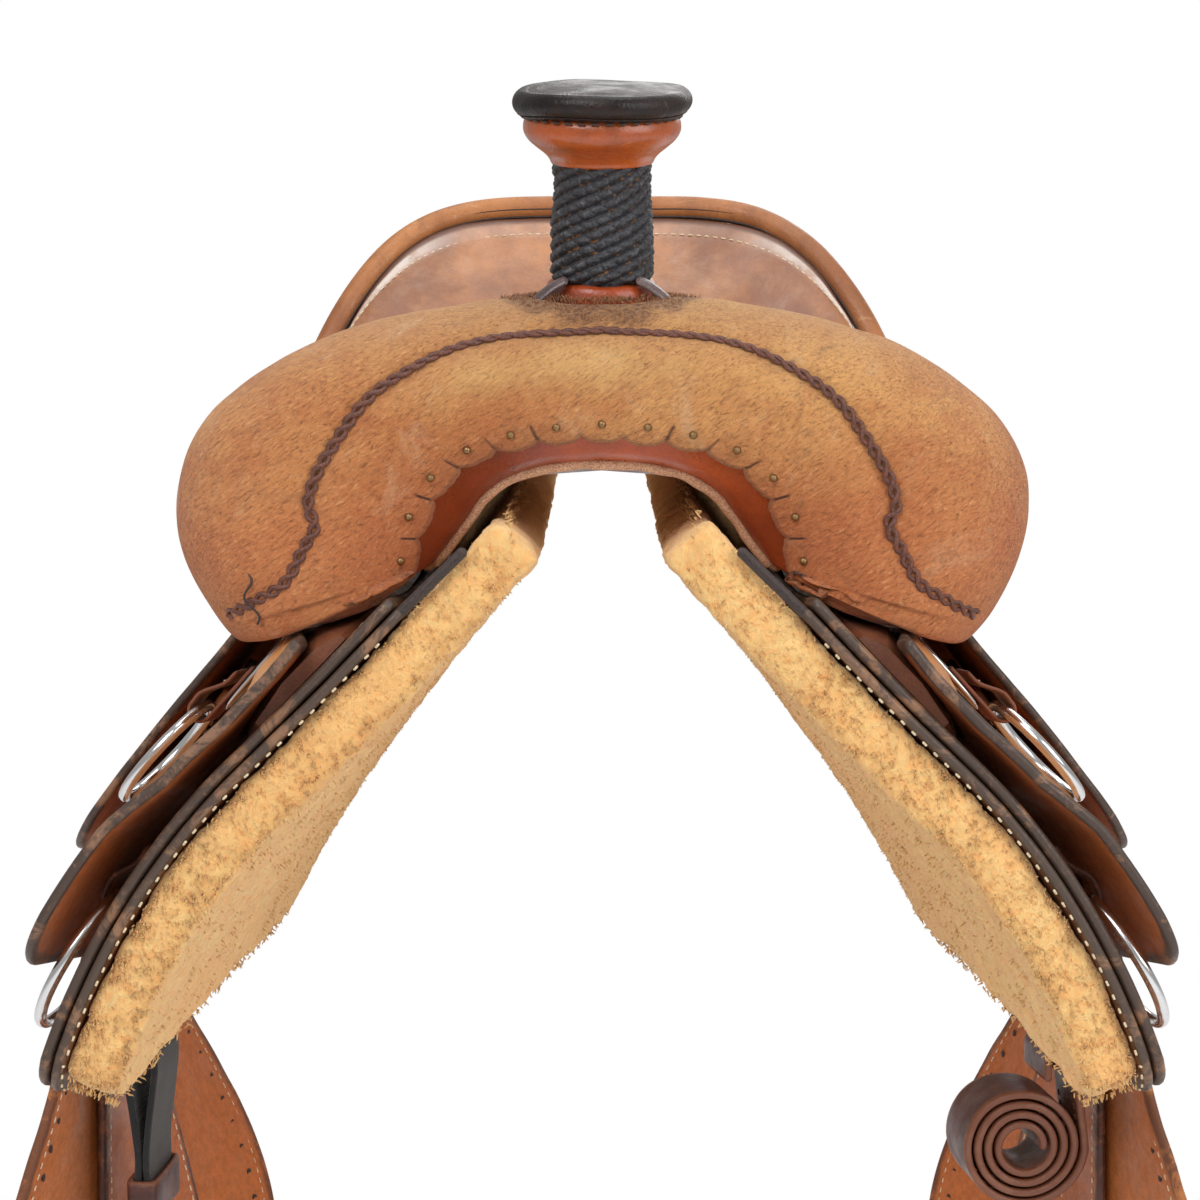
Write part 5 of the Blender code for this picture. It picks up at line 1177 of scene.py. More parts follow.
def buildSide(side, word):
    # fleece, skirts and jockeys of one side from the inside outwards, then stitches and the welt
    body = "saddle"
    wool = layerForm["wool"]
    fleeceSpec = {
        "front": sideForm["front"] + 0.006, "rear": sideForm["rear"] - 0.006,
        "top": lambda y: np.full_like(y, -0.006), "foot": lambda y: skirtFoot(y) - 0.007,
        "lift": lambda s, y: np.full_like(s, sideForm["fleece"] / 2),
    }
    grid, s, y = sideGrid(fleeceSpec, side, *layerForm["fleeceSize"])
    fleece = shellPiece(
        f"{word}Fleece", grid, sideForm["fleece"], sideNormal(s, y) * np.array([side, 1, 1]), body,
        finishes["wool"], rim=9, bulge=0.0035, extra={"reach": s}, move=woolShape(wool),
        nodes=(f"{word}_fleece",), slotName="fleece"
    )
    woolTufts(f"{word}FleeceLocks", side, body, wool, 5 if side > 0 else 6)
    for key, spec in layers.items():
        grid, s, y = sideGrid(spec, side, *spec["size"])
        finish = {"underskirt": "underskirt", "skirt": "skirt"}.get(key, "jockey")
        slotName = "skirt_edge" if key == "underskirt" else "skirting"
        name = word + "".join(part.capitalize() for part in key.split("_"))
        shellPiece(
            name, grid, spec["thickness"], sideNormal(s, y) * np.array([side, 1, 1]), body,
            finishes[finish], offset=1.0, rim=5, rough=layerForm["roughness"], nodes=(f"{word}_{key}",),
            slotName=slotName
        )
    buildSideStitches(side, word, body)
    # the dark welt on the inner front corner of the skirts
    s = np.linspace(0.048, 0.010, 60)
    yLine = np.full_like(s, sideForm["front"] + 0.001)
    line = sidePoint(s, yLine, np.linspace(0.0265, 0.0245, 60), side)
    tubePiece(
        f"{word}SkirtWelt", line, np.array([0, -1.0, 0]), *layerForm["welt"], body, finishes["welt"]
    )
    print(word, "layers ready")


# Fork, swell and gullet

swellForm = {
    "place": -0.190, "halfDepth": 0.047, "squareness": 2.4, "leather": 0.0035, "scallops": 13,
    "lobeDepth": 0.0088,
    "outer": [
        (0.0, 0.1100), (0.055, 0.1050), (0.109, 0.0925), (0.146, 0.0730), (0.169, 0.0510),
        (0.1775, 0.0225), (0.172, -0.0060), (0.153, -0.0340), (0.132, -0.0300)
    ],
    "inner": [
        (0.0, 0.0376), (0.020, 0.0362), (0.036, 0.0315), (0.046, 0.0245), (0.052, 0.0170),
        (0.058, 0.0095), (0.063, 0.0035), (0.067, -0.0005), (0.070, -0.0020)
    ],
    "footInner": (0.031, 0.0345), "footOuter": (0.0735, 0.0520),
    "lacing": [
        (0.0, 58.0), (0.118, 58.0), (0.212, 70.5), (0.345, 83.6), (0.497, 88.5), (0.565, 91.0),
        (0.680, 83.0), (0.715, 62.0), (0.728, 40.0)
    ],
    "coverSize": (420, 76), "liningSize": (210, 60), "lining": 0.0030, "lip": (0.0026, 0.0022),
    "looseThread": (0.0005, 0.0005),
    "relief": {"hollow": -0.0014, "roll": 0.0016, "broad": 0.0009, "fine": 0.0005, "horn": -0.0004},
    "laceSpread": 0.00165, "lacePitch": 0.0122, "laceHalves": (0.00105, 0.0008),
    "nail": [
        (0.0, 0.0015), (0.0007, 0.0014), (0.0013, 0.0010), (0.0017, 0.0003), (0.0017, -0.0004),
        (0.0, -0.0005)
    ],
}
for key, foot in (("outer", swellForm["footOuter"]), ("inner", swellForm["footInner"])):
    point = sidePoint(foot[0], swellForm["place"], foot[1])
    swellForm[key] = swellForm[key] + [(float(point[0]), float(point[2]))]


def swellPoint(t, turn, sunk=0.0):
    # turn 0 on the outer line, 90 at the front, 180 on the inner line:
    # a squared ellipse between the two lines
    t, turn = np.broadcast_arrays(np.asarray(t, float), np.asarray(turn, float))
    side = np.where(t < 0, -1.0, 1.0)
    outer, inner = along(swellForm["outer"], np.abs(t)), along(swellForm["inner"], np.abs(t))
    middle, span = (inner + outer) / 2, outer - inner
    reach = np.linalg.norm(span, axis=-1) / 2
    depth = swellForm["halfDepth"] - 0.006 * smoothStep((np.abs(t) - 0.8) / 0.2)
    power = 2.0 / swellForm["squareness"]
    angle = np.radians(turn)
    rise = signedPower(np.cos(angle), power)
    fore = signedPower(np.sin(angle), power)
    spot = middle + ((reach - sunk) * rise / (2 * reach))[..., None] * span
    return np.stack([side * spot[..., 0], swellForm["place"] - (depth - sunk) * fore, spot[..., 1]], -1)


def swellNormal(t, turn):
    # cross product of the small steps across and round the swell, turned outwards
    alongT = swellPoint(t + 0.004, turn) - swellPoint(t - 0.004, turn)
    alongTurn = swellPoint(t, turn + 1) - swellPoint(t, turn - 1)
    return facing(unit(np.cross(alongT, alongTurn)), swellPoint(t, turn) - swellCore(t))


def swellCore(t):
    # middle of the swell between its outer and inner lines
    outer, inner = along(swellForm["outer"], np.abs(t)), along(swellForm["inner"], np.abs(t))
    middle = (outer + inner) / 2
    return np.stack(
        [np.where(t < 0, -1, 1) * middle[..., 0], np.full(t.shape, swellForm["place"]), middle[..., 1]],
        -1
    )


def scallopTurn(t):
    # middle line of the scalloped edge: 120 degrees at the centre, 136 at the sides
    return 120.0 + 16.0 * smoothStep(np.abs(t) / 0.8)


def lobes(t):
    # equal scallops along the gullet edge: share of each lobe from 0 to 1, and the places of their middles
    steps = np.linspace(-0.87, 0.87, 1200)
    edge = swellPoint(steps, scallopTurn(steps))
    length = runLength(edge)
    share = np.interp(t, steps, length) / length[-1] * swellForm["scallops"]
    middles = np.interp(
        (np.arange(swellForm["scallops"]) + 0.5) / swellForm["scallops"] * length[-1], length, steps
    )
    return share % 1.0, middles


def coverEdge(t):
    # scallops: each lobe reaches out as a half round towards the lining
    share, _ = lobes(t)
    outer, inner = along(swellForm["outer"], np.abs(t)), along(swellForm["inner"], np.abs(t))
    reach = np.linalg.norm(outer - inner, axis=-1) / 2
    rounded = np.sqrt(np.maximum(1 - (2 * share - 1) ** 2, 0)) ** 0.7
    wobble = 0.0007 * lumps(np.stack([t * 0.5, t * 0, t * 0], -1), 0.006, 21)
    growth = np.where(
        np.abs(t) < 0.87, (swellForm["lobeDepth"] * (rounded - 0.55) + wobble) / np.maximum(reach, 0.012),
        0
    )
    return scallopTurn(t) + np.degrees(growth)


def laceTurn(t):
    # the lacing's turn at t, read from its smooth route
    route = np.array(swellForm["lacing"])
    dense = along(route, np.linspace(0, 1, 400))
    return np.interp(np.abs(t), dense[:, 0], dense[:, 1])


def buildSwellCover():
    # the cover from its scalloped edge round to the rear, sunk under the lacing and the horn
    rows, columns = swellForm["coverSize"]
    t = np.linspace(-1, 1, rows)
    t = np.sign(t) * np.abs(t) ** 0.95
    part = np.linspace(0, 1, columns) ** 1.15
    turn = coverEdge(t)[:, None] + (-118.0 - coverEdge(t))[:, None] * part
    tGrid = np.broadcast_to(t[:, None], turn.shape)
    grid = swellPoint(tGrid, turn)
    outward = grid - swellCore(tGrid)
    normals = facing(gridNormals(grid), outward)
    # a hollow along the lacing, a roll beside it and a soft unevenness in the hide
    laceLine = swellPoint(np.linspace(-0.728, 0.728, 500), laceTurn(np.linspace(-0.728, 0.728, 500)))
    near = np.full(grid.shape[:2], 1.0)
    for k in range(0, 500, 2):
        near = np.minimum(near, np.linalg.norm(grid - laceLine[k], axis=-1))
    hollow = np.exp(-(near / 0.0042) ** 2)
    roll = np.exp(-((near - 0.014) / 0.009) ** 2) * (turn > laceTurn(tGrid)) * (np.abs(tGrid) < 0.74)
    hornFoot = np.linalg.norm((grid - np.array([0, -0.186, 0.109])) * np.array([1, 1, 0.6]), axis=-1)
    horned = smoothStep((0.047 + 0.004 * lumps(grid, 0.010, 31) - hornFoot) / 0.007)
    relief = swellForm["relief"]
    heights = relief["hollow"] * hollow + relief["roll"] * roll + relief["broad"] * lumps(grid, 0.045, 32)
    heights = heights + relief["fine"] * lumps(grid, 0.014, 33) + relief["horn"] * horned
    grid = grid + normals * heights[..., None]
    grid = grid - np.array([0, 0, 1.0]) * (0.0034 * smoothStep((0.034 - hornFoot) / 0.009))[..., None]
    # painted highlight: this value marks the pale patch on the roll under the lacing at the top centre
    rubbed = roll * hump(tGrid, -0.05, 0.05, 0.17) * (0.6 + 0.4 * lumps(grid, 0.018, 34))
    share, _ = lobes(tGrid)
    slit = smoothStep((np.abs(share - 0.5) - 0.462) / 0.02)
    slit = slit * smoothStep((0.0075 - np.linalg.norm(grid - grid[:, :1], axis=-1)) / 0.002)
    slit = slit * (np.abs(tGrid) < 0.87)
    shellPiece(
        "swellCover", grid, swellForm["leather"], outward, "saddle", finishes["suede"], offset=-1.0,
        rim=4, extra={"nearHorn": horned, "slit": slit, "rubbed": rubbed}, nodes=("swell_cover",),
        slotName="roughout"
    )


def buildGulletLining():
    # under the scallops, round the lip and back through the tunnel
    rows, columns = swellForm["liningSize"]
    t = np.linspace(-1, 1, rows)
    part = np.linspace(0, 1, columns)
    start = scallopTurn(t) - 9.0
    turn = start[:, None] + (234.0 - start)[:, None] * part
    tGrid = np.broadcast_to(t[:, None], turn.shape)
    sunk = 0.0036 - 0.0024 * smoothStep((turn - scallopTurn(tGrid) - 8) / 16)
    grid = swellPoint(tGrid, turn, sunk)
    outward = grid - swellCore(tGrid)
    shellPiece(
        "gulletLining", grid, swellForm["lining"], outward, "saddle", finishes["lining"], offset=-1.0,
        rim=4, nodes=("gullet_lining",), slotName="rust_leather"
    )
    # pale raw edge of the lining along the lip
    t = np.linspace(-0.93, 0.93, 300)
    lip = swellPoint(t, 160.0 + 8 * smoothStep(np.abs(t) / 0.7), 0.0002)
    lip = lip + 0.0005 * np.stack([lumps(lip, 0.008, 41)] * 3, -1)
    tubePiece(
        "liningLip", lip, lip - swellCore(t), *swellForm["lip"], "saddle", finishes["lip"], steps=14
    )


def buildGulletNails():
    # a domed nail in the middle of each scallop
    _, middles = lobes(np.array([0.0]))
    turns = scallopTurn(middles) - 7.5
    heads = swellPoint(middles, turns)
    ups = swellNormal(middles, turns)
    studsPiece(
        "gulletNails", swellForm["nail"], heads + ups * 0.0003, ups,
        np.broadcast_to(np.array([1.0, 0, 0]), ups.shape), "saddle", finishes["brass"], steps=14
    )


def buildLacing():
    # two flat laces crossing along the seam: line + side spread sin(phase) + up height cos(phase)
    route = np.array(swellForm["lacing"])
    k = np.linspace(-1, 1, 1100)
    route = along(route, np.abs(k))
    t, turn = np.sign(k) * route[:, 0], route[:, 1]
    line = swellPoint(t, turn)
    up = swellNormal(t, turn)
    _, sides, rises = framesAlong(line, up)
    length = runLength(line)
    phase = 2 * math.pi * length / swellForm["lacePitch"]
    thin = 0.45 + 0.55 * smoothStep((np.abs(t) - 0.08) / 0.25)
    strands = []
    for turnBy in (0.0, math.pi):
        wave = swellForm["laceSpread"] * thin * np.sin(phase + turnBy)
        height = -0.0002 + 0.0004 * np.cos(phase + turnBy)
        strands.append(line + sides * wave[:, None] + rises * height[:, None])
    tubePiece(
        "swellLacing", strands, [rises, rises], *swellForm["laceHalves"], "saddle", finishes["lace"],
        steps=8, nodes=("swell_lacing",), slotName="dark_lace"
    )


def buildLooseThread():
    # a thread hanging from its small hole on the off side, with two slow bends
    spot = swellPoint(-0.655, 66.0)
    hang = np.linspace(0, 1, 30)[:, None]
    sideways, forwards = 0.0022 * np.sin(hang * 9), 0.0012 * np.sin(hang * 5)
    thread = spot + np.array([0.004, -0.0022, -0.022]) * hang
    thread = thread + sideways * np.array([1, 0, 0]) + forwards * np.array([0, -1, 0])
    tubePiece(
        "looseThread", thread, np.array([0, -1.0, 0]), *swellForm["looseThread"], "saddle",
        finishes["welt"], steps=6
    )


def buildSwell():
    # the cover, the lining, the nails, the lacing and the loose thread
    buildSwellCover()
    buildGulletLining()
    buildGulletNails()
    buildLacing()
    buildLooseThread()
    print("swell ready")


# Horn

hornForm = {
    "lean": 9.0, "foot": (0.0, -0.186, 0.1035),
    "collar": (-0.0030, 0.0112), "wrap": (0.0114, 0.0590), "bellTop": 0.0786, "cap": (0.0792, 0.0896),
    "capRadius": 0.0366,
    "strands": 11, "strandPitch": 0.0050, "wrapRadius": 0.0180, "strandHeight": 0.0024, "braid": 0.0046,
    "wrapSize": (170, 280), "wrapCore": 0.0162,
    "fray": {"length": 0.0016, "radius": 0.0002, "least": 0.4, "bend": 1.2, "sink": 0.0008, "thin": 0.8},
    "frayCount": 1500, "frayRing": (0.0262, 0.016),
}


def onHorn(local):
    # the horn's own axis leans forward by turning about X
    lean = math.radians(hornForm["lean"])
    x, y, z = local[..., 0], local[..., 1], local[..., 2]
    return np.stack(
        [x, y * math.cos(lean) - z * math.sin(lean), y * math.sin(lean) + z * math.cos(lean)], -1
    ) + np.array(hornForm["foot"])


def roundProfile(corners, steps=4):
    # a profile through corner points by Catmull-Rom
    corners = np.array(corners, float)
    return along(corners, np.linspace(0, 1, (len(corners) - 1) * steps + 1))


def buildHornCap():
    # a flat top, a half-round edge and a stepped underside, turned with a slight wobble
    capFoot, capTop = hornForm["cap"]
    radius = hornForm["capRadius"]
    profile = [
        (0.0, capTop + 0.0006), (0.012, capTop + 0.0006), (radius - 0.012, capTop + 0.0001),
        (radius - 0.006, capTop - 0.0008)
    ]
    profile = list(map(tuple, roundProfile(profile)))
    for angle in np.linspace(58, -62, 13):
        a = math.radians(angle)
        profile.append(
            (
                radius - 0.0062 + 0.0062 * math.cos(a),
                (capTop + capFoot) / 2 - 0.0001 + 0.0055 * math.sin(a)
            )
        )
    profile += [
        (radius - 0.0020, capFoot + 0.0008), (radius - 0.0030, capFoot + 0.0002),
        (radius - 0.0036, capFoot - 0.0006), (radius - 0.0046, capFoot - 0.0004),
        (radius - 0.006, capFoot + 0.0004), (0.018, capFoot + 0.0006), (0.0, capFoot + 0.0008)
    ]

    def wobble(local):
        angle = np.arctan2(local[..., 1], local[..., 0])
        spread = np.linalg.norm(local[..., :2], axis=-1)
        grow = 1 + 0.012 * lumps(local, 0.016, 51) * (spread > 0.01)
        local = local * np.stack([grow, grow, np.ones_like(grow)], -1)
        uneven = 0.0007 * lumps(local, 0.022, 52) * (spread / 0.036)
        local[..., 2] += uneven + 0.0004 * np.sin(3 * angle + 1.0) * (spread / 0.036)
        return local

    turnedPiece(
        "hornCap", profile, onHorn, "saddle", finishes["cap"], steps=160, move=wobble,
        nodes=("horn_cap",), slotName="dark_leather"
    )


def buildHornBell():
    # the flared leather under the cap, turned through its corner points
    bellTop = hornForm["bellTop"]
    bell = roundProfile([
        (0.0168, bellTop + 0.0008), (0.0292, bellTop + 0.0008), (0.0314, bellTop - 0.0008),
        (0.0323, bellTop - 0.0038), (0.0320, bellTop - 0.0068),
        (0.0300, bellTop - 0.0100), (0.0266, bellTop - 0.0130), (0.0236, bellTop - 0.0154),
        (0.0217, bellTop - 0.0176), (0.0208, bellTop - 0.0194), (0.0190, bellTop - 0.0199),
        (0.0168, bellTop - 0.0199),
    ], 5)
    bell = np.concatenate([bell, bell[:1]])

    def swell(local):
        wide = local * (1 + 0.006 * lumps(local, 0.012, 53))[..., None] * np.array([1, 1, 0])
        return wide + local * np.array([0, 0, 1])

    turnedPiece(
        "hornBell", bell, onHorn, "saddle", finishes["bell"], steps=128, move=swell,
        nodes=("horn_neck_leather",), slotName="rust_leather"
    )


def buildCapStitches():
    # a ring of stitches under the cap's edge
    capFoot, radius = hornForm["cap"][0], hornForm["capRadius"]
    angles = np.linspace(0, 2 * math.pi, 400)
    ring = np.stack(
        [
            (radius - 0.0044) * np.cos(angles), (radius - 0.0044) * np.sin(angles),
            np.full(400, capFoot - 0.0008)
        ],
        -1
    )
    out = np.stack([np.cos(angles), np.sin(angles), np.full(400, -0.8)], -1)
    stitchRow(
        "hornCapStitches", onHorn(ring), onHorn(ring + out) - onHorn(ring), "saddle", finishes["welt"],
        pitch=0.0055, length=0.0036, radius=0.0005, lift=0.0003
    )


def buildHornWrap():
    # laid strands rising round the neck: radius + height |sin| over the strand phase,
    # with a braid ripple along each
    foot, top = hornForm["wrap"]
    rows, steps = hornForm["wrapSize"]
    angle = np.linspace(0, 2 * math.pi, steps, endpoint=False)[None, :]
    height = np.linspace(foot - 0.0008, top + 0.0008, rows)[:, None]
    lead = hornForm["strandPitch"] * hornForm["strands"]
    phase = (height - lead * angle / (2 * math.pi)) / hornForm["strandPitch"]
    within = phase - np.floor(phase)
    strand = np.floor(phase)
    crown = np.abs(np.sin(math.pi * within)) ** 0.45
    run = angle * hornForm["wrapRadius"] / hornForm["braid"]
    braid = np.abs(np.sin(math.pi * (run + 0.9 * within + 0.37 * strand))) ** 0.7
    local = np.stack(np.broadcast_arrays(np.cos(angle), np.sin(angle), height), -1)
    uneven = lumps(
        np.stack(np.broadcast_arrays(0.02 * np.cos(angle), 0.02 * np.sin(angle), height), -1), 0.006, 55
    )
    belly = 0.0004 * np.cos(9 * height / (top - foot))
    radius = hornForm["wrapRadius"] + hornForm["strandHeight"] * crown
    radius = radius + 0.0007 * (braid - 0.5) * crown + 0.00045 * uneven + belly
    radius = radius + 0.0015 * smoothStep((foot + 0.034 - height) / 0.034) - 0.0022 * smoothStep(
        (foot + 0.0025 - height) / 0.003
    )
    local = local * np.stack([radius, radius, np.ones_like(radius)], -1)
    local[..., 2] += 0.0006 * np.sin(3 * angle) * (1 - 2 * (height - foot) / (top - foot))
    core = np.array([hornForm["wrapCore"], hornForm["wrapCore"], 1])
    first, last = local[:1] * core / np.array([radius[0, 0]] * 2 + [1]), local[-1:] * core / np.array(
        [radius[-1, 0]] * 2 + [1]
    )
    rings = [first, local, last]
    local = np.concatenate(rings)[::-1]
    crowns = np.concatenate([crown[:1] * 0, crown, crown[-1:] * 0])[::-1]
    makePiece(
        "hornWrap", onHorn(local), gridQuads(len(local), steps, closeRows=True, closeColumns=True),
        "saddle", finishes["wrap"], nodes=("horn_wrap",), slotName="wrap_cord",
        values={"crown": np.broadcast_to(crowns, local.shape[:2])}
    )


def buildHornCollar():
    # the collar under the wrap, and two ends of lace standing out of it
    foot, top = hornForm["collar"]
    collar = roundProfile(
        [
            (0.0170, top), (0.0200, top + 0.0002), (0.0226, top - 0.0022), (0.0238, foot + 0.0045),
            (0.0246, foot + 0.0006), (0.0200, foot), (0.0170, foot)
        ],
        4
    )
    collar = np.concatenate([collar, collar[:1]])
    turnedPiece(
        "hornCollar", collar, onHorn, "saddle", finishes["lining"], steps=96,
        move=lambda p: p + 0.0005 * lumps(p, 0.006, 54)[..., None] * np.array([0, 0, 1]),
        nodes=("horn_collar",), slotName="rust_leather"
    )
    ends = []
    for side in (-1, 1):
        k = np.linspace(0, 1, 20)
        ends.append(
            onHorn(
                np.stack(
                    [
                        side * (0.0150 + 0.0125 * k), -0.0172 - 0.0012 * k,
                        0.0135 - 0.0050 * k - 0.0040 * k**2
                    ],
                    -1
                )
            )
        )
    tubePiece(
        "hornLaceEnds", ends, [np.array([0, -0.5, 1.0])] * 2, 0.0032, 0.0013, "saddle", finishes["grey"],
        steps=10
    )


def buildHornFray():
    # a frayed ring of suede fibres round the collar, rooted on the swell
    random = np.random.default_rng(9)
    count = hornForm["frayCount"]
    angle = random.random(count) * 2 * math.pi
    spread = hornForm["frayRing"][0] + hornForm["frayRing"][1] * random.random(count) ** 1.6
    x = spread * np.cos(angle)
    depth = spread * np.sin(angle)
    # the swell's top near the centre, by its own formula at the turn that gives this depth
    fore = np.clip(-depth - 0.004, -0.042, 0.042) / swellForm["halfDepth"]
    turn = np.degrees(np.arcsin(np.clip(signedPower(fore, swellForm["squareness"] / 2), -1, 1)))
    places = np.linspace(0, 0.3, 100)
    t = np.interp(np.abs(x), along(swellForm["outer"], places)[:, 0], places) * np.where(x < 0, -1, 1)
    root = swellPoint(t, turn)
    lean = unit(
        np.stack([random.random(count) - 0.5, random.random(count) - 0.5, 0.5 + random.random(count)], -1)
    )
    fibreMesh("hornSuedeFray", root, lean, hornForm["fray"], random, "saddle", finishes["fray"])


def buildHorn():
    # the cap, the flared leather, the stitches, the wrap, the collar and the frayed suede
    buildHornCap()
    buildHornBell()
    buildCapStitches()
    buildHornWrap()
    buildHornCollar()
    buildHornFray()
    print("horn ready")


def wrapFinish(name):
    # black laid cord: grey rubbed crowns, tan fibres down in the grooves
    f = Finish(name, roughness=0.6, Specular_IOR_Level=0.4)
    crown = f.value("crown")
    fine = f.noise(900.0, 4, 0.75, 0.6)
    colour = f.mix(f.fade(fine, 0.35, 0.65), rgb(24, 24, 27), rgb(70, 70, 75))
    rubbed = f.math("MULTIPLY", f.fade(crown, 0.75, 1.0), f.fade(f.noise(260.0, 5, 0.75), 0.50, 0.68))
    colour = f.mix(f.math("MULTIPLY", rubbed, 0.6), colour, rgb(118, 118, 124))
    tan = f.math("MULTIPLY", f.fade(crown, 0.75, 0.35), f.fade(f.noise(330.0, 4, 0.7), 0.53, 0.62))
    colour = f.mix(f.math("MULTIPLY", tan, 0.85), colour, rgb(164, 112, 62))
    f.bump(fine, 0.0005, 0.7)
    return f.done(colour, f.fade(crown, 0.3, 1.0, (0.8, 0.42)))


finishes["wrap"] = wrapFinish("laidHornWrap")
finishes["grey"] = grainLeather("greyLace", rgb(118, 100, 98), rgb(78, 62, 62), gloss=0.3, coat=0.3)
finishes["fray"] = threadFinish("suedeFray", rgb(176, 122, 78), rgb(112, 70, 44))

# Seat and cantle

seatForm = {
    "rimHalf": 0.162, "rimTop": 0.155, "rimDrop": 0.089, "rimRound": 4.3, "rimBack": 0.252,
    "rimForward": 0.068, "rimPlan": 2.6,
    "roll": 0.0065, "rollHalves": (0.0065, 0.0064), "leather": 0.006, "backLeather": 0.0035,
    "size": (160, 136), "edgeStart": 0.083, "pitch": 0.0048,
    "rows": [
        (-0.1405, 0.0620, -0.1370, 2.0, 2.2), (-0.1050, 0.0490, -0.1020, 2.0, 2.2),
        (-0.0500, 0.0385, -0.0500, 2.0, 2.3),
        (0.0100, 0.0345, 0.0080, 2.0, 2.4), (0.0650, 0.0360, 0.0560, 2.0, 2.4),
        (0.1150, 0.0455, 0.0980, 2.0, 2.5),
        (0.1600, 0.0660, 0.1300, 2.1, 2.8), (0.1950, 0.0930, 0.1530, 2.3, 3.3),
        (0.2220, 0.1200, 0.1680, 2.5, 3.9), (0.2420, 0.1415, 0.1780, 2.6, 4.3),
    ],
    # across, then rear y and height of four levels of the cantle's back leather
    "back": [
        (0.0, (0.2724, 0.0600), (0.2692, 0.0867), (0.2660, 0.1135), (0.2627, 0.1410)),
        (0.0354, (0.2711, 0.0600), (0.2679, 0.0867), (0.2647, 0.1134), (0.2614, 0.1409)),
        (0.0676, (0.2675, 0.0355), (0.2634, 0.0696), (0.2593, 0.1037), (0.2551, 0.1388)),
        (0.0943, (0.2602, -0.0132), (0.2545, 0.0344), (0.2488, 0.0820), (0.2429, 0.1310)),
        (0.1135, (0.2450, -0.0169), (0.2397, 0.0274), (0.2344, 0.0718), (0.2289, 0.1175)),
        (0.1278, (0.2311, -0.0254), (0.2261, 0.0161), (0.2212, 0.0577), (0.2160, 0.1005)),
        (0.1399, (0.2182, -0.0389), (0.2135, 0.0005), (0.2087, 0.0398), (0.2039, 0.0803)),
    ],
}


def rimPoint(u, inset=0.0):
    # the cantle's rim from side to side, moved in across its own slope by inset
    u = np.asarray(u, float)
    half, power = seatForm["rimHalf"], seatForm["rimRound"]
    slope = -seatForm["rimDrop"] * power * np.abs(u) ** (power - 1) / half
    length = np.sqrt(1 + slope**2)
    y = seatForm["rimBack"] - seatForm["rimForward"] * np.abs(u) ** seatForm["rimPlan"]
    z = seatForm["rimTop"] - seatForm["rimDrop"] * np.abs(u) ** power
    return np.stack([half * u + np.sign(u) * inset * slope / length, y, z - inset / length], -1)


def seatEdge(y):
    # where the seat's side edge lies: on the bar's top, rising to the rim for the last rows
    rising = smoothStep((y - 0.085) / 0.093)
    lift = barLift + 0.028 + sideForm["layerGap"] + seatForm["leather"]
    lift = lift + 0.0165 * hump(y, -0.060, 0.095, 0.05) * smoothStep((y + 0.145) / 0.03)
    narrow = 0.024 * (1 - smoothStep((y + 0.140) / 0.075))
    low = sidePoint(seatForm["edgeStart"] - narrow, y, lift)
    high = rimPoint(1.0, 2 * seatForm["roll"] + 0.0004)
    return low + (np.array([high[0], float(y), high[2]]) - low) * rising


def seatGrid(rows, columns):
    # each row dips from its side edges to its middle by |u| to a power, and a smooth curve joins the rows
    u = np.sin(np.linspace(-math.pi / 2, math.pi / 2, columns)) * 0.5 + np.linspace(-1, 1, columns) * 0.5
    control = []
    for k, (middleY, middleZ, edgeY, plan, drop) in enumerate(seatForm["rows"]):
        edge = seatEdge(edgeY)
        if k == len(seatForm["rows"]) - 1:
            control.append(
                rimPoint(u * edge[0] / seatForm["rimHalf"], 2 * seatForm["roll"] + 0.0004)
                - np.array([0, seatForm["leather"], 0])
            )
        else:
            share = np.abs(u)
            control.append(
                np.stack(
                    [
                        edge[0] * u, middleY + (edgeY - middleY) * share**plan,
                        middleZ + (edge[2] - middleZ) * share**drop
                    ],
                    -1
                )
            )
    return along(np.array(control), np.linspace(0, 1, rows))


def buildSeat():
    # the seat's leather, with its paler band below the rim
    grid = seatGrid(*seatForm["size"])
    fromRim = np.linalg.norm(grid - grid[-1:], axis=-1)
    band = hump(fromRim, 0.0070, 0.0030, 0.008) * smoothStep((grid[..., 2] - 0.062) / 0.03)
    band = band * (0.16 + 0.84 * smoothStep((np.abs(grid[..., 0]) - 0.075) / 0.045))
    band = band * (0.85 + 0.3 * lumps(grid, 0.02, 62))
    shellPiece(
        "seatCover", grid, seatForm["leather"], np.array([0, -0.3, 1.0]), "saddle", finishes["seat"],
        offset=-1.0, rim=5, rough=0.0006, extra={"band": band}, nodes=("seat",), slotName="seat_leather"
    )
    buildCantleRoll(grid)
    buildCantleBack()
    buildSeatStitches()
    print("seat ready")


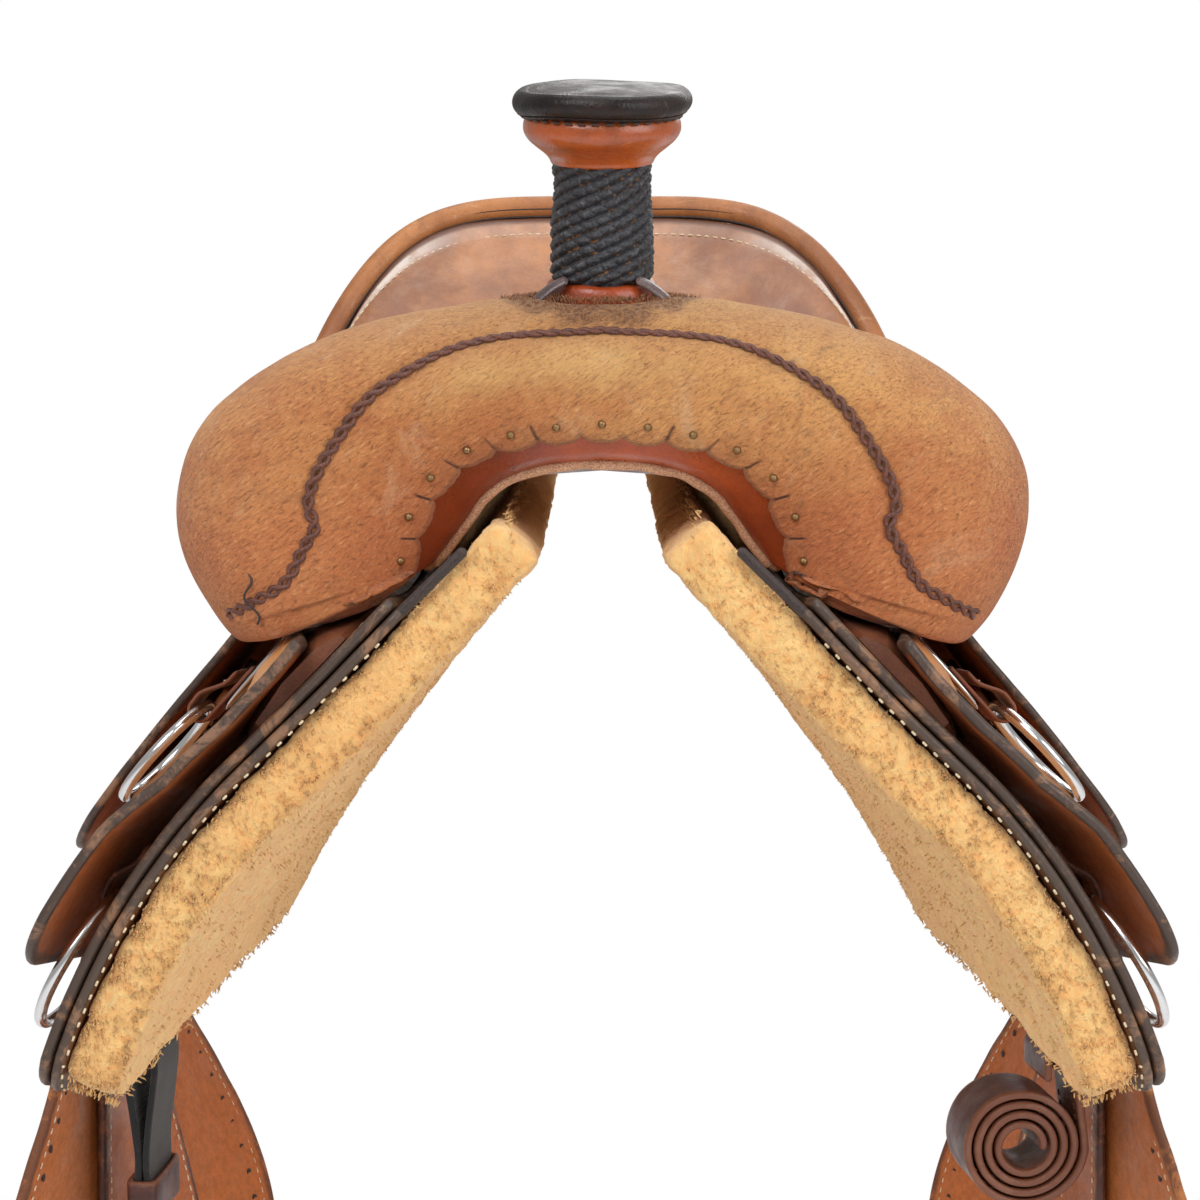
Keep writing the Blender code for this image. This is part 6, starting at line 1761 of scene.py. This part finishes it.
def buildCantleRoll(grid):
    # the roll on the rim, its seam, a dark line of painted shade in the crease towards the seat, and a row
    # of stitches on each side
    u = np.sin(np.linspace(-math.pi / 2, math.pi / 2, 400))
    roll = rimPoint(u, seatForm["roll"]) + np.array([0, 0.002, 0])
    roll = roll + 0.0004 * lumps(roll, 0.03, 61)[:, None] * np.array([0, 1, 1])
    inwards = rimPoint(u, seatForm["roll"] + 0.01) - rimPoint(u, seatForm["roll"])
    tubePiece(
        "cantleRoll", roll, np.array([0, -1.0, 0]), *seatForm["rollHalves"], "saddle",
        finishes["binding"], steps=30, nodes=("cantle_binding",), slotName="edge_leather"
    )
    seam = roll + unit(inwards) * 0.0052 + np.array([0, -0.0042, 0])
    tubePiece(
        "cantleSeam", seam, np.array([0, -1.0, 0]), 0.0007, 0.0006, "saddle", finishes["welt"], steps=8
    )
    # painted shade: a thin dark tube laid in the crease between the roll and the seat
    creaseShadeLine = roll + unit(inwards) * 0.0008 + np.array([0, -0.0063, 0])
    tubePiece(
        "cantleCreaseShade", creaseShadeLine, np.array([0, -1.0, 0]), 0.0004, 0.0004, "saddle", finishes["welt"],
        steps=6
    )
    inner = grid[-8]
    up = gridNormals(grid)[-8]
    up = facing(up, np.array([0, 0, 1.0]))
    stitchRow("cantleStitches", inner, up, "saddle", finishes["thread"], pitch=seatForm["pitch"])
    rear = roll + unit(inwards) * 0.0056 + np.array([0, 0.0050, 0])
    stitchRow(
        "cantleRearStitches", rear, np.array([0, 1.0, 0]), "saddle", finishes["thread"],
        pitch=seatForm["pitch"]
    )


def buildCantleBack():
    # a smooth sheet through the known points across the cantle at four levels
    side = np.array([[(x, y, z) for y, z in levels] for x, *levels in seatForm["back"]])
    control = np.concatenate([side[:0:-1] * np.array([-1, 1, 1]), side])
    lines = along(control, np.linspace(0, 1, 150))
    grid = along(np.swapaxes(lines, 0, 1), np.linspace(0, 1, 60))
    shellPiece(
        "cantleBack", grid, seatForm["backLeather"], np.array([0, 1.0, 0]), "saddle",
        finishes["cantleBack"], offset=-1.0, rim=4, rough=0.0004, nodes=("cantle_back",),
        slotName="seat_leather"
    )


def buildSeatStitches():
    # a row along each side edge of the seat
    grid = seatGrid(120, 90)
    normals = gridNormals(grid)
    normals = facing(normals, np.array([0, 0, 1.0]))
    lines = [grid[2:70, 3], grid[2:70, -4]]
    stitchRow(
        "seatEdgeStitches", lines, [normals[2:70, 3], normals[2:70, -4]], "saddle", finishes["thread"],
        pitch=seatForm["pitch"]
    )


# Straps and rings

strapForm = {
    "front": {
        "s": (0.170, 0.236), "y": -0.117, "width": 0.034, "ring": 0.033, "rod": 0.0036, "weight": 0.0032,
        "plumb": True
    },
    "breast": {
        "s": (0.150, 0.208), "y": -0.218, "width": 0.024, "ring": 0.033, "rod": 0.0026, "weight": 0.0022,
        "plumb": False
    },
    "rear": {
        "s": (0.196, 0.232), "y": 0.190, "width": 0.034, "ring": 0.033, "rod": 0.0036, "weight": 0.0032,
        "plumb": True
    },
    "tie": {
        "s": (0.110, 0.138), "y": -0.196, "width": 0.018, "ring": 0.026, "rod": 0.0024, "weight": 0.0022,
        "plumb": False, "shave": 0.72
    },
    "screw": [(0.0, 0.0016), (0.0016, 0.0013), (0.0026, 0.0004), (0.0027, -0.0002), (0.0, -0.0003)],
    "plate": (0.023, 0.012, 0.0016), "clearance": 0.0015, "latigo": (0.034, 0.0035, 0.0278, 0.0047, 4),
    "web": (0.036, 0.003),
}


def strapGrid(control, rows, columns):
    # control: points by the strap's two edges; spaced by the length of its middle, straight across
    control = np.asarray(control, float)
    middle = control.mean(1)
    length = runLength(middle)
    table = np.concatenate([length[:, None], control.reshape(len(control), 6)], 1)
    dense = smoothLine(table, np.linspace(0, length[-1], rows)).reshape(rows, 2, 3)
    part = np.linspace(0, 1, columns)[None, :, None]
    return dense[:, :1] * (1 - part) + dense[:, 1:] * part


def loopStrap(name, side, form, bed, material, body="saddle", **more):
    # down the side, round the rod and back over itself; gives the rod's middle and the ring's directions
    sTop, sRing = form["s"]
    width, weight, ring = form["width"], form["weight"], form["ring"]
    turnRadius = form["rod"] + strapForm["clearance"] * ring / 0.033 + weight / 2
    low = bed + weight / 2
    centreLift = low + turnRadius
    centre, down, back, out = flatFit(sRing, form["y"], side)
    control = []
    for s in np.linspace(sTop, sRing - 1.6 * turnRadius, 6):
        control.append([sidePoint(s, form["y"] + width * part, low, side) for part in (-0.5, 0.5)])
    sag = ring - math.sqrt(ring**2 - (width / 2) ** 2)
    over = low + weight + sideForm["bedGap"]
    ease = 0.9 * sag if form["plumb"] else 0.0
    path = [
        (turnRadius * math.cos(a), centreLift + turnRadius * math.sin(a))
        for a in np.radians(np.linspace(-90, 90, 13))
    ]
    path += [
        (-sag - 0.9 * turnRadius, centreLift + turnRadius + ease),
        (-sag - 3 * turnRadius, over + 0.0010 + ease), (-sag - 4.4 * turnRadius, over + 0.0004)
    ]
    for run, height in path:
        spot = centre + down * run + out * height
        control.append([spot - back * width / 2, spot + back * width / 2])
    control = np.array(control)
    grid = strapGrid(control, 110, 22)
    inside = -1.0 if (gridNormals(grid)[:20].mean((0, 1)) @ out) > 0 else 1.0
    shave = form.get("shave", 1.0)
    shellPiece(
        name, grid, weight * shave, gridNormals(grid) * inside, body, material, offset=0.0, rim=4,
        rough=0.0003 if shave == 1.0 else 0.0, **more
    )
    # a row of stitches across the return
    end = control[-2].mean(0)
    across = np.stack([end - back * width * 0.36, end + back * width * 0.36])
    line = across[:1] + (across[1:] - across[:1]) * np.linspace(0, 1, 20)[:, None] + out * weight / 2
    stitchRow(name + "Stitches", line, out, body, finishes["thread"], pitch=0.0036, length=0.0026)
    place = centre + out * centreLift
    if form["plumb"]:
        fall = np.array([0, 0, -1.0])
        down = unit(fall - back * (fall @ back))
        turned = np.cross(down, back)
        out = turned if turned @ out > 0 else -turned
    return place - down * sag, down, back, out


def ringPiece(name, place, form, body, **more):
    # a round rod along a circle: spot + down r (1 - cos a) + back r sin a
    spot, down, back, out = place
    angles = np.linspace(0, 2 * math.pi, 96, endpoint=False)[:, None]
    centre = spot + down * form["ring"]
    line = centre - down * np.cos(angles) * form["ring"] + back * np.sin(angles) * form["ring"]
    rod = form["rod"]
    tubePiece(name, line, out, rod, rod, body, finishes["steel"], steps=24, closed=True, **more)


def throughRing(place, thickness, width):
    # the strap's turn over the ring's low side
    spot, down, _, out = place
    ring, rod = strapForm["front"]["ring"], strapForm["front"]["rod"]
    sag = ring - math.sqrt(ring**2 - (width / 2) ** 2)
    crest = spot + down * (2 * ring - sag)
    radius = rod + strapForm["clearance"] + thickness / 2
    turn = [
        crest + out * radius * math.cos(a) - down * radius * math.sin(a)
        for a in np.radians(np.linspace(180, 0, 13))
    ]
    return [
        crest - out * radius + down * (sag + 0.6 * radius)
    ] + turn + [crest + out * radius + down * (sag + 0.6 * radius)]


def outwardQuads(quads, grid, centre):
    # the quads turned round if the grid's outer wall would face its own centre
    normal = np.cross(grid[5] - grid[4], np.roll(grid[4], -1, 0) - grid[4])
    return quads[:, ::-1] if (normal * (grid[4] - centre)).sum() < 0 else quads


def bandLoop(name, spot, across, outwards, up, halfWide, halfDeep, wall, height, body, material, **more):
    # a closed band: rounded-rectangle loops at the corners of its rounded cross-section
    angle = np.linspace(0, 2 * math.pi, 120, endpoint=False)
    cos, sin = np.cos(angle), np.sin(angle)
    def loop(grow, level):
        a, b = halfWide + grow, halfDeep + grow
        x = a * signedPower(cos, 0.22)
        y = b * signedPower(sin, 0.42)
        return spot + across * x[:, None] + outwards * y[:, None] + up * level
    ease = min(wall, height) * 0.25
    section = [
        (0, height / 2 - ease), (ease, height / 2), (wall - ease, height / 2), (wall, height / 2 - ease),
        (wall, 0), (wall, ease - height / 2), (wall - ease, -height / 2), (ease, -height / 2),
        (0, ease - height / 2), (0, 0)
    ]
    grid = np.stack([loop(*pair) for pair in section])
    quads = gridQuads(len(section), 120, closeRows=True, closeColumns=True)
    quads = outwardQuads(quads, grid, spot)
    length = runLength(grid[4])
    flat = np.stack(np.broadcast_arrays(length[None], np.arange(len(section))[:, None] * 0.003), -1)
    edge = np.array([0.001, 0.0, 0.0, 0.001, height / 2, 0.001, 0.0, 0.0, 0.001, height / 2])
    return makePiece(
        name, grid, quads, body, material, flat=flat,
        values={"edge": np.broadcast_to(edge[:, None], grid.shape[:2]), "face": np.ones(grid.shape[:2])},
        **more
    )


def strapAndRing(side, word, kind, bed, finish="strap", slotName="strap"):
    # a loop strap and the ring that swings in it
    form = strapForm[kind]
    rigging, title = ("_rigging", "Rigging") if form["plumb"] else ("", "")
    strap = f"{word}{kind.capitalize()}{title}Strap"
    node, ring = f"{word}_{kind}{rigging}_strap", f"{word}_{kind}{rigging}_ring"
    place = loopStrap(strap, side, form, bed, finishes[finish], nodes=(node,), slotName=slotName)
    ringPiece(
        f"{word}{kind.capitalize()}Ring", place, form, ring, nodes=(ring,), slotName="polished_steel"
    )
    return place


def buildTiePlate(side, word, jockeyTop):
    # a domed plate with two screws on the jockey: a squared ellipse, scaled at each level of its profile
    halfLong, halfWide, thick = strapForm["plate"]
    centre, down, back, out = flatFit(0.108, strapForm["tie"]["y"], side)
    centre = centre + out * (jockeyTop + thick / 2)
    angle = np.linspace(0, 2 * math.pi, 72, endpoint=False)
    long, wide = halfLong * signedPower(np.cos(angle), 0.55), halfWide * signedPower(np.sin(angle), 0.75)
    edge = down * long[:, None] + back * wide[:, None]
    profile = [
        (0.0, thick / 2 + 0.0012), (0.45, thick / 2 + 0.0010), (0.80, thick / 2 + 0.0003),
        (0.95, thick / 2),
        (1.0, thick / 4), (1.0, -thick / 4), (0.95, -thick / 2), (0.0, -thick / 2),
    ]
    grid = np.stack([centre + edge * scale + out * level for scale, level in profile])
    quads = outwardQuads(gridQuads(8, 72, closeColumns=True), grid, centre)
    makePiece(
        f"{word}TiePlate", grid, quads, "saddle", finishes["steel"], nodes=(f"{word}_tie_plate",),
        slotName="polished_steel"
    )
    apart = down * halfLong * 0.72
    heads = np.stack([centre + apart + out * thick / 2, centre - apart + out * thick / 2])
    studsPiece(
        f"{word}PlateScrews", strapForm["screw"], heads, np.stack([out, out]), np.stack([down, down]),
        "saddle", finishes["steel"], steps=20
    )


def buildRigging(side, word):
    # the three ring straps under the jockeys, then the plate and the tie strap on the front jockey
    bed = skirtTop + sideForm["bedGap"]
    front = strapAndRing(side, word, "front", bed)
    strapAndRing(side, word, "breast", bed)
    strapAndRing(side, word, "rear", bed)
    lifts = frontJockeyLift(np.array([0.10, 0.12, 0.14]), np.full(3, strapForm["tie"]["y"]))
    jockeyTop = float(np.max(lifts)) + 0.0045 + sideForm["layerGap"]
    buildTiePlate(side, word, jockeyTop)
    strapAndRing(
        side, word, "tie", jockeyTop + strapForm["plate"][2] + 0.0004, "rustStrap", "rust_leather"
    )
    if side > 0:
        buildLatigo(front)
    else:
        buildBillet(front)
    print(word, "rigging ready")


def buildLatigo(place):
    # through the ring, down, then a spiral whose radius shrinks by one pitch in each turn
    width, thickness, coilRadius, pitch, loops = strapForm["latigo"]
    back = place[2]
    turn = throughRing(place, thickness, width)
    out, fall = np.array([1.0, 0, 0]), np.array([0, 0, -1.0])
    start = turn[-1] + fall * (coilRadius + pitch) + out * 0.004
    heart = start - out * coilRadius
    k = np.arange(loops * 40 + 1)
    here = coilRadius - pitch * k / 40
    angle = 2 * math.pi * k / 40
    coil = heart + out * (here * np.cos(angle))[:, None] + fall * (here * np.sin(angle))[:, None]
    line = np.concatenate([np.array(turn), coil])
    control = np.stack([line - back * width / 2, line + back * width / 2], 1)
    grid = strapGrid(control, 420, 16)
    grid = grid + back * (0.0009 * lumps(grid.mean(1, keepdims=True), 0.02, 72))[..., None]
    normals = gridNormals(grid)
    shellPiece(
        "nearLatigo", grid, thickness, normals, "near_latigo_roll", finishes["latigo"], rim=5,
        nodes=("near_latigo",), slotName="latigo"
    )
    # a row of stitches along each edge of the outermost turn
    lines = [
        grid[40:224, 2] - normals[40:224, 2] * thickness / 2,
        grid[40:224, -3] - normals[40:224, -3] * thickness / 2
    ]
    stitchRow(
        "latigoStitches", lines, [-normals[40:224, 2], -normals[40:224, -3]], "near_latigo_roll",
        finishes["lace"], pitch=0.005
    )


def buildBillet(place):
    # webbing doubled through the ring, with its keeper round both layers
    width, thickness = strapForm["web"]
    back = place[2]
    turn = throughRing(place, thickness, width)
    fall, out = np.array([0, 0, -1.0]), np.array([-1.0, 0, 0])
    middle = (turn[0] + turn[-1]) / 2
    half = (thickness + sideForm["bedGap"]) / 2
    line = [middle - out * half + fall * drop for drop in (0.110, 0.090, 0.070, 0.050, 0.034)] + turn
    line += [middle + out * half + fall * drop for drop in (0.034, 0.050, 0.070, 0.082, 0.095)]
    line = np.array(line)
    control = np.stack([line - back * width / 2, line + back * width / 2], 1)
    grid = strapGrid(control, 300, 26)
    shellPiece(
        "offBillet", grid, thickness, gridNormals(grid), "off_billet_assembly", finishes["web"], rim=4,
        rough=0.0003, nodes=("off_billet",), slotName="webbing"
    )
    across = unit(np.array([back[0], back[1], 0]))
    depth = unit(np.cross(across, np.array([0, 0, 1.0])))
    bandLoop(
        "offBilletKeeper", middle + fall * 0.056, across, depth, np.array([0, 0, 1.0]), 0.0188, 0.0046,
        0.0028, 0.018, "off_billet_assembly", finishes["latigo"], nodes=("off_billet_keeper",),
        slotName="webbing"
    )


# Stirrup leathers, fenders and stirrups

hangForm = {
    "y": -0.060, "s": 0.100, "half": 0.038, "leather": 0.0045, "fender": 0.0042, "twist": 42.0,
    "twistStart": -0.170, "twistSpan": 0.300,
    "line": [
        (0.2190, -0.158), (0.2270, -0.190), (0.2280, -0.228), (0.2250, -0.272), (0.2205, -0.318),
        (0.2155, -0.364), (0.2105, -0.410), (0.2060, -0.453), (0.203, -0.495), (0.203, -0.545)
    ],
    "widths": [
        (0.040, 0.046), (0.150, 0.047), (0.190, 0.058), (0.235, 0.088), (0.290, 0.108), (0.350, 0.104),
        (0.415, 0.074), (0.460, 0.046), (0.490, 0.038)
    ],
    "reach": 0.00745, "close": 0.0070, "headHalf": 0.044, "ear": 0.016, "treadHalf": 0.065, "low": -0.150,
    "wall": 0.011, "depth": 0.046, "corner": 0.030,
    "buckle": (0.0125, 0.0120), "band": (0.004, 0.024), "bandLevel": -0.500, "holes": (0.019, 0.0026),
    "pitch": 0.0052,
    "fenderSpan": (0.11625, 0.8525), "fenderStitchInset": 0.007, "fenderDotInset": 0.014,
    "fenderDots": (0.013, 0.0021),
}


def hangLine():
    # points of the hanging leather in x and z: along the bar first, then down the side
    base, down, _, out = flatFit(hangForm["s"], hangForm["y"], 1)
    middle = base + out * (innerStrapLift + hangForm["leather"] / 2)
    return [
        (middle[0] + down[0] * a, middle[2] + down[2] * a) for a in (-0.036, 0.010, 0.056, 0.102)
    ] + hangForm["line"]


def hangFrame(t, side):
    # middle, width and outward directions of the hanging leather at t
    t = np.asarray(t, float)
    line = np.array(hangLine())
    here, after, before = along(line, t), along(
        line, np.minimum(t + 0.004, 1)
    ), along(line, np.maximum(t - 0.004, 0))
    twist = np.radians(hangForm["twist"]) * smoothStep(
        (hangForm["twistStart"] - here[..., 1]) / hangForm["twistSpan"]
    )
    width = np.stack([-np.sin(twist), np.cos(twist), np.zeros_like(twist)], -1)
    down = unit(
        np.stack(
            [after[..., 0] - before[..., 0], np.zeros_like(twist), after[..., 1] - before[..., 1]], -1
        )
    )
    out = np.cross(down, width)
    out = unit(np.where(out[..., :1] > 0, out, -out))
    mirror = np.array([side, 1, 1])
    return np.stack(
        [here[..., 0], np.full(t.shape, hangForm["y"]), here[..., 1]], -1
    ) * mirror, width * mirror, out * mirror


def buildStirrupLeather(side, word, body, core, boltWidth, boltOut):
    # down the side, half round the bolt and back up inside itself
    spot, width, out = hangFrame(np.linspace(0.0, 0.93, 60), side)
    up = np.array([0, 0, 1.0])
    line, widths = list(spot), list(width)
    for a in np.radians(np.linspace(0, 180, 17)):
        line.append(
            core + boltOut * hangForm["reach"] * math.cos(a) - up * hangForm["reach"] * math.sin(a)
        )
        widths.append(boltWidth)
    for rise, inward in (
        (0.018, 0.0), (0.030, hangForm["close"]), (0.046, hangForm["close"]), (0.062, hangForm["close"])
    ):
        line.append(core - boltOut * (hangForm["reach"] - inward) + up * rise)
        widths.append(boltWidth)
    line, widths = np.array(line), np.array(widths)
    control = np.stack([line - widths * hangForm["half"], line + widths * hangForm["half"]], 1)
    grid = strapGrid(control, 280, 26)
    normals = gridNormals(grid)
    if (normals[:100].mean((0, 1)) @ np.array([side, 0, 0])) < 0:
        normals = -normals
    shellPiece(
        f"{word}StirrupLeather", grid, hangForm["leather"], normals, body, finishes["strap"], rim=5,
        rough=0.0004, nodes=(f"{word}_stirrup_leather",), slotName="strap"
    )
    # oval holes down the middle of the inner face with a pale stitch line on each side
    hung = np.linspace(0.20, 0.86, 120)
    spot, width, out = hangFrame(hung, side)
    inner = spot - out * hangForm["leather"] / 2
    punchedRow(
        f"{word}LeatherHoles", inner, -out, body, finishes["hole"], *hangForm["holes"], stretch=1.5
    )
    stitchRow(
        f"{word}LeatherStitches",
        [inner + width * 0.0075, inner - width * 0.0075, inner + width * 0.034, inner - width * 0.034],
        [-out] * 4, body, finishes["thread"], pitch=hangForm["pitch"]
    )


def buildFender(side, word, body):
    # a sheet outside the leather, half its width read from a smooth line, with a row of stitches
    # and a punched border on both faces
    t = np.linspace(*hangForm["fenderSpan"], 126)
    spot, width, out = hangFrame(t, side)
    shift = hangForm["leather"] / 2 + sideForm["layerGap"] + 0.0008
    half = smoothLine(hangForm["widths"], -spot[:, 2])[:, 0]
    part = np.linspace(-1, 1, 60)
    grid = spot[:, None] + out[:, None] * shift + width[:, None] * (half[:, None] * part)[..., None]
    shellPiece(
        f"{word}Fender", grid, hangForm["fender"], np.array([side, 0, 0.0]), body, finishes["fender"],
        offset=1.0, rim=5, rough=0.0007, nodes=(f"{word}_fender",), slotName="fender"
    )
    for inset, label in (
        (hangForm["fenderStitchInset"], "Stitches"), (hangForm["fenderDotInset"], "Dots")
    ):
        lines, ups = [], []
        trim = slice(4, -4)
        for edge in (-1, 1):
            for face, level in ((1, shift + hangForm["fender"]), (-1, shift)):
                keep = half[trim] > 0.045
                path = (
                    spot[trim] + out[trim] * level + width[trim] * (edge * (half[trim] - inset))[:, None]
                )[keep]
                lines.append(path)
                ups.append((out[trim] * face)[keep])
        if label == "Stitches":
            stitchRow(
                f"{word}FenderStitches", lines, ups, body, finishes["thread"], pitch=hangForm["pitch"]
            )
        else:
            punchedRow(f"{word}FenderDots", lines, ups, body, finishes["hole"], *hangForm["fenderDots"])


def buildHobble(word, body, bolt, boltWidth, flatOut):
    # a strap round both layers above the stirrup, with a small buckle and its tongue
    up = np.array([0, 0, 1.0])
    inside = -2 * hangForm["reach"] + hangForm["close"] - hangForm["leather"] / 2 - 0.0012
    outside = hangForm["leather"] / 2 + 0.0016
    centre = np.array([bolt[0], bolt[1], hangForm["bandLevel"]]) + flatOut * (inside + outside) / 2
    bandLoop(
        f"{word}HobbleStrap", centre, boltWidth, flatOut, up, hangForm["half"] + 0.0012,
        (outside - inside) / 2, *hangForm["band"], body, finishes["strap"],
        nodes=(f"{word}_hobble_strap",), slotName="strap"
    )
    face = centre + flatOut * ((outside - inside) / 2 + 0.0046)
    corners = np.linspace(0, 2 * math.pi, 64, endpoint=False)
    halfWide, halfHigh = hangForm["buckle"]
    frameLine = face + boltWidth * (halfWide * signedPower(np.cos(corners), 0.5))[:, None]
    frameLine = frameLine + up * (halfHigh * signedPower(np.sin(corners), 0.5))[:, None]
    tubePiece(
        f"{word}HobbleBuckle", frameLine, flatOut, 0.0014, 0.0014, body, finishes["brass"], steps=12,
        closed=True
    )
    tongue = face + flatOut * 0.0004 + boltWidth * np.linspace(-0.0125, 0.0120, 12)[:, None]
    tubePiece(f"{word}HobbleTongue", tongue, flatOut, 0.0011, 0.0010, body, finishes["brass"], steps=10)


def buildHanging(side, word):
    # one side's leather, fender, hobble strap and stirrup; the bolt's place is the end of the hanging line
    body = f"{word}_fender_assembly"
    bolt, boltWidth, boltOut = [value[0] for value in hangFrame(np.array([1.0]), side)]
    core = bolt - boltOut * hangForm["reach"]
    flatOut = unit(np.array([boltOut[0], boltOut[1], 0]))
    buildStirrupLeather(side, word, body, core, boltWidth, boltOut)
    buildFender(side, word, body)
    buildHobble(word, body, bolt, boltWidth, flatOut)
    buildStirrup(word, core, boltWidth, flatOut)
    print(word, "fender ready")


def buildStirrup(word, core, across, outwards):
    # a bent wooden bow: the mid-line of its side view, swept across the depth
    body = f"{word}_stirrup_assembly"
    up = np.array([0, 0, 1.0])
    grow = hangForm["wall"] / 2
    half, head, low = hangForm["treadHalf"] + grow, hangForm["headHalf"] + grow, hangForm["low"] - grow
    drop = np.linspace(0, 1, 30)
    arm = [(head, z) for z in np.linspace(hangForm["ear"], -0.010, 10)]
    arm += [(head + (half - head) * smoothStep(k), -0.012 + (low * 0.62 + 0.012) * k) for k in drop[1:]]
    corner = hangForm["corner"] + grow
    arm += [
        (half - corner + corner * math.cos(a), low + corner - corner * math.sin(a))
        for a in np.radians(np.linspace(0, 90, 14))
    ]
    arm = np.array(arm)
    arm = arm[np.concatenate([[True], np.linalg.norm(np.diff(arm, axis=0), axis=1) > 0.0012])]
    path = np.concatenate(
        [
            arm, np.stack([np.linspace(arm[-1, 0], -arm[-1, 0], 24)[1:-1], np.full(22, low)], -1),
            arm[::-1] * np.array([-1, 1])
        ]
    )
    length = runLength(path)
    even = np.linspace(0, length[-1], 260)
    path = np.stack([np.interp(even, length, path[:, k]) for k in range(2)], -1)
    taper = 0.5 * hangForm["depth"] * (
        0.80 + 0.20 * smoothStep((hangForm["ear"] - path[:, 1] - 0.02) / 0.10)
    )
    part = np.linspace(-1, 1, 26)
    grid = core + across * path[:, :1, None] + up * path[:, 1:, None] + outwards * (
        taper[:, None] * part
    )[..., None]
    outward = grid - (core - up * 0.07)
    shellPiece(
        f"{word}Stirrup", grid, hangForm["wall"], outward, body, finishes["stirrupWood"], rim=7,
        rough=0.0003, bulge=0.0046, nodes=(f"{word}_stirrup",), slotName="stirrup_wood"
    )
    reach = hangForm["headHalf"] + hangForm["wall"]
    head = [
        (0.0, reach + 0.0048), (0.0048, reach + 0.0046), (0.0074, reach + 0.0030),
        (0.0080, reach + 0.0004), (0.0045, reach + 0.0002)
    ]
    ends = head + [(radius, -height) for radius, height in head[::-1]]
    studsPiece(
        f"{word}StirrupBolt", ends, core[None], across[None], outwards[None], body, finishes["steel"],
        steps=32, nodes=(f"{word}_stirrup_bolt",), slotName="polished_steel"
    )


# The tree and the rest of the frame's own pieces

nodeFinishes = {
    "fork": "wood", "cantle_board": "strainer", "near_bar": "tunnel", "off_bar": "tunnel",
    "ground_seat": "tunnel"
}


def dressFrameNodes():
    # the frame's own solids that stay in sight get their finish
    for name, node in cadNodes.items():
        if node.hide_render:
            continue
        node.data.materials.clear()
        node.data.materials.append(finishes[nodeFinishes.get(name, "cast")])
        print("kept as it is:", name)


buildStudio()
buildSwell()
buildHorn()
buildSeat()
for side, word in ((1, "near"), (-1, "off")):
    buildSide(side, word)
    buildRigging(side, word)
    buildHanging(side, word)
dressFrameNodes()
